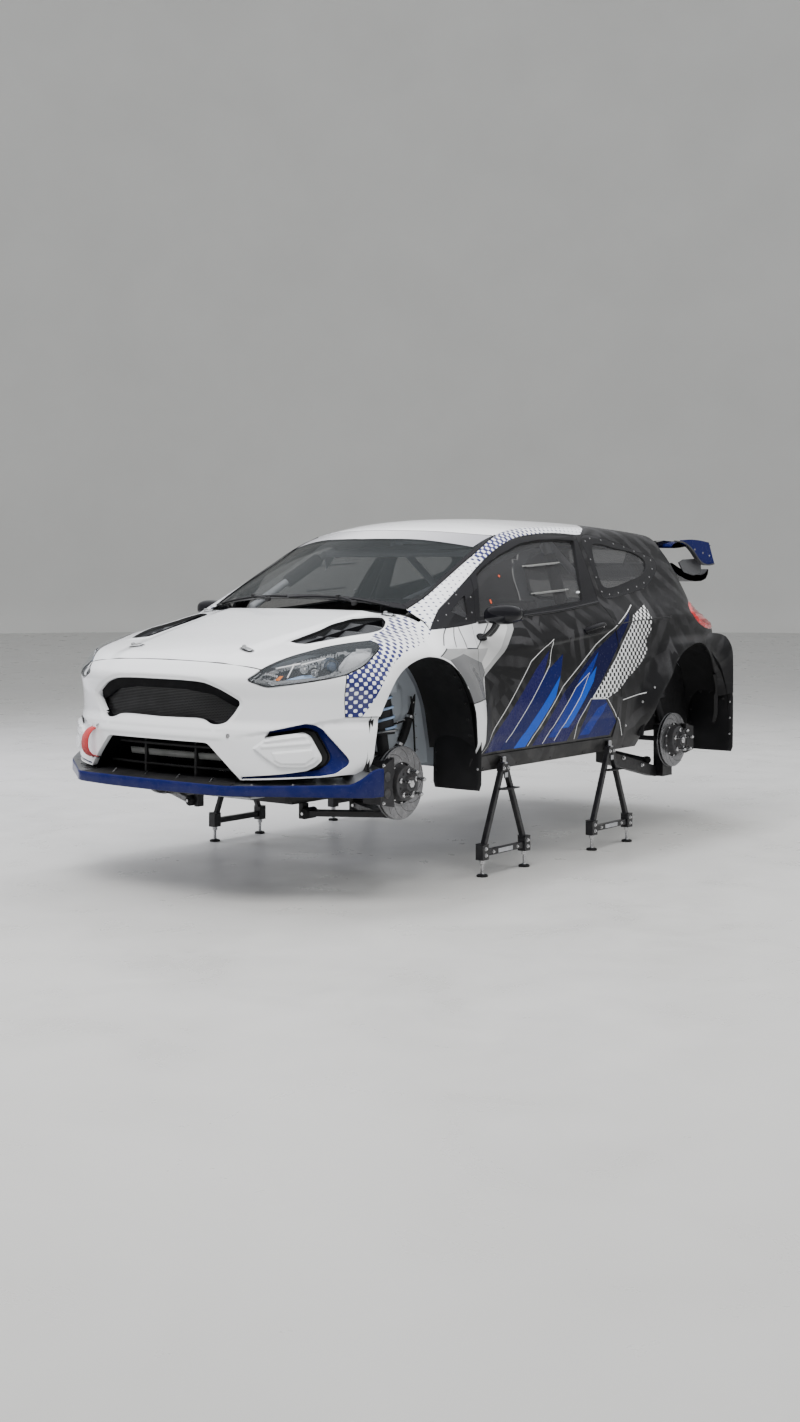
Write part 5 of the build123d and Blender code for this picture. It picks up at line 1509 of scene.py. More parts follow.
FPROJ = Round(0.10, True, 0.9)
fog_zone = np.vstack([on_front(F_low, lines([(.46, .555), (.50, .70), (.56, .77)], 0.03)), [(0.70, -0.58, 0.79), (0.80, -0.47, 0.70), (0.825, -0.44, 0.60), (0.74, -0.54, 0.545)]])
crease_zone = np.array([(.40, -.74, .745), (.589, -.68, .772), (.697, -.576, .80), (.80, -.45, .815), (.80, -.45, .785), (.697, -.576, .762), (.589, -.68, .738), (.42, -.75, .715)])
gz = [(x, z) for x, z in shrink(GR_XZ, -0.026)]
grille_zone = on_front(F_low, lines(gz, 0.03, True))
bumper = panel("front_bumper", F_low, FPROJ, BUM_OUT, holes=[GR_L, FOG_HOLE, mir(FOG_HOLE)[::-1]], grid=0.015,
               fine=[(fog_zone, 0.0065), (mir(fog_zone)[::-1], 0.0065), (grille_zone, 0.008), (crease_zone, 0.008), (mir(crease_zone)[::-1], 0.008)],
               mats=["white_gloss"], disp=bumper_disp, replaces=("front_bumper",), thick=0.008, flange=0.016, wall="paint", gap=0.0022)

# ------------------------------------------------------------------ body side: pillar, cantrail, quarter and sill in one
SIDE_OUT = np.vstack([
    lines([T0, KPT], 0.012)[:-1], catmull([KPT, on_top(F_all, [(.655, .213)])[0], SCREENSIDE[0]], 0.011)[:-1], catmull(SCREENSIDE, 0.012)[:-1], ROOFSIDE[:-1], GATE_SIDE[:-1],
    rev(BUMP_R)[1:], rev(ARCH_R1)[1:], on_side(F_all, lines([(1.957, .538), (1.935, .486), (.452, .480), (.408, .492), (.404, .556)], 0.014))[1:],
    SILL_TOP, rev(DOOR_REAR)[1:], BPOST[1:-1], rev(catmull(DLO, 0.012)), catmull([DLO[0], (0.757, .240, 1.200), T0], 0.012)[1:-1]])
SPROJ = Flat((-.85, 0, -.53), SIDE_OUT)
top_white = np.vstack([[T0 + np.array([.05, -.05, -.05])], lines([(0.80, .10, 1.15), (0.70, .15, 1.20), (0.60, .15, 1.22), (0.56, .25, 1.26), (0.55, .60, 1.45), (0.52, .98, 1.62), (.50, 1.2, 1.66)], 0.05),
                       lines([(.47, 1.60, 1.68), (.508, 1.900, 1.660), (.602, 1.748, 1.616), (.606, 1.690, 1.6125), (.6068, 1.640, 1.6135)], 0.05),
                       DLO[::-1][1:-1] + np.array([.010, .002, -.014]), [(.80, .25, 1.17)]])


def side_film(P):
    a, b = film_front(P), film_side(P)
    k = (P[:, 2] < 1.262) & (P[:, 1] > 1.0)
    a[k] = b[k]
    return a


body_side = panel("body_sides", F_all, SPROJ, SIDE_OUT, holes=[QOUT_L], grid=0.017, mats=SIDE_MATS, areas=[(SM["film_navy"], top_white)] + [(m, a) for m, a in LIVERY if a[:, 1].max() > 1.6],
                  film=side_film, mirror="both", replaces=("body_sides",), thick=0.004, flange=0.004)

# ------------------------------------------------------------------ doors
FRAME_D = np.array([(.545, 1.198), (.600, 1.325), (.640, 1.408)])
DOOR_TOP = catmull(DLO[2:], 0.012)
DFRONT_UP = on_side(F_all, lines([(.500, 1.176), (.540, 1.180), (.552, 1.215), (.600, 1.330), (.628, 1.401)], 0.012))
DOOR_OUT = np.vstack([DFRONT_UP, DOOR_TOP[1:-1], rev(BPOST), DOOR_REAR[1:], rev(SILL_TOP)[1:], rev(DOOR_FRONT)[1:-1]])
PANE = [(.580, 1.203), (.640, 1.332), (.672, 1.408), (.740, 1.442), (.812, 1.471), (.905, 1.502), (1.004, 1.529), (1.123, 1.562), (1.294, 1.582), (1.480, 1.587), (1.653, 1.583),
        (1.612, 1.505), (1.572, 1.427), (1.512, 1.266), (1.010, 1.226), (.700, 1.209)]
PANE_L = on_side(F_all, lines(rounded(PANE, 0.016), 0.011, True))
FRAME_AREA = side3([(.480, 1.181), (.60, 1.186), (1.010, 1.207), (1.263, 1.222), (1.740, 1.268), (1.735, 1.45), (1.70, 1.588), (1.60, 1.606), (1.30, 1.606), (1.13, 1.590), (1.0, 1.560), (.90, 1.530), (.80, 1.497), (.70, 1.455), (.62, 1.405), (.54, 1.25)])
DPROJ = Flat((-.97, 0, -.24), DOOR_OUT)
DOOR_MATS = list(SIDE_MATS)
HANDLE_HOLE = on_side(F_all, lines(rounded([(1.405, 1.118), (1.425, 1.140), (1.500, 1.150), (1.555, 1.148), (1.545, 1.122), (1.490, 1.106), (1.430, 1.103)], 0.012), 0.008, True))


def door_disp(P):
    """Shoulder crease under the handle and the pressing above the sill."""
    y, z = P[:, 1], P[:, 2]
    cz = np.interp(y, [.85, 1.0, 1.363, 1.70], [1.045, 1.058, 1.093, 1.127])
    amp = 0.006 * smooth((y - .86) / .25)
    h = -amp * smooth((cz - z) / 0.018) * smooth(1 - (cz - z) / 0.16)
    sz = np.interp(y, [.5, 1.0, 1.6], [.640, .655, .690])
    h -= 0.005 * smooth((sz - z) / 0.03) * smooth((y - .50) / .1)
    return h


fine_crease = side3([(.85, 1.065), (1.70, 1.145), (1.70, 1.095), (.85, 1.02)])
for s, nm in (("", "door_left"), ("right", "door_right")):
    panel(nm, F_all, DPROJ, DOOR_OUT, holes=[PANE_L], grid=0.017, mats=DOOR_MATS, areas=LIVERY + [(SM["gloss_black"], FRAME_AREA)], film=film_side, mirror=s or None, body=nm,
          replaces=(nm,), thick=0.008, flange=0.005, disp=door_disp, fine=[(fine_crease, 0.009)], inner="satin_black")
PANE_G = shrink(DPROJ.uv(PANE_L), -0.014)
pane3 = DPROJ.onto(F_all, PANE_G)
for s, nm in (("", "door_window_left"), ("right", "door_window_right")):
    panel(nm, F_all, DPROJ, pane3, gap=0.0, grid=0.04, mats=["smoked_glass"], inner="smoked_glass", mirror=s or None, body="door_left" if not s else "door_right", replaces=(nm,),
          thick=0.004, sink=0.0135, roll=0.0003)

# front lights and quarter windows
FL_OUT = np.vstack([catmull([T0, (0.757, .240, 1.200), DLO[0]], 0.012)[:-1], catmull(DLO[:3], 0.012)[:-1], rev(DFRONT_UP)[:-1], rev(BELT_F)[:-1]])
FL_HOLE = on_side(F_all, lines(rounded([(.372, 1.236), (.524, 1.312), (.500, 1.215), (.462, 1.206)], 0.012), 0.009, True))
FLP = Flat((-.97, 0, -.24), FL_OUT)
panel("front_lights", F_all, FLP, FL_OUT, holes=[FL_HOLE], gap=0.0022, grid=0.016, mats=["gloss_black"], mirror="both", thick=0.008, flange=0.006)
panel("front_light_panes", F_all, FLP, FLP.onto(F_all, shrink(FLP.uv(FL_HOLE), -0.010)), gap=0.0, grid=0.04, mats=["smoked_glass"], inner="smoked_glass", mirror="both",
      thick=0.004, sink=0.0095, roll=0.0003)
QP = Flat((-.85, 0, -.53), QOUT)
panel("quarter_windows", F_all, QP, QOUT_L, holes=[QIN_L], gap=0.0022, grid=0.017, mats=["gloss_black"], mirror="both", replaces=("quarter_windows",), thick=0.006, flange=0.004)
panel("quarter_panes", F_all, QP, QP.onto(F_all, shrink(QP.uv(QIN_L), -0.012)), gap=0.0, grid=0.05, mats=["smoked_glass"], inner="smoked_glass", mirror="both", thick=0.004,
      sink=0.0075, roll=0.0003)

# ------------------------------------------------------------------ roof, windscreen
half_r = np.vstack([rev(HEADER), ROOFSIDE[1:], GATE_TOP[1:]])
ROOF_OUT = np.vstack([half_r, mir(half_r)[-2:0:-1]])
RPROJ = Flat((0, 0, -1), ROOF_OUT)
ROOF_BLACK = on_top(F_high, lines([(.60, 1.762), (.508, 1.900), (.36, 2.09), (.20, 1.98), (0, 2.20), (-.20, 1.98), (-.36, 2.09), (-.508, 1.900), (-.60, 1.762), (-.66, 2.4), (-.60, 2.8), (.60, 2.8), (.66, 2.4)], 0.05, True))
ROOF_BLACK = ROOF_BLACK[~np.isnan(ROOF_BLACK).any(1)]
VENT_R = on_top(F_high, lines(rounded([(.16, 1.06), (.20, 1.34), (-.20, 1.34), (-.16, 1.06)], 0.03), 0.012, True))
panel("roof_panel", F_high, RPROJ, ROOF_OUT, grid=0.022, mats=["roof_white", "side_black"], areas=[(1, ROOF_BLACK)], replaces=("roof_panel",), thick=0.010)
SCR_BASE = on_top(F_high, [(x, .150 + .205 * x * x) for x in np.linspace(0, .606, 50)])
half_w = np.vstack([SCR_BASE, catmull(SCREENSIDE, 0.012)[1:], HEADER[1:]])
SCR_OUT = np.vstack([half_w, mir(half_w)[-2:0:-1]])
WSP = Flat((0, .80, -.60), SCR_OUT)
suv = WSP.uv(SCR_OUT)
SUNLOW = np.array([(-.80, .93, 1.46), (-.600, .819, 1.536), (-.456, .758, 1.562), (-.309, .713, 1.580), (-.15, .672, 1.583), (0, .656, 1.584), (.15, .672, 1.583), (.309, .713, 1.580), (.456, .758, 1.562),
                   (.600, .819, 1.536), (.80, .93, 1.46), (.80, 1.20, 1.80), (-.80, 1.20, 1.80)])
panel("windscreen", F_high, WSP, SCR_OUT, gap=0.0035, grid=0.040, mats=["screen_glass"], inner="screen_glass",
      replaces=("windscreen",), thick=0.005, sink=0.002, roll=0.0003)

k = Kit()
low_x = SUNLOW[1:-3, 0]
hd = np.vstack([HEADER, mir(HEADER)])
hd = hd[np.argsort(hd[:, 0])]
rows = []
xs_ = np.linspace(-.572, .572, 45)
lowp = np.stack([xs_, np.interp(xs_, low_x, SUNLOW[1:-3, 1]), np.interp(xs_, low_x, SUNLOW[1:-3, 2])], 1)
topp = np.stack([xs_, np.interp(xs_, hd[:, 0], hd[:, 1]), np.interp(xs_, hd[:, 0], hd[:, 2])], 1)
for t in np.linspace(0, .97, 7):
    q = lowp * (1 - t) + topp * t
    w = WSP.onto(F_high, WSP.uv(q))
    bad = np.isnan(w).any(1)
    w[bad] = q[bad]
    rows.append(w - grad(F_high, w) * .0009)
k.skin(rows, "sun_strip", True, False)
k.skin([r[::-1] - np.array([0, 0, .0008]) for r in rows], "black_plastic", True, False)
so = SCR_OUT
sn_ = grad(F_high, so)
st_ = np.roll(so, -2, 0) - np.roll(so, 2, 0)
st_ /= np.linalg.norm(st_, axis=1, keepdims=True)
sin_ = np.cross(sn_, st_)
cen = so.mean(0)
sgn_ = np.sign(((cen - so) * sin_).sum(1).mean())
sin_ *= sgn_
wid = np.where(so[:, 2] < 1.30, .040, .022)[:, None]
k.skin([so + sin_ * .004 - sn_ * .0012, so + sin_ * wid - sn_ * .0020], "gloss_black", True, True)
k.skin([so + sin_ * wid - sn_ * .0030, so + sin_ * .004 - sn_ * .0022], "gloss_black", True, True)
k.put("windscreen_border", slot="glass")

# ------------------------------------------------------------------ tailgate, rear window, rear bumper
half_g = np.vstack([rev(GATE_TOP), GATE_SIDE[1:], on_back(F_high, lines([(.600, .850), (0, .850)], 0.014))[1:]])
GATE_OUT = np.vstack([half_g, mir(half_g)[-2:0:-1]])
GP = Flat((0, -.88, -.48), GATE_OUT)
RG = [(0, 1.560), (.30, 1.552), (.400, 1.515), (.462, 1.440), (.495, 1.300), (.470, 1.262), (.25, 1.252), (0, 1.250)]
RG_XZ = rounded(RG + [(-x, z) for x, z in RG[-2:0:-1]], 0.02)
RG_L = on_back(F_high, lines(RG_XZ, 0.012, True))
PLATE = [(.27, .905), (.27, 1.03), (-.27, 1.03), (-.27, .905)]
PLATE_XZ = rounded(PLATE, 0.02)


def gate_disp(P):
    """Recessed number panel and the step under the window."""
    q = np.stack([P[:, 0], P[:, 2]], 1)
    d = edge_dist(PLATE_XZ, q)
    h = np.where(inside(PLATE_XZ, q), -0.020 * smooth(d / 0.02), 0.0)
    z = P[:, 2]
    x = np.abs(P[:, 0])
    h += 0.010 * smooth((z - 1.085) / 0.02) * smooth((1.125 - z) / 0.035) * smooth((.56 - x) / .1)
    h += 0.012 * smooth((1.242 - z) / 0.01) * smooth((z - 1.19) / 0.05) * smooth((.54 - x) / .1)
    return h


panel("tailgate", F_high, GP, GATE_OUT, holes=[RG_L], grid=0.016, mats=["side_black"], body="tailgate", replaces=("tailgate",), thick=0.012, flange=0.008, disp=gate_disp,
      inner="shell_grey", gap=0.0025)
panel("rear_window", F_high, GP, GP.onto(F_high, shrink(GP.uv(RG_L), -0.016)), gap=0.0, grid=0.05, mats=["smoked_glass"], inner="smoked_glass", body="tailgate", replaces=("rear_window",),
      thick=0.004, sink=0.0135, roll=0.0003)
RB_LOW = on_back(F_all, catmull([(0, .490), (.30, .490), (.52, .492), (.66, .500)], 0.014))
half_rb = np.vstack([on_back(F_all, lines([(0, .850), (.600, .850)], 0.014))[:-1], rev(BUMP_R)[:-1], ARCH_R2, on_side(F_all, lines([(2.897, .545), (2.93, .520), (2.98, .512)], 0.012))[1:],
                     on_back(F_all, catmull([(.742, .508), (.66, .500)], 0.014))[:-1], rev(RB_LOW)[:-1]])
half_rb = half_rb[~np.isnan(half_rb).any(1)]
RB_OUT = np.vstack([half_rb, [on_back(F_all, [(0, .490)])[0]], mir(half_rb)[:0:-1]])
DIFF_XZ = rounded([(.38, .515), (.33, .640), (-.33, .640), (-.38, .515)], 0.02)


def rb_disp(P):
    q = np.stack([P[:, 0], P[:, 2]], 1)
    z = P[:, 2]
    x = np.abs(P[:, 0])
    h = np.where(inside(DIFF_XZ, q), -0.030 * smooth(edge_dist(DIFF_XZ, q) / 0.02), 0.0)
    h += 0.008 * smooth((z - .70) / .02) * smooth((.85 - z) / .10)
    V_XZ = np.array([(.50, .60), (.54, .72), (.72, .72), (.74, .62)])
    q2 = np.stack([x, z], 1)
    h += np.where(inside(V_XZ, q2), -0.018 * smooth(edge_dist(V_XZ, q2) / 0.015), 0.0)
    return h


RPJ = Round(2.40, False, 0.9)
panel("rear_bumper", F_all, RPJ, RB_OUT, grid=0.016, mats=["side_black"], replaces=("rear_bumper",), thick=0.010, flange=0.012, disp=rb_disp, gap=0.0025)

# ------------------------------------------------------------------ small helpers for placed parts
def basis(n, t):
    """Rows: tangent, side, normal."""
    n = unit(n)
    t = np.asarray(t, float)
    t = unit(t - n * (t @ n))
    return np.array([t, np.cross(n, t), n])


def place(kit, P, B, pts, h0, h1, mat, smooth=False):
    """Flat outline in the tangent plane (along, across) raised from h0 to h1."""
    pts = [tuple(p) for p in pts]
    ar = sum(pts[i][0] * pts[(i + 1) % len(pts)][1] - pts[(i + 1) % len(pts)][0] * pts[i][1] for i in range(len(pts)))
    if ar < 0:
        pts = pts[::-1]
    n = len(pts)
    lo = [np.asarray(P) + B[0] * a + B[1] * b + B[2] * h0 for a, b in pts]
    hi = [np.asarray(P) + B[0] * a + B[1] * b + B[2] * h1 for a, b in pts]
    V = lo + hi
    kit.add(V, [tuple(range(n, 2 * n)), tuple(range(n))[::-1]], mat, False)
    kit.add(V, [(i, (i + 1) % n, n + (i + 1) % n, n + i) for i in range(n)], mat, smooth)


def oval(a, b, n=24, p=2.0):
    out = []
    for i in range(n):
        t = 2 * math.pi * i / n
        c, s = math.cos(t), math.sin(t)
        out.append((a * abs(c) ** (2 / p) * (1 if c >= 0 else -1), b * abs(s) ** (2 / p) * (1 if s >= 0 else -1)))
    return out


def sunk(F, P, d):
    P = np.asarray(P, float)
    return P - grad(F, P) * np.asarray(d).reshape(-1, 1) if np.ndim(d) else P - grad(F, P) * d


# ------------------------------------------------------------------ grilles
def honeycomb(kit, poly, zmax, dy, p, wall, depth, mat, zmin=-9.0):
    lo, hi = poly.min(0), poly.max(0)
    R = p / math.sqrt(3)
    C = []
    j = 0
    z = lo[1]
    while z < min(hi[1], zmax):
        x = lo[0] + (p / 2 if j % 2 else 0)
        while x < hi[0]:
            C.append((x, z))
            x += p
        z += p * 0.866
        j += 1
    C = np.array(C)
    C = C[(C[:, 1] > zmin)]
    C = C[inside(poly, C) & (edge_dist(poly, C) > -1)]
    ang = np.radians(30 + 60 * np.arange(6))
    O = np.stack([np.cos(ang), np.sin(ang)], 1)
    n = len(C)
    out = C[:, None, :] + O[None] * R
    inn = C[:, None, :] + O[None] * (R - wall)
    V = np.zeros((n, 18, 3))
    for k, (q, d) in enumerate(((out, 0.0), (inn, 0.0), (inn, depth))):
        fy = front_y(np.abs(q[..., 0].ravel()), q[..., 1].ravel()).reshape(q.shape[:2])
        V[:, 6 * k:6 * k + 6, 0] = q[..., 0]
        V[:, 6 * k:6 * k + 6, 1] = fy + dy + d
        V[:, 6 * k:6 * k + 6, 2] = q[..., 1]
    F0 = []
    for i in range(6):
        k = (i + 1) % 6
        F0.append((i, k, 6 + k, 6 + i))
        F0.append((6 + i, 6 + k, 12 + k, 12 + i))
    F0 = np.array(F0)
    b = len(kit.v)
    kit.v.extend(map(tuple, V.reshape(-1, 3).tolist()))
    m = kit.mi(mat)
    allf = (F0[None] + (np.arange(n) * 18)[:, None, None] + b).reshape(-1, 4)
    kit.f.extend(allf.tolist())
    kit.m.extend([m] * len(allf))
    kit.s.extend([False] * len(allf))


g = Kit()
honeycomb(g, shrink(GR_XZ, -0.006), 0.925, 0.050, 0.0080, 0.0011, 0.006, "mesh_grey")


def loopy(xz, dy):
    xz = np.asarray(xz, float)
    return np.stack([xz[:, 0], front_y(np.abs(xz[:, 0]), xz[:, 1]) + dy, xz[:, 1]], 1)


gx = lines(GR_XZ, 0.02, True)
g.skin([loopy(shrink(gx, -0.003), 0.020), loopy(shrink(gx, -0.004), 0.060), loopy(shrink(gx, 0.004), 0.110)], "grille_black")
# painted shade: a black band across the top of the grille opening stands for the shadow under its upper edge
shade_band_lo = [(x, np.interp(abs(x), [0, .15, .30, .40], [.913, .911, .893, .845])) for x in np.linspace(-.425, .425, 43)]
shade_band_hi = [(x, np.interp(abs(x), [0, .241, .286, .358, .40], [.974, .968, .961, .932, .905])) for x in np.linspace(-.425, .425, 43)]
g.skin([loopy(shade_band_hi, 0.026), loopy(shade_band_lo, 0.030), loopy(shade_band_lo, 0.046)], "grille_black", closed=False)
INT_XZ = np.vstack([INT_H, [(.459, .520), (-.459, .520)], (INT_H * np.array([-1, 1]))[:0:-1]])
ix = lines(INT_XZ, 0.02, True)
g.skin([loopy(shrink(ix, -0.002), 0.022), loopy(shrink(ix, 0.010), 0.100), loopy(shrink(ix, 0.024), 0.200)], "grille_black")
honeycomb(g, shrink(INT_XZ, 0.02), 0.69, 0.150, 0.0150, 0.0018, 0.008, "grille_black", 0.53)
for z0, z1, x0, x1, d, m in ((.602, .630, -.27, .405, .105, "slat_grey"), (.652, .664, -.34, .34, .085, "black_plastic"), (.560, .570, -.41, .41, .090, "black_plastic")):
    xs = np.linspace(x0, x1, 26)
    A = [(x, z1) for x in xs]
    B_ = [(x, z0) for x in xs]
    g.skin([loopy(A, d + .022), loopy(A, d), loopy(B_, d + .004), loopy(B_, d + .026)], m, True, False)
for x in (-.155, .155):
    g.box((x - .006, -.70, .53), (x + .006, -.60, .68), "black_plastic")
g.put("grilles", replaces=("grilles",), slot="grille_black")
panel("grille_back", F_low, Flat((0, 1, 0), GR_L), GR_L, gap=-0.006, grid=0.05, mats=["grille_black"], inner="grille_black", thick=0.003, sink=0.100, roll=.0002)
panel("intake_back", F_low, Flat((0, 1, 0), GR_L), on_front(F_low, shrink(ix, 0.004)), gap=0.0, grid=0.05, mats=["grille_black"], inner="grille_black", thick=0.003, sink=0.185, roll=.0002)

# ------------------------------------------------------------------ fog recess, bumper bolts, tow strap
fg = Kit()


def ring_mix(A, B, t):
    return A * (1 - t) + B * t


r_a, r_b = sunk(F_low, FO, 0.0010), sunk(F_low, FO, 0.006)
n_a = sunk(F_low, FN, 0.026)
n_b = sunk(F_low, ring_mix(FN, FI, 0.10), 0.032)
k_a = sunk(F_low, ring_mix(FN, FI, 0.22), 0.030)
k_b = sunk(F_low, ring_mix(FN, FI, 0.30), 0.044)
k_c = sunk(F_low, ring_mix(FN, FI, 0.88), 0.056)
w_a = sunk(F_low, ring_mix(FN, FI, 0.955), 0.050)
w_b = sunk(F_low, ring_mix(FN, FI, 0.965), 0.001)
fg.skin([r_a, r_b, ring_mix(r_b, n_a, 0.5), n_a], "navy_gloss", True, False)
fg.skin([n_a, n_b], "navy_gloss", False, False)
fg.skin([n_b, k_a, k_b], "gloss_black", False, False)
fg.skin([k_b, k_c, w_a], "black_plastic", True, False)
fg.skin([w_a, w_b], "gloss_black", True, False)
for k in (0, -1):
    ends = [r_a[k], n_a[k], k_b[k], k_c[k], w_b[k]]
    c = np.mean(ends, axis=0)
    fg.add(ends, [(0, 1, 4), (1, 2, 4), (2, 3, 4)], "black_plastic")
fg.mirrored()
for P in ((0.406, -0.761, 0.723), (-0.396, -0.763, 0.724), (0.690, -0.588, 0.840), (-0.690, -0.588, 0.840)):
    P = np.array(P)
    q = on_front(F_low, [(P[0], P[2])])[0]
    nn = grad(F_low, q[None])[0]
    if abs(P[0]) < .5:
        fg.bolt(q + nn * (-.001), nn, 0.0075, 0.006)
# strap and its slot
pts = catmull([(-.434, -.742, .716), (-.437, -.772, .706), (-.441, -.795, .680), (-.443, -.802, .646), (-.441, -.797, .614), (-.437, -.776, .590), (-.433, -.744, .580)], 0.008)
T = np.gradient(pts, axis=0)
T /= np.linalg.norm(T, axis=1, keepdims=True)
fg.put("fog_recesses", slot="white_paint")
st = Kit()
rings = []
for p, t in zip(pts, T):
    nrm = unit(np.cross(t, (1.0, 0, 0)))
    sd = unit(np.cross(nrm, t))
    w, th = .0215, .0030
    rings.append(np.array([p + sd * a * w + nrm * b * th for a, b in ((-1, -.6), (-1, .6), (-.85, 1), (0, 1.15), (.85, 1), (1, .6), (1, -.6), (.85, -1), (0, -1.15), (-.85, -1))]))
st.skin(rings, "red_webbing", True, True, True, True)
for k in (0, -1):
    q = pts[k]
    st.box((q[0] - .020, q[1] - .006, q[2] - .006), (q[0] + .020, q[1] + .02, q[2] + .006), "black_plastic")
for f in (0.10, 0.9):
    i = int(f * (len(pts) - 1))
    nrm = unit(np.cross(T[i], (1.0, 0, 0)))
    for a in (-.015, 0, .015):
        st.box(pts[i] + np.array([a - .0006, -.004, -.006]), pts[i] + np.array([a + .0006, .004, .006]), "line_white")
st.put("tow_strap", replaces=("tow_strap",), slot="red_webbing", bevel=0.0006, seg=1)

# ------------------------------------------------------------------ front splitter
sp = Kit()
SP = [(0, -.830, .519, .470), (.25, -.828, .519, .471), (.44, -.818, .519, .474), (.475, -.808, .520, .474), (.58, -.727, .520, .472), (.72, -.616, .521, .469), (.84, -.522, .523, .467),
      (.866, -.497, .525, .466), (.884, -.462, .538, .463), (.892, -.420, .556, .460), (.897, -.385, .573, .457), (.899, -.345, .580, .456), (.900, -.312, .578, .455)]
SP = catmull(SP, 0.014)
rings = []
for i, (x, y, zt, zb) in enumerate(SP):
    t = SP[min(i + 1, len(SP) - 1), :2] - SP[max(i - 1, 0), :2]
    t = unit(t)
    nrm = np.array([t[1], -t[0]])            # outwards
    if nrm[1] > 0 and x < .5:
        nrm = -nrm
    inn = 0.17 if x < .86 else 0.17 - (x - .86) * 2.5
    q = lambda d, z: (x - nrm[0] * d, y - nrm[1] * d, z)
    rings.append([q(inn, zt + .012), q(.012, zt - .001), q(.004, zt), q(.001, zt - .003), q(0, zt - .010), q(0, zb + .008), q(.002, zb + .002), q(.007, zb), q(.09, zb)])
R_ = np.array(rings)
xs_ = SP[:, 0]
n_in = int((xs_ < .455).sum())
for a, b, m in ((0, n_in + 1, "black_plastic"), (n_in, len(R_), "splitter_top")):
    sp.skin([R_[k, 0:3] for k in range(a, b)], m, True, False)
sp.skin([R_[k, 2:7] for k in range(len(R_))], "navy_gloss", True, False)
sp.skin([R_[k, 6:9] for k in range(len(R_))], "black_plastic", True, False)
e = R_[-1]
sp.add(list(e), [tuple(range(9))], "navy_gloss")
# fence inside the arch and lower tray
und = [(0, -.660), (.30, -.665), (.56, -.60), (.70, -.50), (.78, -.40), (.80, -.31), (.56, -.31), (.52, -.20), (0, -.20)]
sp.prism(und, 2, .466, .476, "black_plastic")
sp.mirrored()
for x in (-.30, -.10, .10, .30):
    sp.rod((x, -.79, .50), (x, -.74, .535), .004, "bright_steel", 10)
for s in (1, -1):
    for x, y in ((.52, -.735), (.66, -.63), (.80, -.52)):
        sp.bolt((s * x, y, .5195), (0, 0, 1), .006, .004, "bright_steel")
    sp.box((s * .60 - .01, -.60, .44), (s * .60 + .01, -.40, .47), "black_plastic")
# two round housings hanging under the nose
for x, y, r in ((-.10, -.50, .060), (.05, -.44, .050)):
    sp.lathe((x, y, .470), (0, 0, -1), [(r, 0), (r, .010), (r * .92, .028), (r * .7, .040), (r * .25, .044), (.001, .044)], "gloss_black", 28)
sp.put("front_splitter", replaces=("front_splitter",), slot="navy_paint")

# ------------------------------------------------------------------ bonnet fittings: vents, pins
for s, nm in ((1, "left"), (-1, "right")):
    L = VENT_L if s > 0 else mir(VENT_L)[::-1]

    def tray(P):
        return -0.010 - 0.036 * smooth((P[:, 1] + .40) / .34)
    panel("bonnet_vent_" + nm, F_low, BPROJ, L, gap=-0.003, grid=0.016, mats=["carbon"], inner="carbon", thick=0.003, disp=tray, body="bonnet", roll=.0003)
    v = Kit()
    top = sunk(F_low, L, 0.0035)
    bot = sunk(F_low, L, 0.048)
    v.skin([top, sunk(F_low, L, 0.016), bot], "carbon", True, True)
    # louvres: ramps with a sharp crest, and one long divider
    for y0, xa, xb in ((-.265, .462, .600), (-.150, .452, .640), (-.030, .462, .640)):
        xs = np.linspace(xa, xb, 9)
        c = on_top(F_low, [(s * x, y0 + .02 + .10 * (x - .55)) for x in xs])
        f = on_top(F_low, [(s * x, y0 - .058 + .10 * (x - .55)) for x in xs])
        b2 = on_top(F_low, [(s * x, y0 + .034 + .10 * (x - .55)) for x in xs])
        crest = sunk(F_low, c, 0.010)
        crest[:, 2] -= 0.010 * np.abs(np.linspace(-1, 1, 9)) ** 2
        v.skin([sunk(F_low, f, 0.042), crest, sunk(F_low, b2, 0.014), sunk(F_low, b2, 0.046)], "carbon", False, False)
    div = on_top(F_low, [(s * x, y) for x, y in ((.505, -.40), (.515, -.30), (.530, -.15), (.556, 0.0), (.580, .075))])
    v.skin([sunk(F_low, div, 0.006) + np.array([s * .002, 0, 0]), sunk(F_low, div, 0.050) + np.array([s * .003, 0, 0]), sunk(F_low, div, 0.050) - np.array([s * .003, 0, 0]),
            sunk(F_low, div, 0.006) - np.array([s * .002, 0, 0])], "gloss_black", False, False)
    v.put("vent_louvres_" + nm, "bonnet", slot="white_paint")

pins = Kit()
for x, y, ang in ((-.317, -.599, 10), (.350, -.580, -12), (-.571, .137, 4), (.571, .137, -4)):
    P = on_top(F_low, [(x, y)])[0]
    nn = grad(F_low, P[None])[0]
    a = math.radians(ang)
    B = basis(nn, (math.cos(a), math.sin(a), 0))
    place(pins, P, B, oval(.042, .021, 28, 2.6), -.002, .0026, "bright_steel")
    place(pins, P, B, oval(.034, .015, 24, 2.4), .0026, .0040, "gloss_black")
    place(pins, P + B[0] * .004, B, oval(.026, .0105, 20, 3), .0040, .0100, "chrome")
    pins.lathe(P - B[0] * .018, nn, [(.0100, .002), (.0100, .014), (.008, .0175), (.001, .018)], "chrome", 18)
    pins.lathe(P + B[0] * .022, nn, [(.0055, .002), (.0055, .0078), (.004, .009), (.001, .0092)], "bright_steel", 14)
    pins.rod(P - B[0] * .018 + nn * .007 - B[1] * .010, P - B[0] * .018 + nn * .007 + B[1] * .010, .0016, "bright_steel", 8)
    for sx in (-1, 1):
        pins.lathe(P + B[0] * sx * .029, nn, [(.0028, .002), (.0022, .0036), (.0005, .004)], "black_steel", 10)
pins.put("bonnet_pins", "bonnet", slot="white_paint")

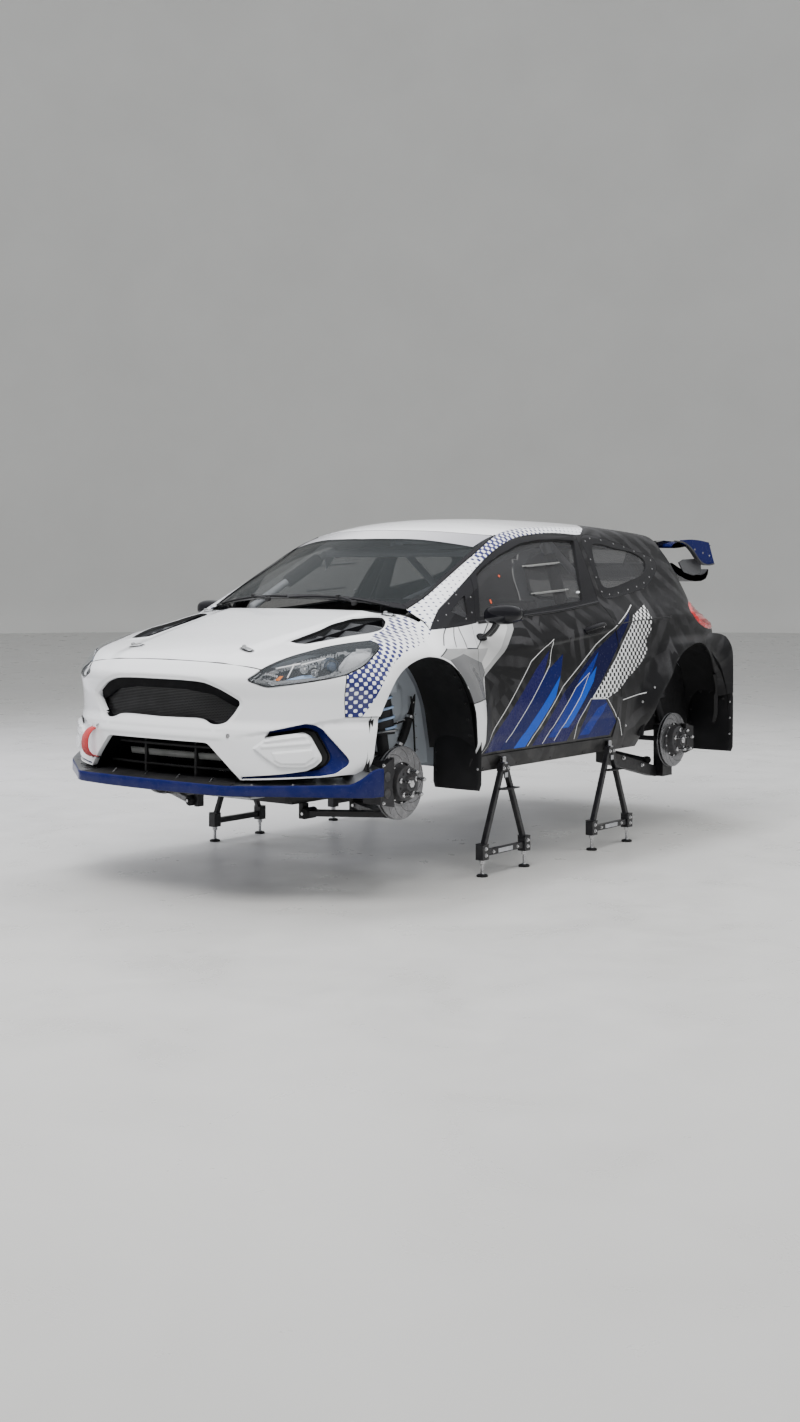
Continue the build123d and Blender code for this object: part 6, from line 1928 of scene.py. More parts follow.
# ------------------------------------------------------------------ cowl and wipers
cw_half = np.vstack([on_top(F_low, [(x, .096 + .22 * x * x) for x in np.linspace(0, .600, 40)]), on_top(F_low, [(x, .156 + .205 * x * x) for x in np.linspace(.612, 0, 40)])])
CW = np.vstack([on_top(F_low, [(x, .099 + .22 * x * x) for x in np.linspace(-.640, .640, 80)]), on_top(F_low, [(x, .168 + .205 * x * x) for x in np.linspace(.625, -.625, 80)])])
panel("cowl_panel", F_low, BPROJ, CW, gap=0.0, grid=0.018, mats=["black_plastic"], inner="black_plastic", thick=0.004, sink=0.013, roll=.0004)
w = Kit()


def scr(x, y, lift):
    P = on_top(F_high, [(x, y)])[0]
    return P + grad(F_high, P[None])[0] * lift


for piv, b0, b1 in (((.36, .150), (.53, .199), (-.04, .144)), ((-.16, .128), (-.06, .152), (-.54, .204))):
    p0 = scr(piv[0], piv[1], .006)
    p1 = scr(piv[0], piv[1], .020)
    w.lathe(p0, (0, -.3, 1), [(.014, 0), (.014, .011), (.011, .018), (.001, .020)], "black_plastic", 20)
    bm = scr(*(np.array(b0) * .5 + np.array(b1) * .5), .013)
    w.tube([p1, (p1 + bm) / 2 + np.array([0, 0, .003]), bm], .0055, "satin_black", 10, False, True, .02)
    bl = [scr(*(np.array(b0) * (1 - t) + np.array(b1) * t), .010) for t in np.linspace(0, 1, 9)]
    w.tube(bl, .0042, "satin_black", 8, False, True, .03)
    bl2 = [scr(*(np.array(b0) * (1 - t) + np.array(b1) * t), .003) for t in np.linspace(0, 1, 9)]
    w.skin([[q + np.array([0, .0012, 0]) for q in bl2], [q + np.array([0, .002, 0]) for q in bl], [q - np.array([0, .002, 0]) for q in bl], [q - np.array([0, .0012, 0]) for q in bl2]], "seal_rubber", False, False)
    w.box(bm - .009, bm + .009, "black_plastic")
for i in range(28):
    x = -.56 + i * .0415
    q = on_top(F_low, [(x, .128 + .215 * x * x)])[0] - np.array([0, 0, .0125])
    w.box(q - np.array([.012, .0022, 0]), q + np.array([.012, .0022, .003]), "gloss_black")
w.put("cowl_and_wipers", replaces=("cowl_and_wipers",), slot="black_plastic", bevel=.0008, seg=1)

# ------------------------------------------------------------------ headlights
LP = Flat((-.5, .65, -.57), LAMP_LOOP)
LAMP_UV = LP.uv(LAMP_LOOP)
WIN = np.array([(0.521, -0.663, 0.980), (0.557, -0.606, 1.011), (0.608, -0.536, 1.032), (0.644, -0.441, 1.051), (0.661, -0.335, 1.072), (0.675, -0.304, 1.077), (0.703, -0.285, 1.076),
                (0.726, -0.353, 1.058), (0.746, -0.407, 1.032), (0.751, -0.442, 1.004), (0.737, -0.479, 0.986), (0.698, -0.536, 0.972), (0.641, -0.599, 0.963), (0.602, -0.631, 0.960),
                (0.578, -0.648, 0.956), (0.554, -0.660, 0.962)])
BLUE = np.array([(0.601, -0.631, 0.963), (0.623, -0.604, 0.980), (0.662, -0.559, 0.990), (0.700, -0.520, 0.989), (0.706, -0.526, 0.974), (0.641, -0.599, 0.964)])
SIL1 = np.array([(0.527, -0.661, 0.980), (0.552, -0.631, 0.995), (0.571, -0.647, 0.969), (0.552, -0.660, 0.965)])
AMB = np.array([(0.564, -0.646, 0.977), (0.572, -0.622, 0.994), (0.587, -0.616, 0.992), (0.582, -0.640, 0.971)])
SIDEP = np.array([(0.703, -0.285, 1.076), (0.726, -0.353, 1.058), (0.746, -0.407, 1.032), (0.752, -0.451, 0.993), (0.771, -0.427, 0.987), (0.796, -0.364, 1.006), (0.790, -0.258, 1.061),
                  (0.731, -0.175, 1.098), (0.716, -0.185, 1.098), (0.710, -0.258, 1.080)])
WIN_UV = LP.uv(lines(WIN, 0.006, True))
cut_lo = LP.uv(np.array([(0.554, -0.660, 0.962)]))


def lamp_disp(P):
    q = LP.uv(P)
    ins = inside(WIN_UV, q)
    d = edge_dist(WIN_UV, q)
    h = np.where(ins, -0.020 * smooth(d / 0.007), 0.0)
    dl = edge_dist(LAMP_UV, q)
    h = h + 0.0245 * smooth(1 - dl / 0.014)
    h = h + np.where(~ins, 0.0035 * smooth(1 - np.abs(d - 0.010) / 0.006), 0.0)
    return h


for mode, nm in ((None, "left"), ("right", "right")):
    panel("headlight_inner_" + nm, F_low, LP, LAMP_LOOP, gap=0.0035, grid=0.0075, mats=["lamp_silver", "lamp_black", "lamp_blue", "chrome", "amber_lens", "lamp_grey"],
          areas=[(5, SIDEP), (1, WIN), (2, BLUE), (3, SIL1), (4, AMB)], inner="black_plastic", thick=0.004, sink=0.034, disp=lamp_disp, mirror=mode, roll=.0003)
panel("headlights", F_low, LP, LAMP_LOOP, gap=0.0038, grid=0.011, mats=["lamp_glass"], inner="lamp_glass", thick=0.0028, sink=-0.001, mirror="both", replaces=("headlights",), roll=.0008)
h = Kit()
# black rim round the whole edge of the lamp
low = sunk(F_low, LAMP_LOW, 0.0)
hd = Kit()
loop = LP.onto(F_low, shrink(LAMP_UV, 0.0045))
nn = grad(F_low, loop)
rim = LP.onto(F_low, shrink(LAMP_UV, 0.0015))
nr = grad(F_low, rim)
h.skin([rim - nr * .014, rim - nr * .0015, loop - nn * .0005, loop - nn * .004], "gloss_black", False, True)
look = unit(np.array([-.50, .60, -.12]))
fw = -unit(np.array([0.30, -.92, .05])) * -1.0
fw = unit(np.array([0.30, -.93, .06]))
PC = np.array((.722, -.452, 1.014))
# bowl with stepped rings and the projector's glass eye
h.lathe(PC - fw * .020, fw, [(.006, 0), (.020, .002), (.026, .010), (.029, .020), (.0315, .021), (.032, .024), (.036, .026), (.039, .034), (.0405, .036)], "chrome", 40, False)
h.lathe(PC - fw * .012, fw, [(.0255, .0), (.0255, .006), (.0235, .013), (.017, .020), (.009, .0235), (.0005, .0245)], "lamp_eye", 36, False)
h.lathe(PC - fw * .012, fw, [(.0262, .0), (.0275, .008), (.0262, .009)], "lamp_grey", 36, False)
# facetted reflector left of it
R0_ = np.array((.672, -.508, 1.008))
for k, (cx, cy, cz, r) in enumerate(((.672, -.500, 1.014, .024), (.652, -.545, 1.006, .019), (.690, -.520, .990, .015))):
    c0 = np.array((cx, cy, cz))
    h.lathe(c0 - fw * .012, fw, [(.003, 0), (.009, .001), (r * .62, .005), (r * .85, .011), (r, .018), (r + .002, .0185)], "chrome", 9, False, False)
    h.sphere(c0 - fw * .004, .0045, "lamp_blade", 12)
for a, b, r in (((0.556, -0.617, 1.004), (0.633, -0.545, 1.024), .0042), ((0.614, -0.567, 1.016), (0.622, -0.616, .968), .0030), ((0.640, -0.548, 1.020), (0.700, -0.455, 1.045), .0032)):
    a, b = np.array(a) + np.array([0, -.006, .004]), np.array(b) + np.array([0, -.006, .004])
    h.tube([a, (a + b) / 2, b], r, "lamp_blade", 10, False, False)
for f in np.linspace(.1, .9, 6):
    q = np.array((0.527, -0.658, 0.985)) * (1 - f) + np.array((0.585, -0.636, 0.972)) * f
    h.sphere(q + np.array([0, -.004, .004]), .006, "chrome", 10, (1, 1, 1.2))
h.add([(0.735, -.300, 1.086), (0.775, -.235, 1.085), (0.765, -.230, 1.072), (0.740, -.310, 1.070)], [(0, 1, 2, 3)], "chrome")
h.mirrored()
h.put("headlight_details", slot="lamp_glass")

# ------------------------------------------------------------------ mirrors
def pod(kit, c, h, mat, p=2.6, n=28, m=18, shape=None):
    """Rounded pod: superellipsoid, squeezed by shape(u) along x."""
    V, Fc = [], []
    for i in range(m + 1):
        a = math.pi * i / m
        for j in range(n):
            b = 2 * math.pi * j / n
            cx = -math.cos(a)
            r = math.sin(a) ** (2 / p)
            ex = abs(cx) ** (2 / p) * (1 if cx > 0 else -1)
            cy, cz = math.cos(b), math.sin(b)
            y = abs(cy) ** (2 / p) * (1 if cy > 0 else -1) * r
            z = abs(cz) ** (2 / p) * (1 if cz > 0 else -1) * r
            k = shape(ex) if shape else 1.0
            V.append((c[0] + h[0] * ex, c[1] + h[1] * y * k, c[2] + h[2] * z * k + 0.004 * ex))
    for i in range(m):
        for j in range(n):
            k = (j + 1) % n
            Fc.append((i * n + j, i * n + k, (i + 1) * n + k, (i + 1) * n + j))
    kit.add(V, Fc, mat, True)


for s, nm in ((1, "left"), (-1, "right")):
    k = Kit()
    pod(k, (.932, .544, 1.220), (.096, .060, .0465), "gloss_black", 2.7, 32, 22, lambda u: 1.0 - .10 * max(u, 0) ** 2 - .04 * max(-u, 0))
    # glass in the rear face, with a lip
    gl = [(.932 + a, 1.220 + b) for a, b in oval(.078, .035, 32, 3.2)]
    gl2 = [(.932 + a, 1.220 + b) for a, b in oval(.074, .0315, 32, 3.2)]
    r1 = [(x, .590, z) for x, z in gl]
    r2 = [(x, .6060, z) for x, z in gl]
    r3 = [(x, .6030, z) for x, z in gl2]
    k.skin([r1, r2, r3], "gloss_black", False)
    k.add(r3, [tuple(range(len(r3)))[::-1]], "chrome")
    # stem: two-legged foot down to the door
    for (a, b), (c_, d_) in (((.905, .528), (.850, .503)), ((.898, .556), (.848, .541))):
        ring = []
        for t in np.linspace(0, 1, 7):
            x, y, z = a * (1 - t) + c_ * t, b * (1 - t) + d_ * t, 1.190 * (1 - t) + 1.115 * t
            x = x + .012 * math.sin(math.pi * t)
            w_ = .012 + .005 * abs(t - .4)
            ring.append([(x + w_ * math.cos(q) * .8, y + w_ * math.sin(q) * 1.5, z) for q in np.linspace(0, 2 * math.pi, 14, endpoint=False)])
        k.skin(ring[::-1], "gloss_black", True, True, True, True)
    P = on_side(F_all, [(.523, 1.112)])[0]
    nn_ = grad(F_all, P[None])[0]
    B = basis(nn_, (0, 1, -.1))
    place(k, P, B, oval(.036, .019, 26, 2.6), -.002, .006, "gloss_black")
    for q in (-.029, .029):
        k.bolt(P + B[0] * q + nn_ * .005, nn_, .004, .003, "black_steel", False)
    if s < 0:
        k.flip()
    k.put("mirror_" + nm, "door_" + nm, ("mirror_" + nm,), "gloss_black", .0008, 1)

# ------------------------------------------------------------------ door and window fittings
for s, nm in ((1, "left"), (-1, "right")):
    k = Kit()
    P = on_side(F_all, [(1.502, 1.1275)])[0]
    nn_ = grad(F_all, P[None])[0]
    B = basis(nn_, (0, 1, .16))
    place(k, P, B, oval(.100, .030, 36, 2.5), -.004, .0012, "gloss_black")
    place(k, P, B, oval(.092, .024, 36, 2.5), .0012, .0016, "seal_rubber")
    hb = [P + B[0] * a + nn_ * o + B[1] * c for a, o, c in ((-.104, .002, .004), (-.092, .014, .004), (-.060, .024, .003), (0, .028, .002), (.060, .024, .001), (.088, .013, 0), (.097, .002, 0))]
    hp = catmull(hb, .008)
    rings = []
    for i, q in enumerate(hp):
        f = i / (len(hp) - 1)
        ww = .0125 - .003 * abs(2 * f - 1) ** 2
        rings.append([q + B[1] * ww * math.cos(a) + nn_ * .0055 * math.sin(a) for a in np.linspace(0, 2 * math.pi, 16, endpoint=False)])
    k.skin(rings, "gloss_black", True, True, True, True)
    k.lathe(P + B[0] * .082 - B[1] * .002, nn_, [(.0085, .001), (.0085, .0035), (.007, .0045), (.001, .0045)], "bright_steel", 22)
    # belt moulding and window seal
    bl = on_side(F_all, catmull([(.545, 1.1805), (.700, 1.187), (1.010, 1.2075), (1.263, 1.2225), (1.648, 1.258)], .03))
    bn = grad(F_all, bl)
    sec = [(-.007, .0), (-.0065, .0045), (-.002, .0070), (.004, .0062), (.0075, .003), (.008, .0)]
    rings = [[p + n_ * b + np.cross(n_, (0, 1.0, 0)) * -a for a, b in sec] for p, n_ in zip(bl, bn)]
    k.skin(rings, "gloss_black", True, False)
    sl = DPROJ.onto(F_all, shrink(DPROJ.uv(PANE_L), 0.002))
    sn = grad(F_all, sl)
    sl2 = DPROJ.onto(F_all, shrink(DPROJ.uv(PANE_L), 0.0095))
    sn2 = grad(F_all, sl2)
    k.skin([sl - sn * .004, sl - sn * .0085, sl2 - sn2 * .0105, sl2 - sn2 * .0135], "seal_rubber", True, True)
    # sliding pane: rails, rod, latch, marks
    for (a, b) in (((.671, 1.078, 1.450), (.669, 1.428, 1.470)), ((.728, 1.073, 1.313), (.728, 1.420, 1.332))):
        ys = np.linspace(a[1], b[1], 12)
        q = on_side(F_all, [(y, a[2] + (b[2] - a[2]) * (y - a[1]) / (b[1] - a[1])) for y in ys])
        n2 = grad(F_all, q)
        up_ = unit(np.cross((0, 1.0, 0), n2[5])) * -1.0
        up_ = up_ if up_[2] > 0 else -up_
        k.skin([q + up_ * .0034 - n2 * .0135, q + up_ * .0034 - n2 * .0085, q - up_ * .0034 - n2 * .0085, q - up_ * .0034 - n2 * .0135], "slat_grey", False, False)
        k.rod(q[1] - n2[1] * .007 - up_ * .007, q[-2] - n2[-2] * .007 - up_ * .007, .0014, "bright_steel", 8)
        for j in (1, 10):
            k.lathe(q[j] - n2[j] * .0075, n2[j], [(.0045, 0), (.004, .002), (.001, .003)], "bright_steel", 12)
    for (yy, zz), mt, ww, hh in (((.861, 1.403), "orange_mark", .008, .006), ((.725, 1.281), "orange_mark", .006, .011), ((1.502, 1.315), "lamp_blade", .014, .006)):
        q = on_side(F_all, [(yy, zz)])[0]
        n2 = grad(F_all, q[None])[0]
        b2 = basis(n2, (0, 1, .1))
        place(k, q, b2, oval(ww, hh, 18, 3.0), -.0125, -.0118 if mt == "orange_mark" else -.006, mt)
    if s < 0:
        k.flip()
    k.put("door_fittings_" + nm, "door_" + nm, (), "satin_black")
k = Kit()
for yy, zz in ((.531, 1.228), (.335, 1.221), (.471, 1.200), (.262, 1.196), (.560, 1.300), (.470, 1.312), (.392, 1.272)):
    q = on_side(F_all, [(yy, zz)])[0]
    if np.isnan(q).any():
        continue
    n2 = grad(F_all, q[None])[0]
    k.lathe(q - n2 * .0004, n2, [(.0042, 0), (.0036, .0016), (.0006, .0022)], "bright_steel", 12)
for f in np.linspace(0, 1, 19)[:-1]:
    i = int(f * (len(QOUT_L) - 1))
    j = int(f * (len(QIN_L) - 1))
    q = QOUT_L[i] * .62 + QIN_L[np.argmin(((QIN_L - QOUT_L[i]) ** 2).sum(1))] * .38
    q = on_side(F_all, [(q[1], q[2])])[0]
    if np.isnan(q).any():
        continue
    n2 = grad(F_all, q[None])[0]
    k.lathe(q - n2 * .0004, n2, [(.0044, 0), (.0038, .0016), (.0006, .0022)], "bright_steel", 12)
# moulding lines and small marks of the quarter panel
for pts_, w_ in ((((2.030, 1.1590), (2.16, 1.1655), (2.302, 1.1700)), .0045), (((1.700, 1.140), (1.80, 1.150), (2.0, 1.162)), .0025)):
    q = on_side(F_all, catmull(pts_, .02))
    n2 = grad(F_all, q)
    up_ = np.cross(n2, (0, 1.0, 0))
    k.skin([q - up_ * w_ + n2 * .0002, q - up_ * w_ * .5 + n2 * .0016, q + up_ * w_ * .5 + n2 * .0016, q + up_ * w_ + n2 * .0002], "gloss_black", True, False)
for yy, zz in ((1.924, .728), (1.790, .610), (2.02, .80)):
    q = on_side(F_all, [(yy, zz)])[0]
    n2 = grad(F_all, q[None])[0]
    k.bolt(q - n2 * .001, n2, .005, .004, "bright_steel")
# sill: jacking tube ends and screws
for yy in (.52, .80, 1.10, 1.40, 1.80):
    q = on_side(F_all, [(yy, .500)])[0]
    n2 = grad(F_all, q[None])[0]
    k.lathe(q - n2 * .0006, n2, [(.006, 0), (.005, .002), (.001, .003)], "black_steel", 14)
# screen edge trim along the pillar
tr = catmull(SCREENSIDE, .02)
tn = grad(F_high, tr)
td = np.gradient(tr, axis=0)
td /= np.linalg.norm(td, axis=1, keepdims=True)
ts_ = np.cross(td, tn)
k.skin([tr - ts_ * .005 + tn * .0002, tr - ts_ * .003 + tn * .0035, tr + ts_ * .003 + tn * .0035, tr + ts_ * .005 + tn * .0002], "seal_rubber", True, False)
k.mirrored()
k.put("side_fittings", slot="satin_black")

# painted shade: black strips set under the door and bonnet shut lines so the gaps read dark
def gap_shade_strips(name, F, loops, body="chassis", w_=0.016, d=0.016, closed=True, mirror=True, slot="satin_black"):
    k = Kit()
    for L, cl in loops:
        n2 = grad(F, L)
        t = np.roll(L, -1, 0) - np.roll(L, 1, 0) if cl else np.gradient(L, axis=0)
        t /= np.maximum(np.linalg.norm(t, axis=1, keepdims=True), 1e-9)
        sd = np.cross(n2, t)
        rings = [L - sd * w_ - n2 * d, L - sd * w_ * .5 - n2 * (d + .003), L + sd * w_ * .5 - n2 * (d + .003), L + sd * w_ - n2 * d]
        k.skin(rings, "liner_black", True, cl)
    if mirror:
        k.mirrored()
    return k.put(name, body, slot=slot)


gap_shade_strips("door_gap_shade", F_all, [(DOOR_REAR[1:-1], False), (SILL_TOP[SILL_TOP[:, 1] > .545][:-1], False), (BPOST[1:-1], False)], d=.026)
gap_shade_strips("front_gap_shade", F_low, [(catmull(BONLINE, .02), False), (BONSIDE, False), (SEAM[1:], False)], d=.020)

# ------------------------------------------------------------------ tail lights
TL = on_side(F_all, [(2.578, 1.190), (2.609, 1.144), (2.707, 1.100), (2.83, 1.086)])
TLr = on_back(F_all, [(.745, 1.092), (.660, 1.100), (.645, 1.155), (.668, 1.235)])
TLt = on_side(F_all, [(2.745, 1.252), (2.640, 1.226)])
TAIL = np.vstack([catmull(np.vstack([TL, TLr[:1]]), .012), catmull(np.vstack([TLr]), .012)[1:], catmull(np.vstack([TLr[-1:], TLt, TL[:1]]), .012)[1:-1]])
TPJ = Flat((-.62, -.72, -.30), TAIL)
TUV = TPJ.uv(TAIL)


def tail_disp(P):
    d = edge_dist(TUV, TPJ.uv(P))
    z = P[:, 2]
    return 0.010 * smooth(d / 0.016) + 0.0016 * np.sin((z - 1.0) * 2 * math.pi / .022) * smooth(d / 0.02)


t_in = TPJ.onto(F_all, shrink(TUV, 0.020))
t_mid = np.array([(.86, 2.60, 1.165), (.86, 2.95, 1.165), (.62, 3.02, 1.165), (.62, 3.02, 1.20), (.86, 2.95, 1.20), (.86, 2.60, 1.20)])
panel("tail_lights", F_all, TPJ, TAIL, gap=0.002, grid=0.009, mats=["red_lens", "red_lens_dark"], areas=[(1, t_in), (0, t_mid)], disp=tail_disp, mirror="both", replaces=("tail_lights",),
      thick=0.006, inner="black_plastic")

# ------------------------------------------------------------------ rear wing
k = Kit()


def foil(kit, prof_fn, xs, mat, caps=True):
    rings = [[(x, y, z) for y, z in prof_fn(x)] for x in xs]
    kit.skin(rings, mat, True, True, caps, caps)


def upper(x):
    u = abs(x) / .60
    dz = -.006 * u ** 2
    pts = [(2.760, 1.566), (2.775, 1.580), (2.840, 1.592), (2.960, 1.597), (3.080, 1.592), (3.190, 1.583), (3.235, 1.579), (3.236, 1.575), (3.180, 1.573), (3.080, 1.575), (2.960, 1.570), (2.860, 1.560), (2.790, 1.556), (2.764, 1.558)]
    return [(y, z + dz) for y, z in pts]


def lower(x):
    pts = [(2.802, 1.462), (2.822, 1.466), (2.900, 1.440), (3.000, 1.412), (3.100, 1.396), (3.180, 1.394), (3.232, 1.408), (3.262, 1.430), (3.268, 1.424), (3.262, 1.398), (3.235, 1.372), (3.180, 1.358), (3.100, 1.356), (3.000, 1.366), (2.900, 1.394), (2.830, 1.430), (2.806, 1.450)]
    return pts


foil(k, upper, np.linspace(-.592, .592, 25), "navy_gloss")
foil(k, lower, np.linspace(-.560, .560, 25), "carbon_wing")
# trailing flap strip with screws
for x in np.linspace(-.52, .52, 9):
    k.lathe((x, 3.150, 1.5862), (0, 0, 1), [(.004, 0), (.0035, .0015), (.0005, .002)], "bright_steel", 10)
ep = catmull([(2.862, 1.598), (2.980, 1.603), (3.110, 1.597), (3.196, 1.588)], .02).tolist() + [(3.212, 1.560), (3.245, 1.498), (3.262, 1.470), (3.258, 1.460)] + \
    catmull([(3.250, 1.456), (3.180, 1.452), (3.110, 1.462), (3.050, 1.490), (3.000, 1.528), (2.940, 1.560), (2.868, 1.578)], .015).tolist()
k.prism(ep, 0, .590, .602, "navy_gloss")
edge = catmull([(3.252, 1.458), (3.180, 1.451), (3.110, 1.461), (3.050, 1.489), (3.000, 1.527), (2.940, 1.560), (2.866, 1.583), (2.800, 1.588)], .015)
rings = []
for (y, z), (ty, tz) in zip(edge, np.gradient(edge, axis=0)):
    L = math.hypot(ty, tz)
    ny, nz = -tz / L, ty / L
    rings.append([(.582, y, z), (.610, y + ny * .001, z + nz * .001), (.612, y - ny * .006, z - nz * .006), (.584, y - ny * .008, z - nz * .008)])
k.skin(rings, "carbon", False, True, True, True)
lp = [(2.905, 1.468), (2.960, 1.486), (3.080, 1.490), (3.172, 1.484), (3.176, 1.412), (3.080, 1.392), (2.960, 1.412)]
k.prism(lp, 0, .553, .561, "carbon_wing")
for x in (.245,):
    py = [(2.800, 1.452), (2.842, 1.520), (2.850, 1.566), (2.985, 1.572), (2.972, 1.520), (2.985, 1.470), (2.960, 1.420), (2.870, 1.425)]
    k.prism(py, 0, x - .0055, x + .0055, "gloss_black")
    ft = [(2.655, 1.588), (2.70, 1.604), (2.80, 1.590), (2.86, 1.575), (2.86, 1.556), (2.78, 1.552), (2.70, 1.560)]
    k.prism(ft, 0, x - .0075, x + .0075, "gloss_black")
    for y, z in ((2.875, 1.455), (2.93, 1.455), (2.88, 1.545), (2.94, 1.550)):
        k.bolt((x + .0055, y, z), (1, 0, 0), .0055, .004, "bright_steel")
# outer arm: black blade from the roof corner to the wing
arm = [(2.700, 1.585), (2.780, 1.596), (2.870, 1.592), (2.960, 1.575), (2.965, 1.560), (2.880, 1.556), (2.790, 1.562), (2.720, 1.566)]
k.prism(arm, 0, .455, .530, "gloss_black")
for y in (3.02, 3.12, 3.20):
    k.bolt((.602, y, 1.545 - (y - 3.02) * .2), (1, 0, 0), .0045, .003, "bright_steel")
k.mirrored()
# spoiler root at the roof edge
def root(x):
    u = abs(x) / .50
    f = .018 * u ** 2
    return [(2.735 - f, 1.600 - f * .4), (2.80 - f, 1.601 - f * .5), (2.86, 1.594 - f * .5), (2.90, 1.586 - f * .5), (2.90, 1.570 - f * .5), (2.82, 1.566 - f * .5), (2.745 - f, 1.572 - f * .5)]


foil(k, root, np.linspace(-.50, .50, 21), "gloss_black")
k.put("rear_wing", "tailgate", ("rear_wing",), "navy_paint", .0008, 1)

# ------------------------------------------------------------------ mudflaps
k = Kit()
for (x0, x1, y, z0, z1, dy) in ((.625, .900, .4150, .408, .812, -.004), (.618, .905, 2.914, .385, .748, -.006)):
    zs = np.linspace(z0, z1, 15)
    rings = []
    for z in zs:
        f = (z - z0) / (z1 - z0)
        yy = y + dy * (1 - f) ** 2
        w0, w1 = x0, x1
        c = .030
        if f > .92:
            w1 = x1 - c * (f - .92) / .08
        if f < .05:
            w1, w0 = x1 - .010 * (.05 - f) / .05, x0 + .010 * (.05 - f) / .05
        xs = np.linspace(w0, w1, 12)
        bow = lambda x: .004 * math.sin(math.pi * (x - x0) / (x1 - x0))
        rings.append([(x, yy - .0025 - bow(x), z) for x in xs] + [(x, yy + .0025 - bow(x), z) for x in xs[::-1]])
    k.skin(rings, "flap_black", True, True, True, True)
    nx = 5
    for i in range(nx):
        x = x0 + .025 + (x1 - x0 - .06) * i / (nx - 1)
        k.rivet((x, y - .0055, z1 - .028), (0, -1, 0), .008, .004, "black_steel")
    for i in range(4):
        k.rivet((x0 + .016, y - .004, z0 + .08 + (z1 - z0 - .14) * i / 3), (0, -1, 0), .007, .004, "black_steel")
    for i in range(3):
        k.rivet((x1 - .020, y - .004, z0 + .10 + (z1 - z0 - .18) * i / 2), (0, -1, 0), .007, .004, "bright_steel")
k.mirrored()
k.put("mudflaps", replaces=("mudflaps",), slot="flap_black", bevel=.0008, seg=1)

# rear arch extension: film-covered lip above, black sheet behind the wheel
k = Kit()
lipp = catmull([(2.560, 1.018), (2.62, 1.000), (2.690, .957), (2.76, .905), (2.829, .835), (2.870, .76), (2.886, .70)], .012)
lipp = np.array([lipp[int(round(i))] for i in np.linspace(0, len(lipp) - 1, 36)])
L3 = on_side(F_all, lipp)
top3 = on_side(F_all, [(2.545 + .135 * min(1, f * 2.2) + .16 * max(0, f - .45), 1.078 + .012 * f) for f in np.linspace(0, 1, 36)])
C3 = catmull([(.800, 2.700, 1.062), (.828, 2.80, 1.066), (.849, 2.900, 1.052), (.868, 2.914, 1.034), (.890, 2.916, 1.000), (.902, 2.916, .960), (.905, 2.916, .88), (.905, 2.916, .72)], .012)
C3 = np.array([C3[int(round(i))] for i in np.linspace(0, len(C3) - 1, 36)])
good = ~(np.isnan(L3).any(1))
L3, C3 = L3[good], C3[good]
rings = []
for t in np.linspace(0, 1, 7):
    q = L3 * (1 - t) + C3 * t
    q[:, 0] += .012 * math.sin(math.pi * t)
    rings.append(q)
half_ = int(len(L3) * .58)
for a, b, mt in ((0, half_ + 1, "side_black"), (half_, len(L3), "side_black")):
    k.skin([r[a:b] for r in rings], mt, True, False)
    k.skin([r[a:b][::-1] - np.array([.004, 0, 0]) for r in rings], "flap_black", True, False)
rows = []
for z in np.linspace(.735, 1.045, 26):
    xo = float(np.interp(z, [.72, .96, 1.0, 1.034, 1.052], [.904, .901, .889, .867, .848]))
    rows.append([(x, 2.9115, z) for x in np.linspace(.62, xo, 18)] + [(x, 2.9165, z) for x in np.linspace(xo, .62, 18)])
k.skin(rows, "flap_black", True, True, True, True)
for x, z in ((.70, .80), (.80, .80), (.86, .84), (.86, .93), (.80, 1.0), (.70, 1.0), (.66, .90)):
    k.rivet((x, 2.9112, z), (0, -1, 0), .008, .004, "black_steel")
k.mirrored()
k.put("rear_arch_extension", slot="flap_black")

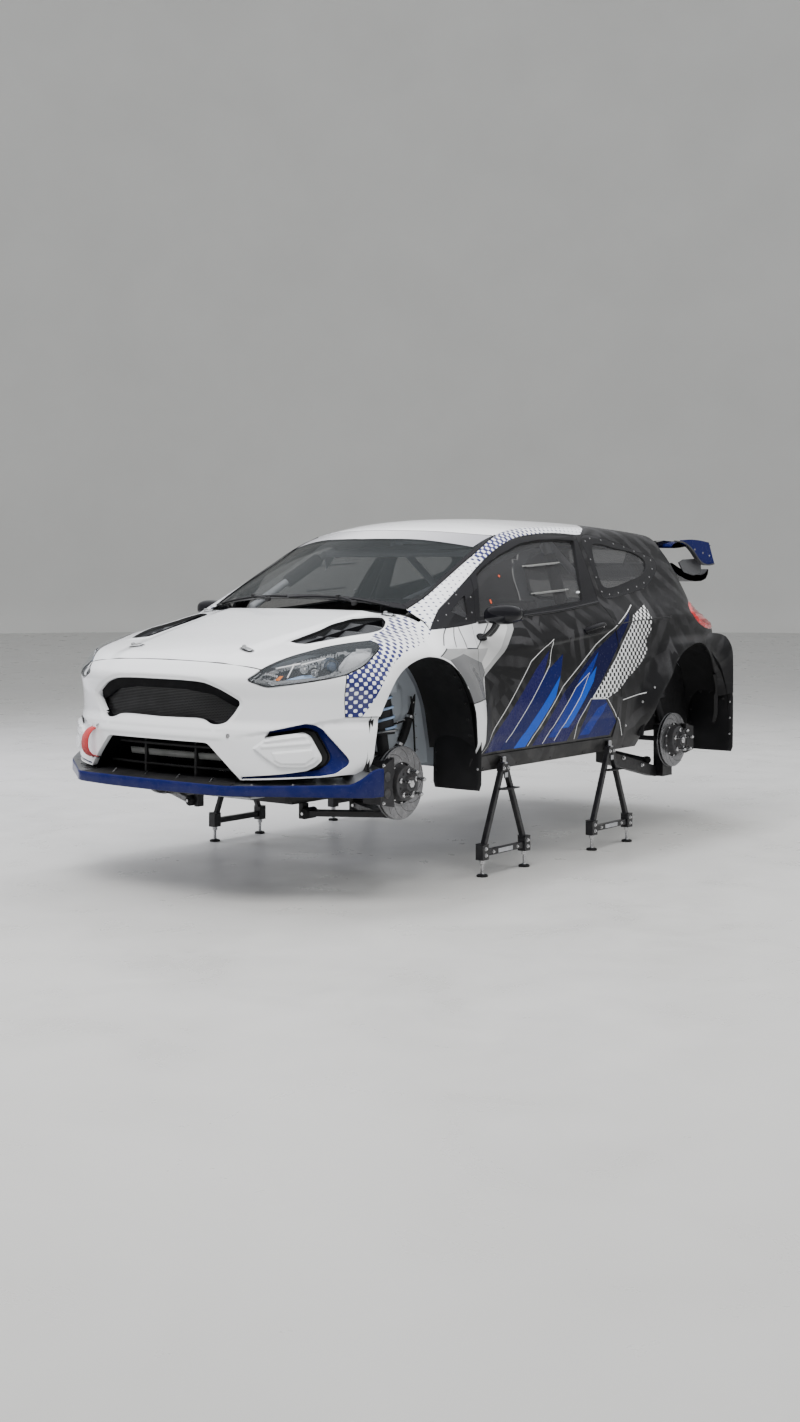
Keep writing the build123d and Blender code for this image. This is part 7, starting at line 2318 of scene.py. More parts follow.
# ------------------------------------------------------------------ hubs and brake discs
def hub_piece(name, body, y, r, turn, stud, sgn):
    k = Kit()
    hz = .475
    ax = (1, 0, 0)
    ri = .094
    for a, b in ((.7275, .7360), (.7445, .7530)):
        prof = [(ri, a), (r - .002, a), (r, a + .0015), (r, b - .0015), (r - .002, b), (ri, b), (ri, a)]
        k.lathe((0, y, hz), ax, [(p, q) for p, q in prof], "disc_steel", 72, False, False)
    for i in range(40):
        t = 2 * math.pi * i / 40
        c, s = math.cos(t), math.sin(t)
        c2, s2 = math.cos(t + .10), math.sin(t + .10)
        q = [np.array([.736, y + c * ri, hz + s * ri]), np.array([.736, y + c2 * (r - .004), hz + s2 * (r - .004)])]
        d = unit(np.cross(q[1] - q[0], (1, 0, 0))) * .0022
        V = [q[0] - d, q[1] - d, q[1] + d, q[0] + d]
        V += [v + np.array([.0085, 0, 0]) for v in V]
        k.add(V, [(0, 1, 5, 4), (1, 2, 6, 5), (2, 3, 7, 6), (3, 0, 4, 7)], "cast_iron", False)
    # wear band and lip
    for a, sg in ((.7532, 1), (.7273, -1)):
        k.lathe((a, y, hz), (sg, 0, 0), [(ri + .006, 0), (ri + .008, .0004), (r - .008, .0004), (r - .006, 0)], "disc_steel", 72, False, False)
    # curved grooves
    for i in range(12):
        t = 2 * math.pi * i / 12
        pts = []
        for f in np.linspace(0, 1, 9):
            rr = ri + .010 + (r - ri - .020) * f
            aa = t + .55 * f ** 1.2
            pts.append((math.cos(aa) * rr, math.sin(aa) * rr))
        P2 = np.array(pts)
        T2 = np.gradient(P2, axis=0)
        T2 /= np.linalg.norm(T2, axis=1, keepdims=True)
        N2 = np.stack([-T2[:, 1], T2[:, 0]], 1) * .0011
        for a in (.75375, .72675):
            A = [(a, y + p[0], hz + p[1]) for p in P2 + N2]
            B_ = [(a, y + p[0], hz + p[1]) for p in P2 - N2]
            n = len(A)
            Fq = [(j, j + 1, n + j + 1, n + j) for j in range(n - 1)]
            k.add(A + B_, Fq if a < .74 else [f[::-1] for f in Fq], "cast_dark", False)
    # hat, bobbins, flange, nose and studs
    k.lathe((0, y, hz), ax, [(ri + .001, .7440), (.089, .7450), (.083, .7500), (.079, .7600), (.078, .7840), (.0755, .7895), (.072, .7900), (.036, .7900), (.036, .7935), (.0345, .7950), (.034, .8080),
                             (.0325, .8115), (.026, .8120), (.0245, .8085), (.012, .8080), (.0001, .8080)], "cast_iron", 60, False)
    k.lathe((0, y, hz), ax, [(.078, .7330), (.078, .7440), (.050, .7390), (.032, .7330), (.030, .7200), (.0001, .7200)], "cast_dark", 48, False)
    for i in range(10):
        t = 2 * math.pi * i / 10 + .31
        c, s = math.cos(t) * .0865, math.sin(t) * .0865
        k.lathe((.7515, y + c, hz + s), ax, [(.0062, 0), (.0062, .003), (.0045, .0036), (.0045, .0060), (.003, .0066), (.0001, .0066)], "bright_steel", 12)
    k.lathe((.808, y, hz), ax, [(.018, 0), (.018, .006), (.016, .0075), (.0001, .0075)], "bright_steel", 6, True, False)
    for i in range(5):
        a = math.radians(90 + turn + 72 * i)
        cy, cz = y + .05715 * math.cos(a), hz + .05715 * math.sin(a)
        prof = [(.0130, .7895), (.0130, .7975), (.0105, .8005), (stud, .8010)]
        x = .8022
        while x < .8225:
            prof += [(stud, x), (stud - .0006, x + .0006)]
            x += .0013
        prof += [(stud, .8240), (stud + .0024, .8255), (stud + .0024, .8410), (stud * 1.05, .8450), (stud * .72, .8480), (stud * .35, .8497), (.0001, .850)]
        k.lathe((0, cy, cz), ax, prof, "bright_steel", 16, False)
        am = a + math.radians(36)
        k.lathe((.7895, y + .056 * math.cos(am), hz + .056 * math.sin(am)), ax, [(.0062, .0), (.0062, .0012), (.0045, .0014), (.0001, .0006)], "black_steel", 14, False)
    if sgn < 0:
        k.flip()
    k.put(name, body, (name,), "disc_steel")


for nm, y, r in (("hub_front_", 0.0, .165), ("hub_rear_", 2.4929, .150)):
    hub_piece(nm + "left", nm + "left", y, r, 0.0, .0070, 1)
    hub_piece(nm + "right", nm + "right", y, r, 36.0, .0073, -1)

# ------------------------------------------------------------------ calipers, hoses, joints
for s, nm in ((1, "left"), (-1, "right")):
    k = Kit()
    for x0, x1 in ((.6905, .7195), (.7610, .7905)):
        for zc in (.445, .520):
            k.lathe((x1 if x1 > .75 else x0, -.150, zc), (1 if x1 > .75 else -1, 0, 0), [(.022, -.001), (.022, .0022), (.019, .0034), (.019, .0020), (.0001, .0020)], "cast_iron", 28)
    for zc in (.405, .572):
        k.bolt((.7905, -.178, zc), (1, 0, 0), .006, .006, "bright_steel")
    k.lathe((.770, -.115, .596), (0, .1, 1), [(.0045, 0), (.0045, .010), (.003, .011), (.003, .018), (.001, .018)], "bright_steel", 12)
    k.tube([(.700, -.150, .585), (.700, -.150, .640), (.675, -.120, .700), (.640, -.060, .720)], .0048, "black_plastic", 10)
    k.box((.7195, -.188, .43), (.7265, -.108, .545), "cast_dark")
    k.box((.7540, -.188, .43), (.7605, -.125, .545), "cast_dark")
    # ball joints, clamp bolts and rubber boots of the knuckle
    k.lathe((.690, 0, .372), (0, 0, -1), [(.020, -.010), (.026, .0), (.024, .008), (.028, .013), (.023, .020), (.018, .026)], "seal_rubber", 28)
    k.bolt((.690, -.028, .42), (0, -1, 0), .008, .008)
    k.bolt((.690, -.028, .45), (0, -1, 0), .008, .008)
    k.lathe((.645, 0, .475), (-1, 0, 0), [(.060, -.008), (.052, .004), (.046, .010), (.050, .016), (.040, .024), (.043, .030), (.034, .038), (.036, .044), (.026, .052), (.022, .060)], "seal_rubber", 36, False)
    if s < 0:
        k.flip()
    k.put("caliper_" + nm, "knuckle_" + nm, (), "cast_metal", .0008, 1)

k = Kit()
# springs over the front struts, with top and bottom seats
for top, bot, r in (((.600, 0, .985), (.652, 0, .700), .056),):
    a, b = np.array(bot, float), np.array(top, float)
    u_, v_ = frame_of(b - a)
    L = np.linalg.norm(b - a)
    turns = 6.5
    pts_ = [a + (b - a) * t + (u_ * math.cos(t * turns * 2 * math.pi) + v_ * math.sin(t * turns * 2 * math.pi)) * r for t in np.linspace(0.02, .98, 150)]
    k.tube(pts_, .0062, "lamp_blue", 8, False, False)
    k.lathe(b, b - a, [(.030, -.006), (.072, -.004), (.072, .002), (.050, .006), (.030, .008)], "black_steel", 40)
    k.lathe(a, b - a, [(.034, -.010), (.066, -.006), (.066, .0), (.036, .004)], "alloy", 40)
# coolant and air hoses in the front arch
k.tube([(.560, .10, .560), (.585, .20, .62), (.580, .28, .74), (.560, .33, .86)], .020, "black_plastic", 16)
k.tube([(.590, -.16, .55), (.60, -.08, .60), (.585, .06, .585), (.55, .16, .55)], .009, "seal_rubber", 12)
for t in (.25, .75):
    k.lathe((.585, .20 + .16 * (t - .25), .62 + .24 * (t - .25)), (0, .5, .86), [(.0225, -.006), (.0225, .006)], "bright_steel", 24)
# wishbone bushes
for y in (-.18, .18):
    k.lathe((.362, y, .328), (0, 1, 0), [(.010, -.040), (.022, -.038), (.026, -.034), (.026, .034), (.022, .038), (.010, .040)], "seal_rubber", 26)
    k.rod((.362, y - .050, .328), (.362, y + .050, .328), .007, "bright_steel", 12)
# rear: bolts on the trailing arm, a small hose, one link with its bushes
for y, z in ((1.93, .46), (2.10, .40), (2.30, .345), (2.58, .285)):
    k.bolt((.660, y, z), (1, 0, 0), .009, .008, "bright_steel")
k.tube([(.655, 2.46, .60), (.62, 2.44, .66), (.56, 2.42, .70)], .0048, "black_plastic", 10)
k.rod((.63, 2.40, .36), (.25, 2.36, .42), .014, "black_steel", 16)
k.lathe((.63, 2.40, .36), (0, 1, 0), [(.008, -.022), (.020, -.020), (.022, -.012), (.022, .012), (.020, .020), (.008, .022)], "seal_rubber", 22)
k.lathe((.25, 2.36, .42), (0, 1, 0), [(.008, -.022), (.020, -.020), (.022, -.012), (.022, .012), (.020, .020), (.008, .022)], "seal_rubber", 22)
k.mirrored()
k.put("suspension_details", slot="black_steel")

# ------------------------------------------------------------------ arch liners
k = Kit()
AF = [(-.366, .548), (-.362, .600), (-.351, .700), (-.330, .800), (-.302, .850), (-.252, .925), (-.180, .985), (-.092, 1.024), (.027, 1.042), (.142, 1.018), (.228, .968), (.299, .886), (.348, .790),
      (.372, .694), (.393, .590)]
A2 = catmull(AF, .02)
N_ = np.gradient(A2, axis=0)
N_ = np.stack([-N_[:, 1], N_[:, 0]], 1)
N_ /= np.linalg.norm(N_, axis=1, keepdims=True)
mid_ = int(np.argmin(np.abs(A2[:, 0] - .03)))


def lin_ring(x, off, A, N):
    return [(x, a[0] + n[0] * off, a[1] + n[1] * off) for a, n in zip(A, N)]


rear_half = slice(max(mid_ - 6, 0), None)
wav = .004 * np.sin(np.linspace(0, 26, len(A2)))
for sl, mt in ((rear_half, "liner_black"), (slice(0, mid_ - 4), "liner_black")):
    A, N = A2[sl], N_[sl]
    rings = [lin_ring(.872, .014, A, N), lin_ring(.860, .020, A, N), lin_ring(.78, .026, A, N), lin_ring(.70, .028, A, N), lin_ring(.64, .026, A, N), lin_ring(.606, .012, A, N)]
    k.skin(rings, mt, True, False)
    k.skin([[(x + 0, y, z) for x, y, z in lin_ring(.606, .012, A, N)], lin_ring(.604, .030, A, N), lin_ring(.70, .034, A, N), lin_ring(.868, .026, A, N)], mt, True, False)
for i in range(2, len(A2) - 2, 4):
    a, n = A2[i], N_[i]
    k.lathe((.845, a[0] + n[0] * .0195, a[1] + n[1] * .0195), (0, -n[0], -n[1]), [(.008, 0), (.0075, .0025), (.004, .004), (.0001, .0045)], "black_plastic", 14)
# inner wing wall with pressings
poly = np.vstack([[(a[0] + n[0] * .02, a[1] + n[1] * .02) for a, n in zip(A2, N_)], [(.40, .52), (-.36, .52)]])
gx_, gz_ = np.meshgrid(np.arange(-.40, .42, .02), np.arange(.50, 1.08, .02))
pp = np.stack([gx_.ravel(), gz_.ravel()], 1)


def press(y, z):
    h = 0.0
    for cy, cz, a, b, d in ((.12, .82, .10, .08, .020), (-.20, .80, .06, .11, -.016), (.00, .64, .15, .04, .018), (.25, .66, .05, .10, -.014), (-.05, .93, .12, .03, .014)):
        h += d * max(0.0, 1 - ((y - cy) / a) ** 4 - ((z - cz) / b) ** 4) ** .35
    h += .006 * math.sin(z * 70) * max(0, 1 - ((y + .02) / .05) ** 2)
    return h


xs_n = 42
rings = []
for z in np.linspace(.52, 1.06, 34):
    row = []
    w0 = np.interp(z, [.52, .60, .80, .925, 1.02, 1.045], [-.37, -.362, -.330, -.252, -.10, .0])
    w1 = np.interp(z, [.52, .59, .79, .886, .968, 1.018, 1.045], [.40, .393, .348, .299, .228, .142, .03])
    w0, w1 = w0 - .02, w1 + .02
    for t in np.linspace(0, 1, 40):
        y = w0 + (w1 - w0) * t
        row.append((.582 + press(y, z), y, z))
    rings.append(row)
k.skin(rings, "shell_grey", True, False)
for (y0_, z0_), (y1_, z1_) in (((-.30, .56), (-.27, .86)), ((-.06, .70), (.22, .73)), ((.30, .58), (.27, .84)), ((-.14, .995), (.16, .995))):
    sm = catmull([(.600, y0_, z0_), (.604, (y0_ + y1_) / 2, (z0_ + z1_) / 2), (.600, y1_, z1_)], .02)
    k.tube(sm, .0045, "seal_rubber", 8)
    for q in sm[::3]:
        k.lathe(q + np.array([.002, .012, .008]), (1, 0, 0), [(.0045, 0), (.004, .002), (.001, .003)], "bright_steel", 10)
k.skin([[(x - .004, y, z) for x, y, z in r][::-1] for r in rings], "shell_grey", True, False)
# strut tower
k.lathe((.598, 0, 1.000), (-.03, 0, -1), [(.02, -.016), (.088, -.012), (.098, .0), (.104, .05), (.108, .12)], "shell_grey", 40, False)
for i in range(4):
    t = math.pi / 2 * i + .6
    k.bolt((.598 + .066 * math.cos(t), .066 * math.sin(t), .994), (0, 0, -1), .007, .006)
k.tube([(.622, -.31, .60), (.628, -.24, .70), (.628, -.10, .76), (.622, .06, .72)], .0055, "seal_rubber", 10)
for a in ((.622, -.31, .60), (.629, -.17, .74), (.622, .06, .72)):
    k.box(np.array(a) - np.array([.012, .010, .007]), np.array(a) + np.array([.008, .010, .007]), "black_plastic")
# rear arch
R2 = catmull(REAR_LIP, .02)
Nr = np.gradient(R2, axis=0)
Nr = np.stack([-Nr[:, 1], Nr[:, 0]], 1)
Nr /= np.linalg.norm(Nr, axis=1, keepdims=True)
if Nr[len(Nr) // 2][1] < 0:
    Nr = -Nr
rings = [lin_ring(.875, .014, R2, Nr), lin_ring(.862, .020, R2, Nr), lin_ring(.78, .026, R2, Nr), lin_ring(.68, .028, R2, Nr), lin_ring(.606, .016, R2, Nr)]
k.skin(rings, "liner_black", True, False)
k.skin([lin_ring(.606, .018, R2, Nr), lin_ring(.68, .034, R2, Nr), lin_ring(.868, .028, R2, Nr)], "liner_black", True, False)
for i in range(2, len(R2) - 2, 4):
    a, n = R2[i], Nr[i]
    k.lathe((.845, a[0] + n[0] * .0195, a[1] + n[1] * .0195), (0, -n[0], -n[1]), [(.008, 0), (.0075, .0025), (.004, .004), (.0001, .0045)], "black_plastic", 14)
rings = []
lo_y = lambda z: np.interp(z, [.52, .538, .687, .833, .923, .982, 1.022], [1.955, 1.957, 2.008, 2.164, 2.226, 2.313, 2.47])
hi_y = lambda z: np.interp(z, [.52, .719, .843, .957, 1.022], [2.89, 2.888, 2.829, 2.690, 2.53])
for z in np.linspace(.52, 1.03, 30):
    a, b = float(lo_y(z)) - .02, float(hi_y(z)) + .02
    rings.append([(.606 + .010 * math.sin((y - 2.4) * 9) * math.sin(z * 11) + .008 * (abs((y - 2.49) / .09) < 1), y, z) for y in np.linspace(a, b, 40)])
k.skin(rings, "liner_black", True, False)
k.skin([[(x - .004, y, z) for x, y, z in r][::-1] for r in rings], "liner_black", True, False)
k.mirrored()
k.put("arch_liners", replaces=("arch_liners",), slot="liner_black")

# ------------------------------------------------------------------ stands
k = Kit()
for yc in (.654, 1.622):
    A, B_ = np.array([.858, yc, .508]), None
    t = .0125
    for s in (-1, 1):
        foot = np.array([.858, yc + s * .175, .118])
        top = np.array([.858, yc + s * .016, .492])
        d = unit(top - foot)
        sd = unit(np.cross(d, (1, 0, 0)))
        ring = []
        for q in (foot - d * .010, top):
            ring.append([q + np.array([1, 0, 0]) * a * t + sd * b * t for a, b in ((-.8, -1), (.8, -1), (1, -.8), (1, .8), (.8, 1), (-.8, 1), (-1, .8), (-1, -.8))])
        k.skin(ring, "stand_black", False, True, True, True)
        # boxed foot bracket with bolts
        k.box(foot + np.array([-.021, -.024, -.040]), foot + np.array([.021, .024, .030]), "stand_black")
        k.box(foot + np.array([-.026, -.018, .030]), foot + np.array([.026, .018, .034]), "stand_black")
        for zz in (-.018, .012):
            k.bolt(foot + np.array([.021, 0, zz]), (1, 0, 0), .007, .006, "bright_steel")
        # threaded stem, nuts and round pad
        prof = [(.0078, .0)]
        z = .012
        x = .0
        fx, fy = foot[0], foot[1]
        prof = [(.0265, .0), (.0275, .003), (.0275, .007), (.024, .010), (.012, .0135), (.0085, .017), (.0082, .018)]
        zz = .018
        while zz < .076:
            prof += [(.0082, zz), (.0072, zz + .0009)]
            zz += .0018
        k.lathe((fx, fy, 0), (0, 0, 1), prof[:5], "seal_rubber", 30)
        k.lathe((fx, fy, 0), (0, 0, 1), prof[4:], "bright_steel", 18, False)
        k.lathe((fx, fy, .060), (0, 0, 1), [(.0135, 0), (.0135, .0085), (.012, .010)], "bright_steel", 6, True, False)
        k.lathe((fx, fy, .070), (0, 0, 1), [(.0135, 0), (.0135, .007), (.012, .008)], "bright_steel", 6, True, False)
    # cross beam, upper tie and top plate
    k.box((.858 - .0125, yc - .165, .094), (.858 + .0125, yc + .165, .122), "stand_black")
    k.box((.858 + .0125, yc - .060, .098), (.858 + .0132, yc + .060, .118), "lamp_grey")
    for q in (-.10, .10):
        k.bolt((.8705, yc + q, .108), (1, 0, 0), .006, .005)
    k.prism([(.846, yc - .055), (.846, yc + .080), (.852, yc + .088), (.892, yc + .088), (.898, yc + .080), (.898, yc - .030), (.880, yc - .055)], 2, .392, .3965, "black_steel")
    k.prism([(yc - .034, .478), (yc + .034, .478), (yc + .030, .506), (yc + .016, .520), (yc - .016, .520), (yc - .030, .506)], 0, .842, .874, "stand_black")
    for q in (-.019, .019):
        k.bolt((.874, yc + q, .492), (1, 0, 0), .0065, .006)
    k.lathe((.858, yc, .512), (0, 0, 1), [(.020, 0), (.020, .006), (.013, .009), (.013, .030), (.010, .034), (.0001, .034)], "bright_steel", 24)
    # small plate near the top
    k.box((.8745, yc - .012, .448), (.8760, yc + .012, .470), "lamp_grey")
    k.box((.8710, yc - .016, .444), (.8745, yc + .016, .474), "stand_black")
    # welds
    for s in (-1, 1):
        k.tube([(.8712, yc + s * .158, .124), (.8716, yc + s * .150, .1255), (.8712, yc + s * .142, .124)], .0022, "black_steel", 6)
k.mirrored()
k.put("stands", replaces=("stands",), slot="stand_black", bevel=.0012, seg=1)

# ------------------------------------------------------------------ cabin
def cushion(name, c, h, crown, R=None, mat="seat_fabric", body="chassis", groove=0):
    """Padded form: a subdivided pillow, domed on top, tucked at the edge."""
    n, m = 11, 9
    V, Fc = [], []
    for side in (1, -1):
        for i in range(n):
            for j in range(m):
                u, v = 2 * i / (n - 1) - 1, 2 * j / (m - 1) - 1
                e = (1 - abs(u) ** 4) * (1 - abs(v) ** 4)
                x = c[0] + h[0] * u * (1 - .03 * (1 - e))
                y = c[1] + h[1] * v * (1 - .03 * (1 - e))
                z = h[2] * (.35 + .65 * e ** .4) + (crown * (1 - u * u) * (1 - v * v) if side > 0 else 0)
                if side > 0 and groove and j % 2 == 1:
                    z -= groove
                V.append((x, y, c[2] + side * z * (1 if side > 0 else .6)))
    k_ = n * m
    for s_ in (0, 1):
        for i in range(n - 1):
            for j in range(m - 1):
                a = s_ * k_ + i * m + j
                q = (a, a + m, a + m + 1, a + 1)
                Fc.append(q if s_ == 0 else q[::-1])
    for i in range(n - 1):
        Fc.append((i * m, k_ + i * m, k_ + (i + 1) * m, (i + 1) * m)[::-1])
        a = i * m + m - 1
        Fc.append((a, a + m, k_ + a + m, k_ + a)[::-1])
    for j in range(m - 1):
        Fc.append((j, j + 1, k_ + j + 1, k_ + j)[::-1])
        a = (n - 1) * m + j
        Fc.append((a, k_ + a, k_ + a + 1, a + 1)[::-1])
    V = np.array(V)
    if R is not None:
        V = (V - np.array(c)) @ np.array(R).T + np.array(c)
    o = make(name, V, Fc, [mat], None, None, body, ())
    sd = o.modifiers.new("soft", "SUBSURF")
    sd.levels = sd.render_levels = 2
    return o


k = Kit()
for s in (-1, 1):
    xc = .392 * s
    # moulded shell: side view profile swept across with raised wings
    prof = [(.905, .640), (.930, .600), (1.000, .575), (1.120, .562), (1.230, .575), (1.290, .640), (1.330, .760), (1.370, .900), (1.405, 1.030), (1.425, 1.120), (1.432, 1.200), (1.428, 1.268)]
    prof = catmull(prof, .035)
    T_ = np.gradient(prof, axis=0)
    T_ /= np.linalg.norm(T_, axis=1, keepdims=True)
    Nn = np.stack([-T_[:, 1], T_[:, 0]], 1)
    rings_o, rings_i = [], []
    for i, ((y, z), n_) in enumerate(zip(prof, Nn)):
        f = i / (len(prof) - 1)
        wing = .085 + .055 * math.exp(-((f - .52) / .13) ** 2) + .070 * math.exp(-((f - .93) / .07) ** 2) - .03 * (f < .06)
        half = .222 - .020 * smooth(np.array([(f - .75) / .2]))[0]
        row, row2 = [], []
        for u in np.linspace(-1, 1, 21):
            e = max(0, (abs(u) - .72) / .28)
            up_ = wing * e ** 1.3
            x = xc + half * (u if abs(u) < .86 else math.copysign(.86 + (abs(u) - .86) * .55, u))
            row.append((x, y + n_[0] * up_, z + n_[1] * up_))
            row2.append((x * 1.0 + .004 * (xc - x) / .2, y + n_[0] * (up_ + .008), z + n_[1] * (up_ + .008)))
        rings_o.append(row)
        rings_i.append(row2)
    k.skin([r[::-1] for r in rings_o], "carbon", True, False)
    k.skin(rings_i, "seat_fabric", True, False)
    for r in (0, -1):
        k.skin([rings_o[r], rings_i[r]], "carbon", False, False)
    k.skin([[r[0] for r in rings_o], [r[0] for r in rings_i]], "carbon", False, False)
    k.skin([[r[-1] for r in rings_o], [r[-1] for r in rings_i]], "carbon", False, False)
    # harness
    for dx in (-.075, .075):
        pts_ = catmull([(xc + dx * .9, 1.436, 1.165), (xc + dx, 1.400, 1.150), (xc + dx, 1.350, 1.02), (xc + dx * .8, 1.300, .86), (xc + dx * .35, 1.245, .700)], .03)
        rg = [[(x - .026, y - .004, z), (x + .026, y - .004, z), (x + .026, y - .001, z + .001), (x - .026, y - .001, z + .001)] for x, y, z in pts_]
        k.skin(rg, "belt_webbing", False, True, True, True)
        pts_ = catmull([(xc + dx * 2.5, 1.18, .700), (xc + dx * 1.6, 1.16, .695), (xc + dx * .4, 1.215, .690)], .03)
        rg = [[(x, y - .022, z), (x, y + .022, z + .006), (x, y + .022, z + .009), (x, y - .022, z + .003)] for x, y, z in pts_]
        k.skin(rg, "belt_webbing", False, True, True, True)
    k.lathe((xc, 1.225, .700), (0, -.6, .8), [(.030, 0), (.030, .010), (.026, .015), (.010, .016), (.0001, .016)], "bright_steel", 24)
    # rails and side mounts
    for dx in (-.205, .205):
        k.prism([(.960, .515), (1.300, .515), (1.300, .600), (1.240, .640), (1.000, .640), (.960, .590)], 0, xc + dx - .003, xc + dx + .003, "alloy")
        k.rod((xc + dx - .012, 1.02, .560), (xc + dx + .012, 1.02, .560), .008, "bright_steel", 6)
        k.rod((xc + dx - .012, 1.24, .560), (xc + dx + .012, 1.24, .560), .008, "bright_steel", 6)
k.put("seats", replaces=("seats",), slot="seat_fabric")
for s, nm in ((1, "left"), (-1, "right")):
    xc = .392 * s
    cushion("seat_base_" + nm, (xc, 1.085, .592), (.150, .150, .026), .018, rotx(math.radians(-2)), groove=.0)
    cushion("seat_lumbar_" + nm, (xc, 1.322, .800), (.135, .120, .022), .014, rotx(math.radians(75)))
    cushion("seat_shoulder_" + nm, (xc, 1.376, 1.010), (.140, .085, .022), .012, rotx(math.radians(76)))
    cushion("seat_head_" + nm, (xc, 1.408, 1.205), (.095, .050, .020), .010, rotx(math.radians(84)))

k = Kit()
# dashboard: padded hood over a switch panel
prof = catmull([(.590, .990), (.600, 1.040), (.596, 1.085), (.575, 1.104), (.520, 1.112), (.455, 1.100), (.410, 1.092)], .015)
rings = []
for x in np.linspace(-.588, .588, 41):
    f = abs(x) / .588
    b = .012 * math.exp(-((x - .34) / .16) ** 2)
    rings.append([(x, y + .006 * f, z + b - .020 * f ** 4) for y, z in prof] + [(x, .425, 1.020), (x, .470, .985)])
k.skin(rings, "cabin_black", True, True, True, True)
k.box((-.11, .598, .800), (.11, .640, 1.010), "cabin_black", rotx(math.radians(-12)))
for r_ in range(3):
    for c_ in range(4):
        q = np.array([-.075 + c_ * .05, .648 + r_ * .008, .950 - r_ * .045])
        k.box(q - np.array([.013, .004, .013]), q + np.array([.013, .004, .013]), ("mesh_grey", "orange_mark", "lamp_blade", "yellow_tag")[(r_ * 5 + c_ * 3) % 4] if (r_ + c_) % 3 == 0 else "black_plastic")
        k.lathe(q + np.array([0, .004, 0]), (0, 1, .1), [(.005, 0), (.004, .012), (.0045, .016), (.001, .018)], "bright_steel", 10)
k.box((.265, .575, 1.085), (.415, .600, 1.175), "black_plastic", rotx(math.radians(-15)))
k.box((.272, .598, 1.092), (.408, .602, 1.168), "lamp_black", rotx(math.radians(-15)), at=(.34, .5875, 1.13))
for x in (-.48, -.20, .20, .48):
    k.lathe((x, .598, 1.045), (0, 1, 0), [(.030, -.004), (.033, .004), (.030, .008), (.024, .006), (.0001, .004)], "black_plastic", 24)
# sequential lever and handbrake
k.tube([(.02, .80, .560), (.03, .78, .74), (.06, .72, .93)], .010, "alloy", 12)
k.sphere((.06, .72, .945), .022, "black_plastic", 16, (1, 1, 1.2))
k.tube([(.10, .92, .560), (.11, .88, .72), (.13, .80, .90)], .011, "black_steel", 12)
k.rod((.128, .81, .88), (.136, .775, .97), .017, "foam_black", 16)
k.put("dashboard", replaces=("dashboard",), slot="cabin_black", bevel=.0012, seg=1)

k = Kit()
ctr = np.array([.340, .760, 1.080])
nrm = unit(np.array([0, .93, .36]))
u_ = np.array([1.0, 0, 0])
v_ = np.cross(nrm, u_)
rim_ = []
for i in range(64):
    a = 2 * math.pi * i / 64
    rr = .160 + .004 * math.cos(2 * a)
    flat_ = 0.012 * max(0, -math.sin(a) - .8)
    rim_.append(ctr + u_ * math.cos(a) * rr + v_ * math.sin(a) * (rr - flat_))
k.tube(rim_, .0145, "suede", 16, True, False)
for a0 in (0.15, math.pi - .15, -math.pi / 2):
    p0, p1 = ctr + (u_ * math.cos(a0) + v_ * math.sin(a0)) * .030 - nrm * .012, ctr + (u_ * math.cos(a0) + v_ * math.sin(a0)) * .150
    sd = unit(np.cross(nrm, p1 - p0)) * .016
    k.skin([[p0 - sd - nrm * .002, p0 + sd - nrm * .002, p0 + sd + nrm * .002, p0 - sd + nrm * .002], [p1 - sd * .7 - nrm * .002, p1 + sd * .7 - nrm * .002, p1 + sd * .7 + nrm * .002, p1 - sd * .7 + nrm * .002]], "alloy", False, True, True, True)
k.lathe(ctr - nrm * .018, nrm, [(.044, 0), (.046, .006), (.042, .012), (.030, .016), (.0001, .017)], "black_plastic", 32)
for i in range(6):
    a = 2 * math.pi * i / 6
    q = ctr + (u_ * math.cos(a) + v_ * math.sin(a)) * .035 - nrm * .006
    k.lathe(q, nrm, [(.0035, 0), (.0035, .003), (.001, .004)], "bright_steel", 8)
for dx in (-.055, .055):
    k.lathe(ctr + u_ * dx + v_ * .018 + nrm * .002, nrm, [(.008, 0), (.008, .004), (.006, .006), (.001, .006)], "orange_mark" if dx < 0 else "lamp_blade", 14)
k.rod(ctr - nrm * .020, ctr - nrm * .170, .020, "black_steel", 20)
k.tube([ctr - nrm * .050 - u_ * .09, ctr - nrm * .045, ctr - nrm * .050 + u_ * .09], .004, "alloy", 8)
k.put("steering_wheel", replaces=("steering_wheel",), slot="suede")

# roll cage: padding, gussets, feet
k = Kit()


def pad(p, q, a, b, r=.034, mat="foam_black"):
    p, q = np.array(p, float), np.array(q, float)
    A_, B2 = p + (q - p) * a, p + (q - p) * b
    L = np.linalg.norm(B2 - A_)
    k.lathe(A_, B2 - A_, [(.0205, 0), (r * .85, .002), (r, .010), (r, L - .010), (r * .85, L - .002), (.0205, L)], mat, 22)
    for f in (.25, .75):
        k.lathe(A_ + (B2 - A_) * f, B2 - A_, [(r + .001, -.004), (r + .001, .004)], "black_plastic", 22, False)


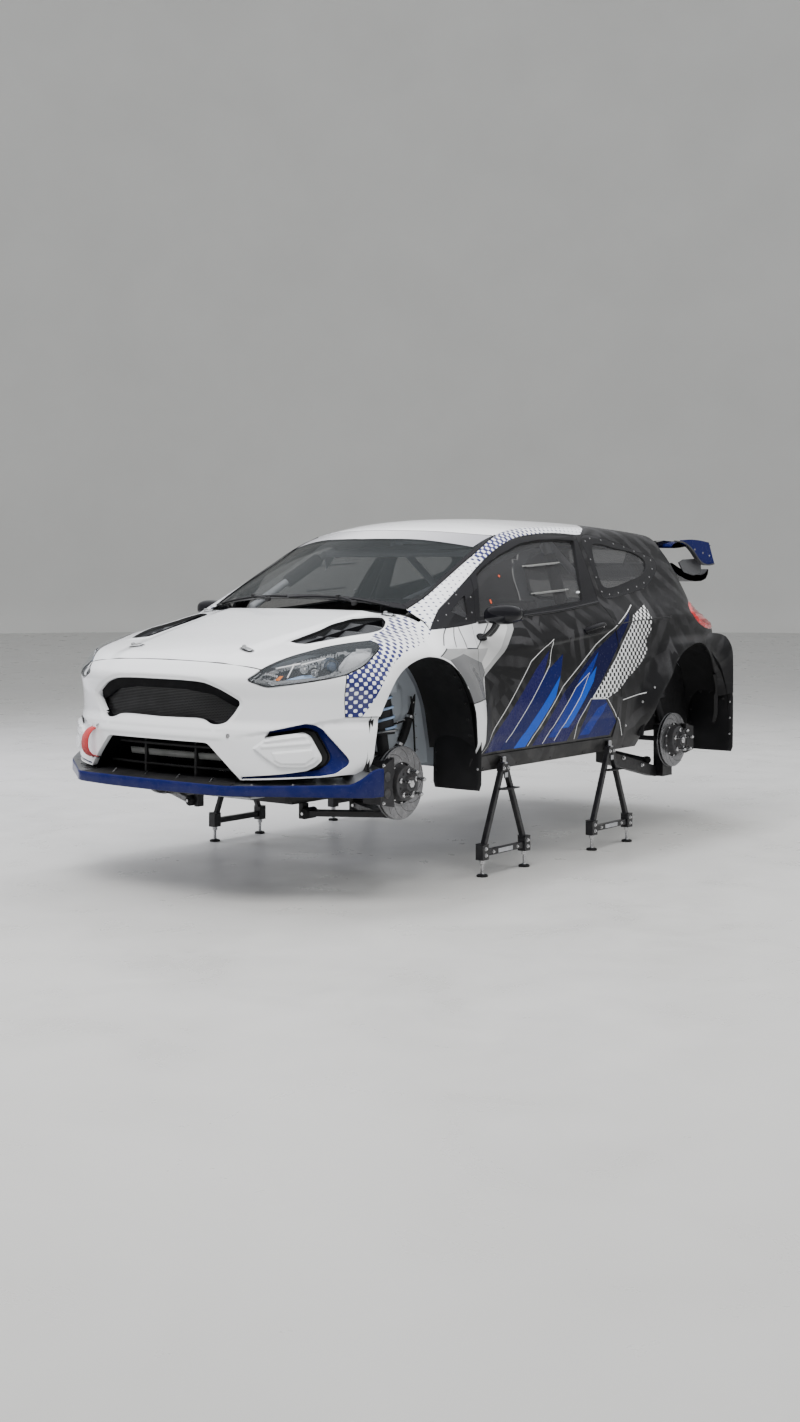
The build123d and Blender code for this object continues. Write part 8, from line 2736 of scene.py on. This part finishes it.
for s in (1, -1):
    P_ = lambda a: (s * a[0], a[1], a[2])
    pad(P_((.500, 1.560, 1.590)), P_((.500, .960, 1.512)), .12, .88)
    pad(P_((.500, .960, 1.512)), P_((.606, .500, 1.240)), .10, .55)
    pad(P_((.628, 1.560, 1.180)), P_((.500, 1.560, 1.590)), .15, .80)
    for n_ in ((.500, 1.560, 1.590), (.500, .960, 1.512)):
        q = np.array(P_(n_))
        k.prism([(q[1] - .01, q[2] - .02), (q[1] + (.07 if n_[1] < 1 else -.07), q[2] - .018), (q[1], q[2] - .085)], 0, q[0] - .002, q[0] + .002, "cage_paint")
    for y in (1.560, .490):
        k.box((s * .63 - .06, y - .05, .502), (s * .63 + .04, y + .05, .506), "cage_paint")
    # door bars
    a, b = (s * .640, .500, .640), (s * .640, 1.560, .980)
    k.rod(a, b, .019, "cage_paint", 20)
    a2, b2 = (s * .640, .500, .980), (s * .640, 1.560, .640)
    k.rod(a2, (s * .640, 1.02, .813), .019, "cage_paint", 20)
    k.rod((s * .640, 1.04, .807), b2, .019, "cage_paint", 20)
# extinguisher with two clamp bands; the A-pillar and main hoop foam seen through the side window comes from pad() above
k.lathe((0, 1.90, .580), (1, 0, 0), [(.001, -.21), (.040, -.205), (.062, -.18), (.065, -.15), (.065, .15), (.060, .18), (.020, .20), (.016, .24)], "red_lens", 30)
for x in (-.12, .12):
    k.lathe((x, 1.90, .580), (1, 0, 0), [(.067, -.010), (.067, .010)], "bright_steel", 30, False)
k.put("cage_fittings", slot="cage_paint")

# ------------------------------------------------------------------ finishes of the CAD pieces that stay
CAD_LOOK = {"floor_pan": "shell_grey", "roll_cage": "cage_paint", "engine_block": "cast_dark", "suspension_arms": "black_steel", "subframes": "black_steel", "struts": "cast_dark",
            "driveshafts": "black_steel", "knuckle_left": "cast_dark", "knuckle_right": "cast_dark", "steering_rack": "bright_steel", "skid_plate": "alloy", "exhaust": "exhaust_steel"}

# ------------------------------------------------------------------ camera, light and floor
cam_d = bpy.data.cameras.new("camera")
cam = bpy.data.objects.new("camera", cam_d)
bpy.context.scene.collection.objects.link(cam)
cam.location = (5.5592, -7.415, 1.4446)
cam.rotation_euler = (math.radians(90), 0, math.radians(37.775))
cam_d.sensor_fit = "VERTICAL"
cam_d.sensor_height = 36.0
cam_d.sensor_width = 36.0 * 800 / 1422
cam_d.lens = 44.39
cam_d.shift_y = -0.1016
cam_d.clip_end = 200
bpy.context.scene.camera = cam

fm = Nodes("floor_concrete")
c = fm.coords()
big = fm.noise(0.55, 5.0, 0.6, vec=c, dist=0.6)
mid = fm.noise(2.6, 6.0, 0.65, vec=c, dist=0.4)
fm.base(fm.mix(fm.ramp(mid, 0.3, 0.72), fm.mix(fm.ramp(big, 0.3, 0.7), (0.43, 0.43, 0.42), (0.51, 0.51, 0.50)), (0.48, 0.48, 0.47)))
fm.rough(fm.ramp(mid, 0.3, 0.7, 0.24, 0.40))

fl = bpy.data.meshes.new("floor")
S = 31.0
fl.from_pydata([(-S, -S, 0), (S, -S, 0), (S, S, 0), (-S, S, 0)], [], [(0, 1, 2, 3)])
fl.materials.append(MATS["floor_concrete"])
flo = bpy.data.objects.new("floor", fl)
bpy.context.scene.collection.objects.link(flo)
wm = Nodes("wall_pale")
c = wm.coords()
wm.base(wm.mix(wm.ramp(wm.noise(0.6, 3.0, vec=c), 0.3, 0.7), (0.70, 0.70, 0.685), (0.74, 0.74, 0.725)))
wm.rough(0.7)
wall = bpy.data.meshes.new("backdrop")
V, Fc = [], []
n = 48
R = 30.0
for i in range(n + 1):
    a = 2 * math.pi * i / n
    for z, r in ((0.0, R), (0.25, R + 0.10), (0.7, R + 0.3), (16.0, R + 0.3)):
        V.append((r * math.cos(a), r * math.sin(a), z))
for i in range(n):
    for k in range(3):
        Fc.append((i * 4 + k, i * 4 + k + 1, (i + 1) * 4 + k + 1, (i + 1) * 4 + k))
wall.from_pydata(V, [], Fc)
wall.materials.append(MATS["wall_pale"])
for p in wall.polygons:
    p.use_smooth = True
wo = bpy.data.objects.new("backdrop", wall)
bpy.context.scene.collection.objects.link(wo)

world = bpy.data.worlds.new("studio")
world.use_nodes = True
bg = world.node_tree.nodes["Background"]
bg.inputs["Color"].default_value = (0.90, 0.91, 0.92, 1)
bg.inputs["Strength"].default_value = 0.90
bpy.context.scene.world = world


def area(name, loc, target, size, power, col=(1, 1, 1)):
    d = bpy.data.lights.new(name, "AREA")
    d.shape = "RECTANGLE"
    d.size, d.size_y = size
    d.energy = power
    d.color = col
    o = bpy.data.objects.new(name, d)
    o.location = loc
    v = Vector(target) - Vector(loc)
    o.rotation_euler = v.to_track_quat("-Z", "Y").to_euler()
    o.visible_glossy = False
    bpy.context.scene.collection.objects.link(o)
    return o


area("ceiling_front", (1.5, -4.5, 6.4), (0.3, -1.0, 0.6), (5.0, 3.0), 630, (1.0, 0.98, 0.96))
area("ceiling_mid", (-1.0, 0.6, 6.6), (0, 0.4, 0.8), (7.0, 1.4), 460, (0.97, 0.98, 1.0))
area("ceiling_back", (-2.5, 4.5, 6.0), (0, 1.5, 1.0), (6.0, 2.0), 320, (0.95, 0.95, 1.0))
area("window_left", (-7.0, -1.5, 2.6), (0, 0, 0.9), (3.2, 2.2), 430, (0.88, 0.88, 1.0))
area("side_right", (6.5, 3.5, 6.0), (0.4, 0.6, 0.8), (7.0, 3.0), 365, (1.0, 0.98, 0.95))

for node, m in CAD_LOOK.items():
    o = frame["nodes"][node]
    for i in range(len(o.material_slots)):
        o.material_slots[i].material = MATS[m]

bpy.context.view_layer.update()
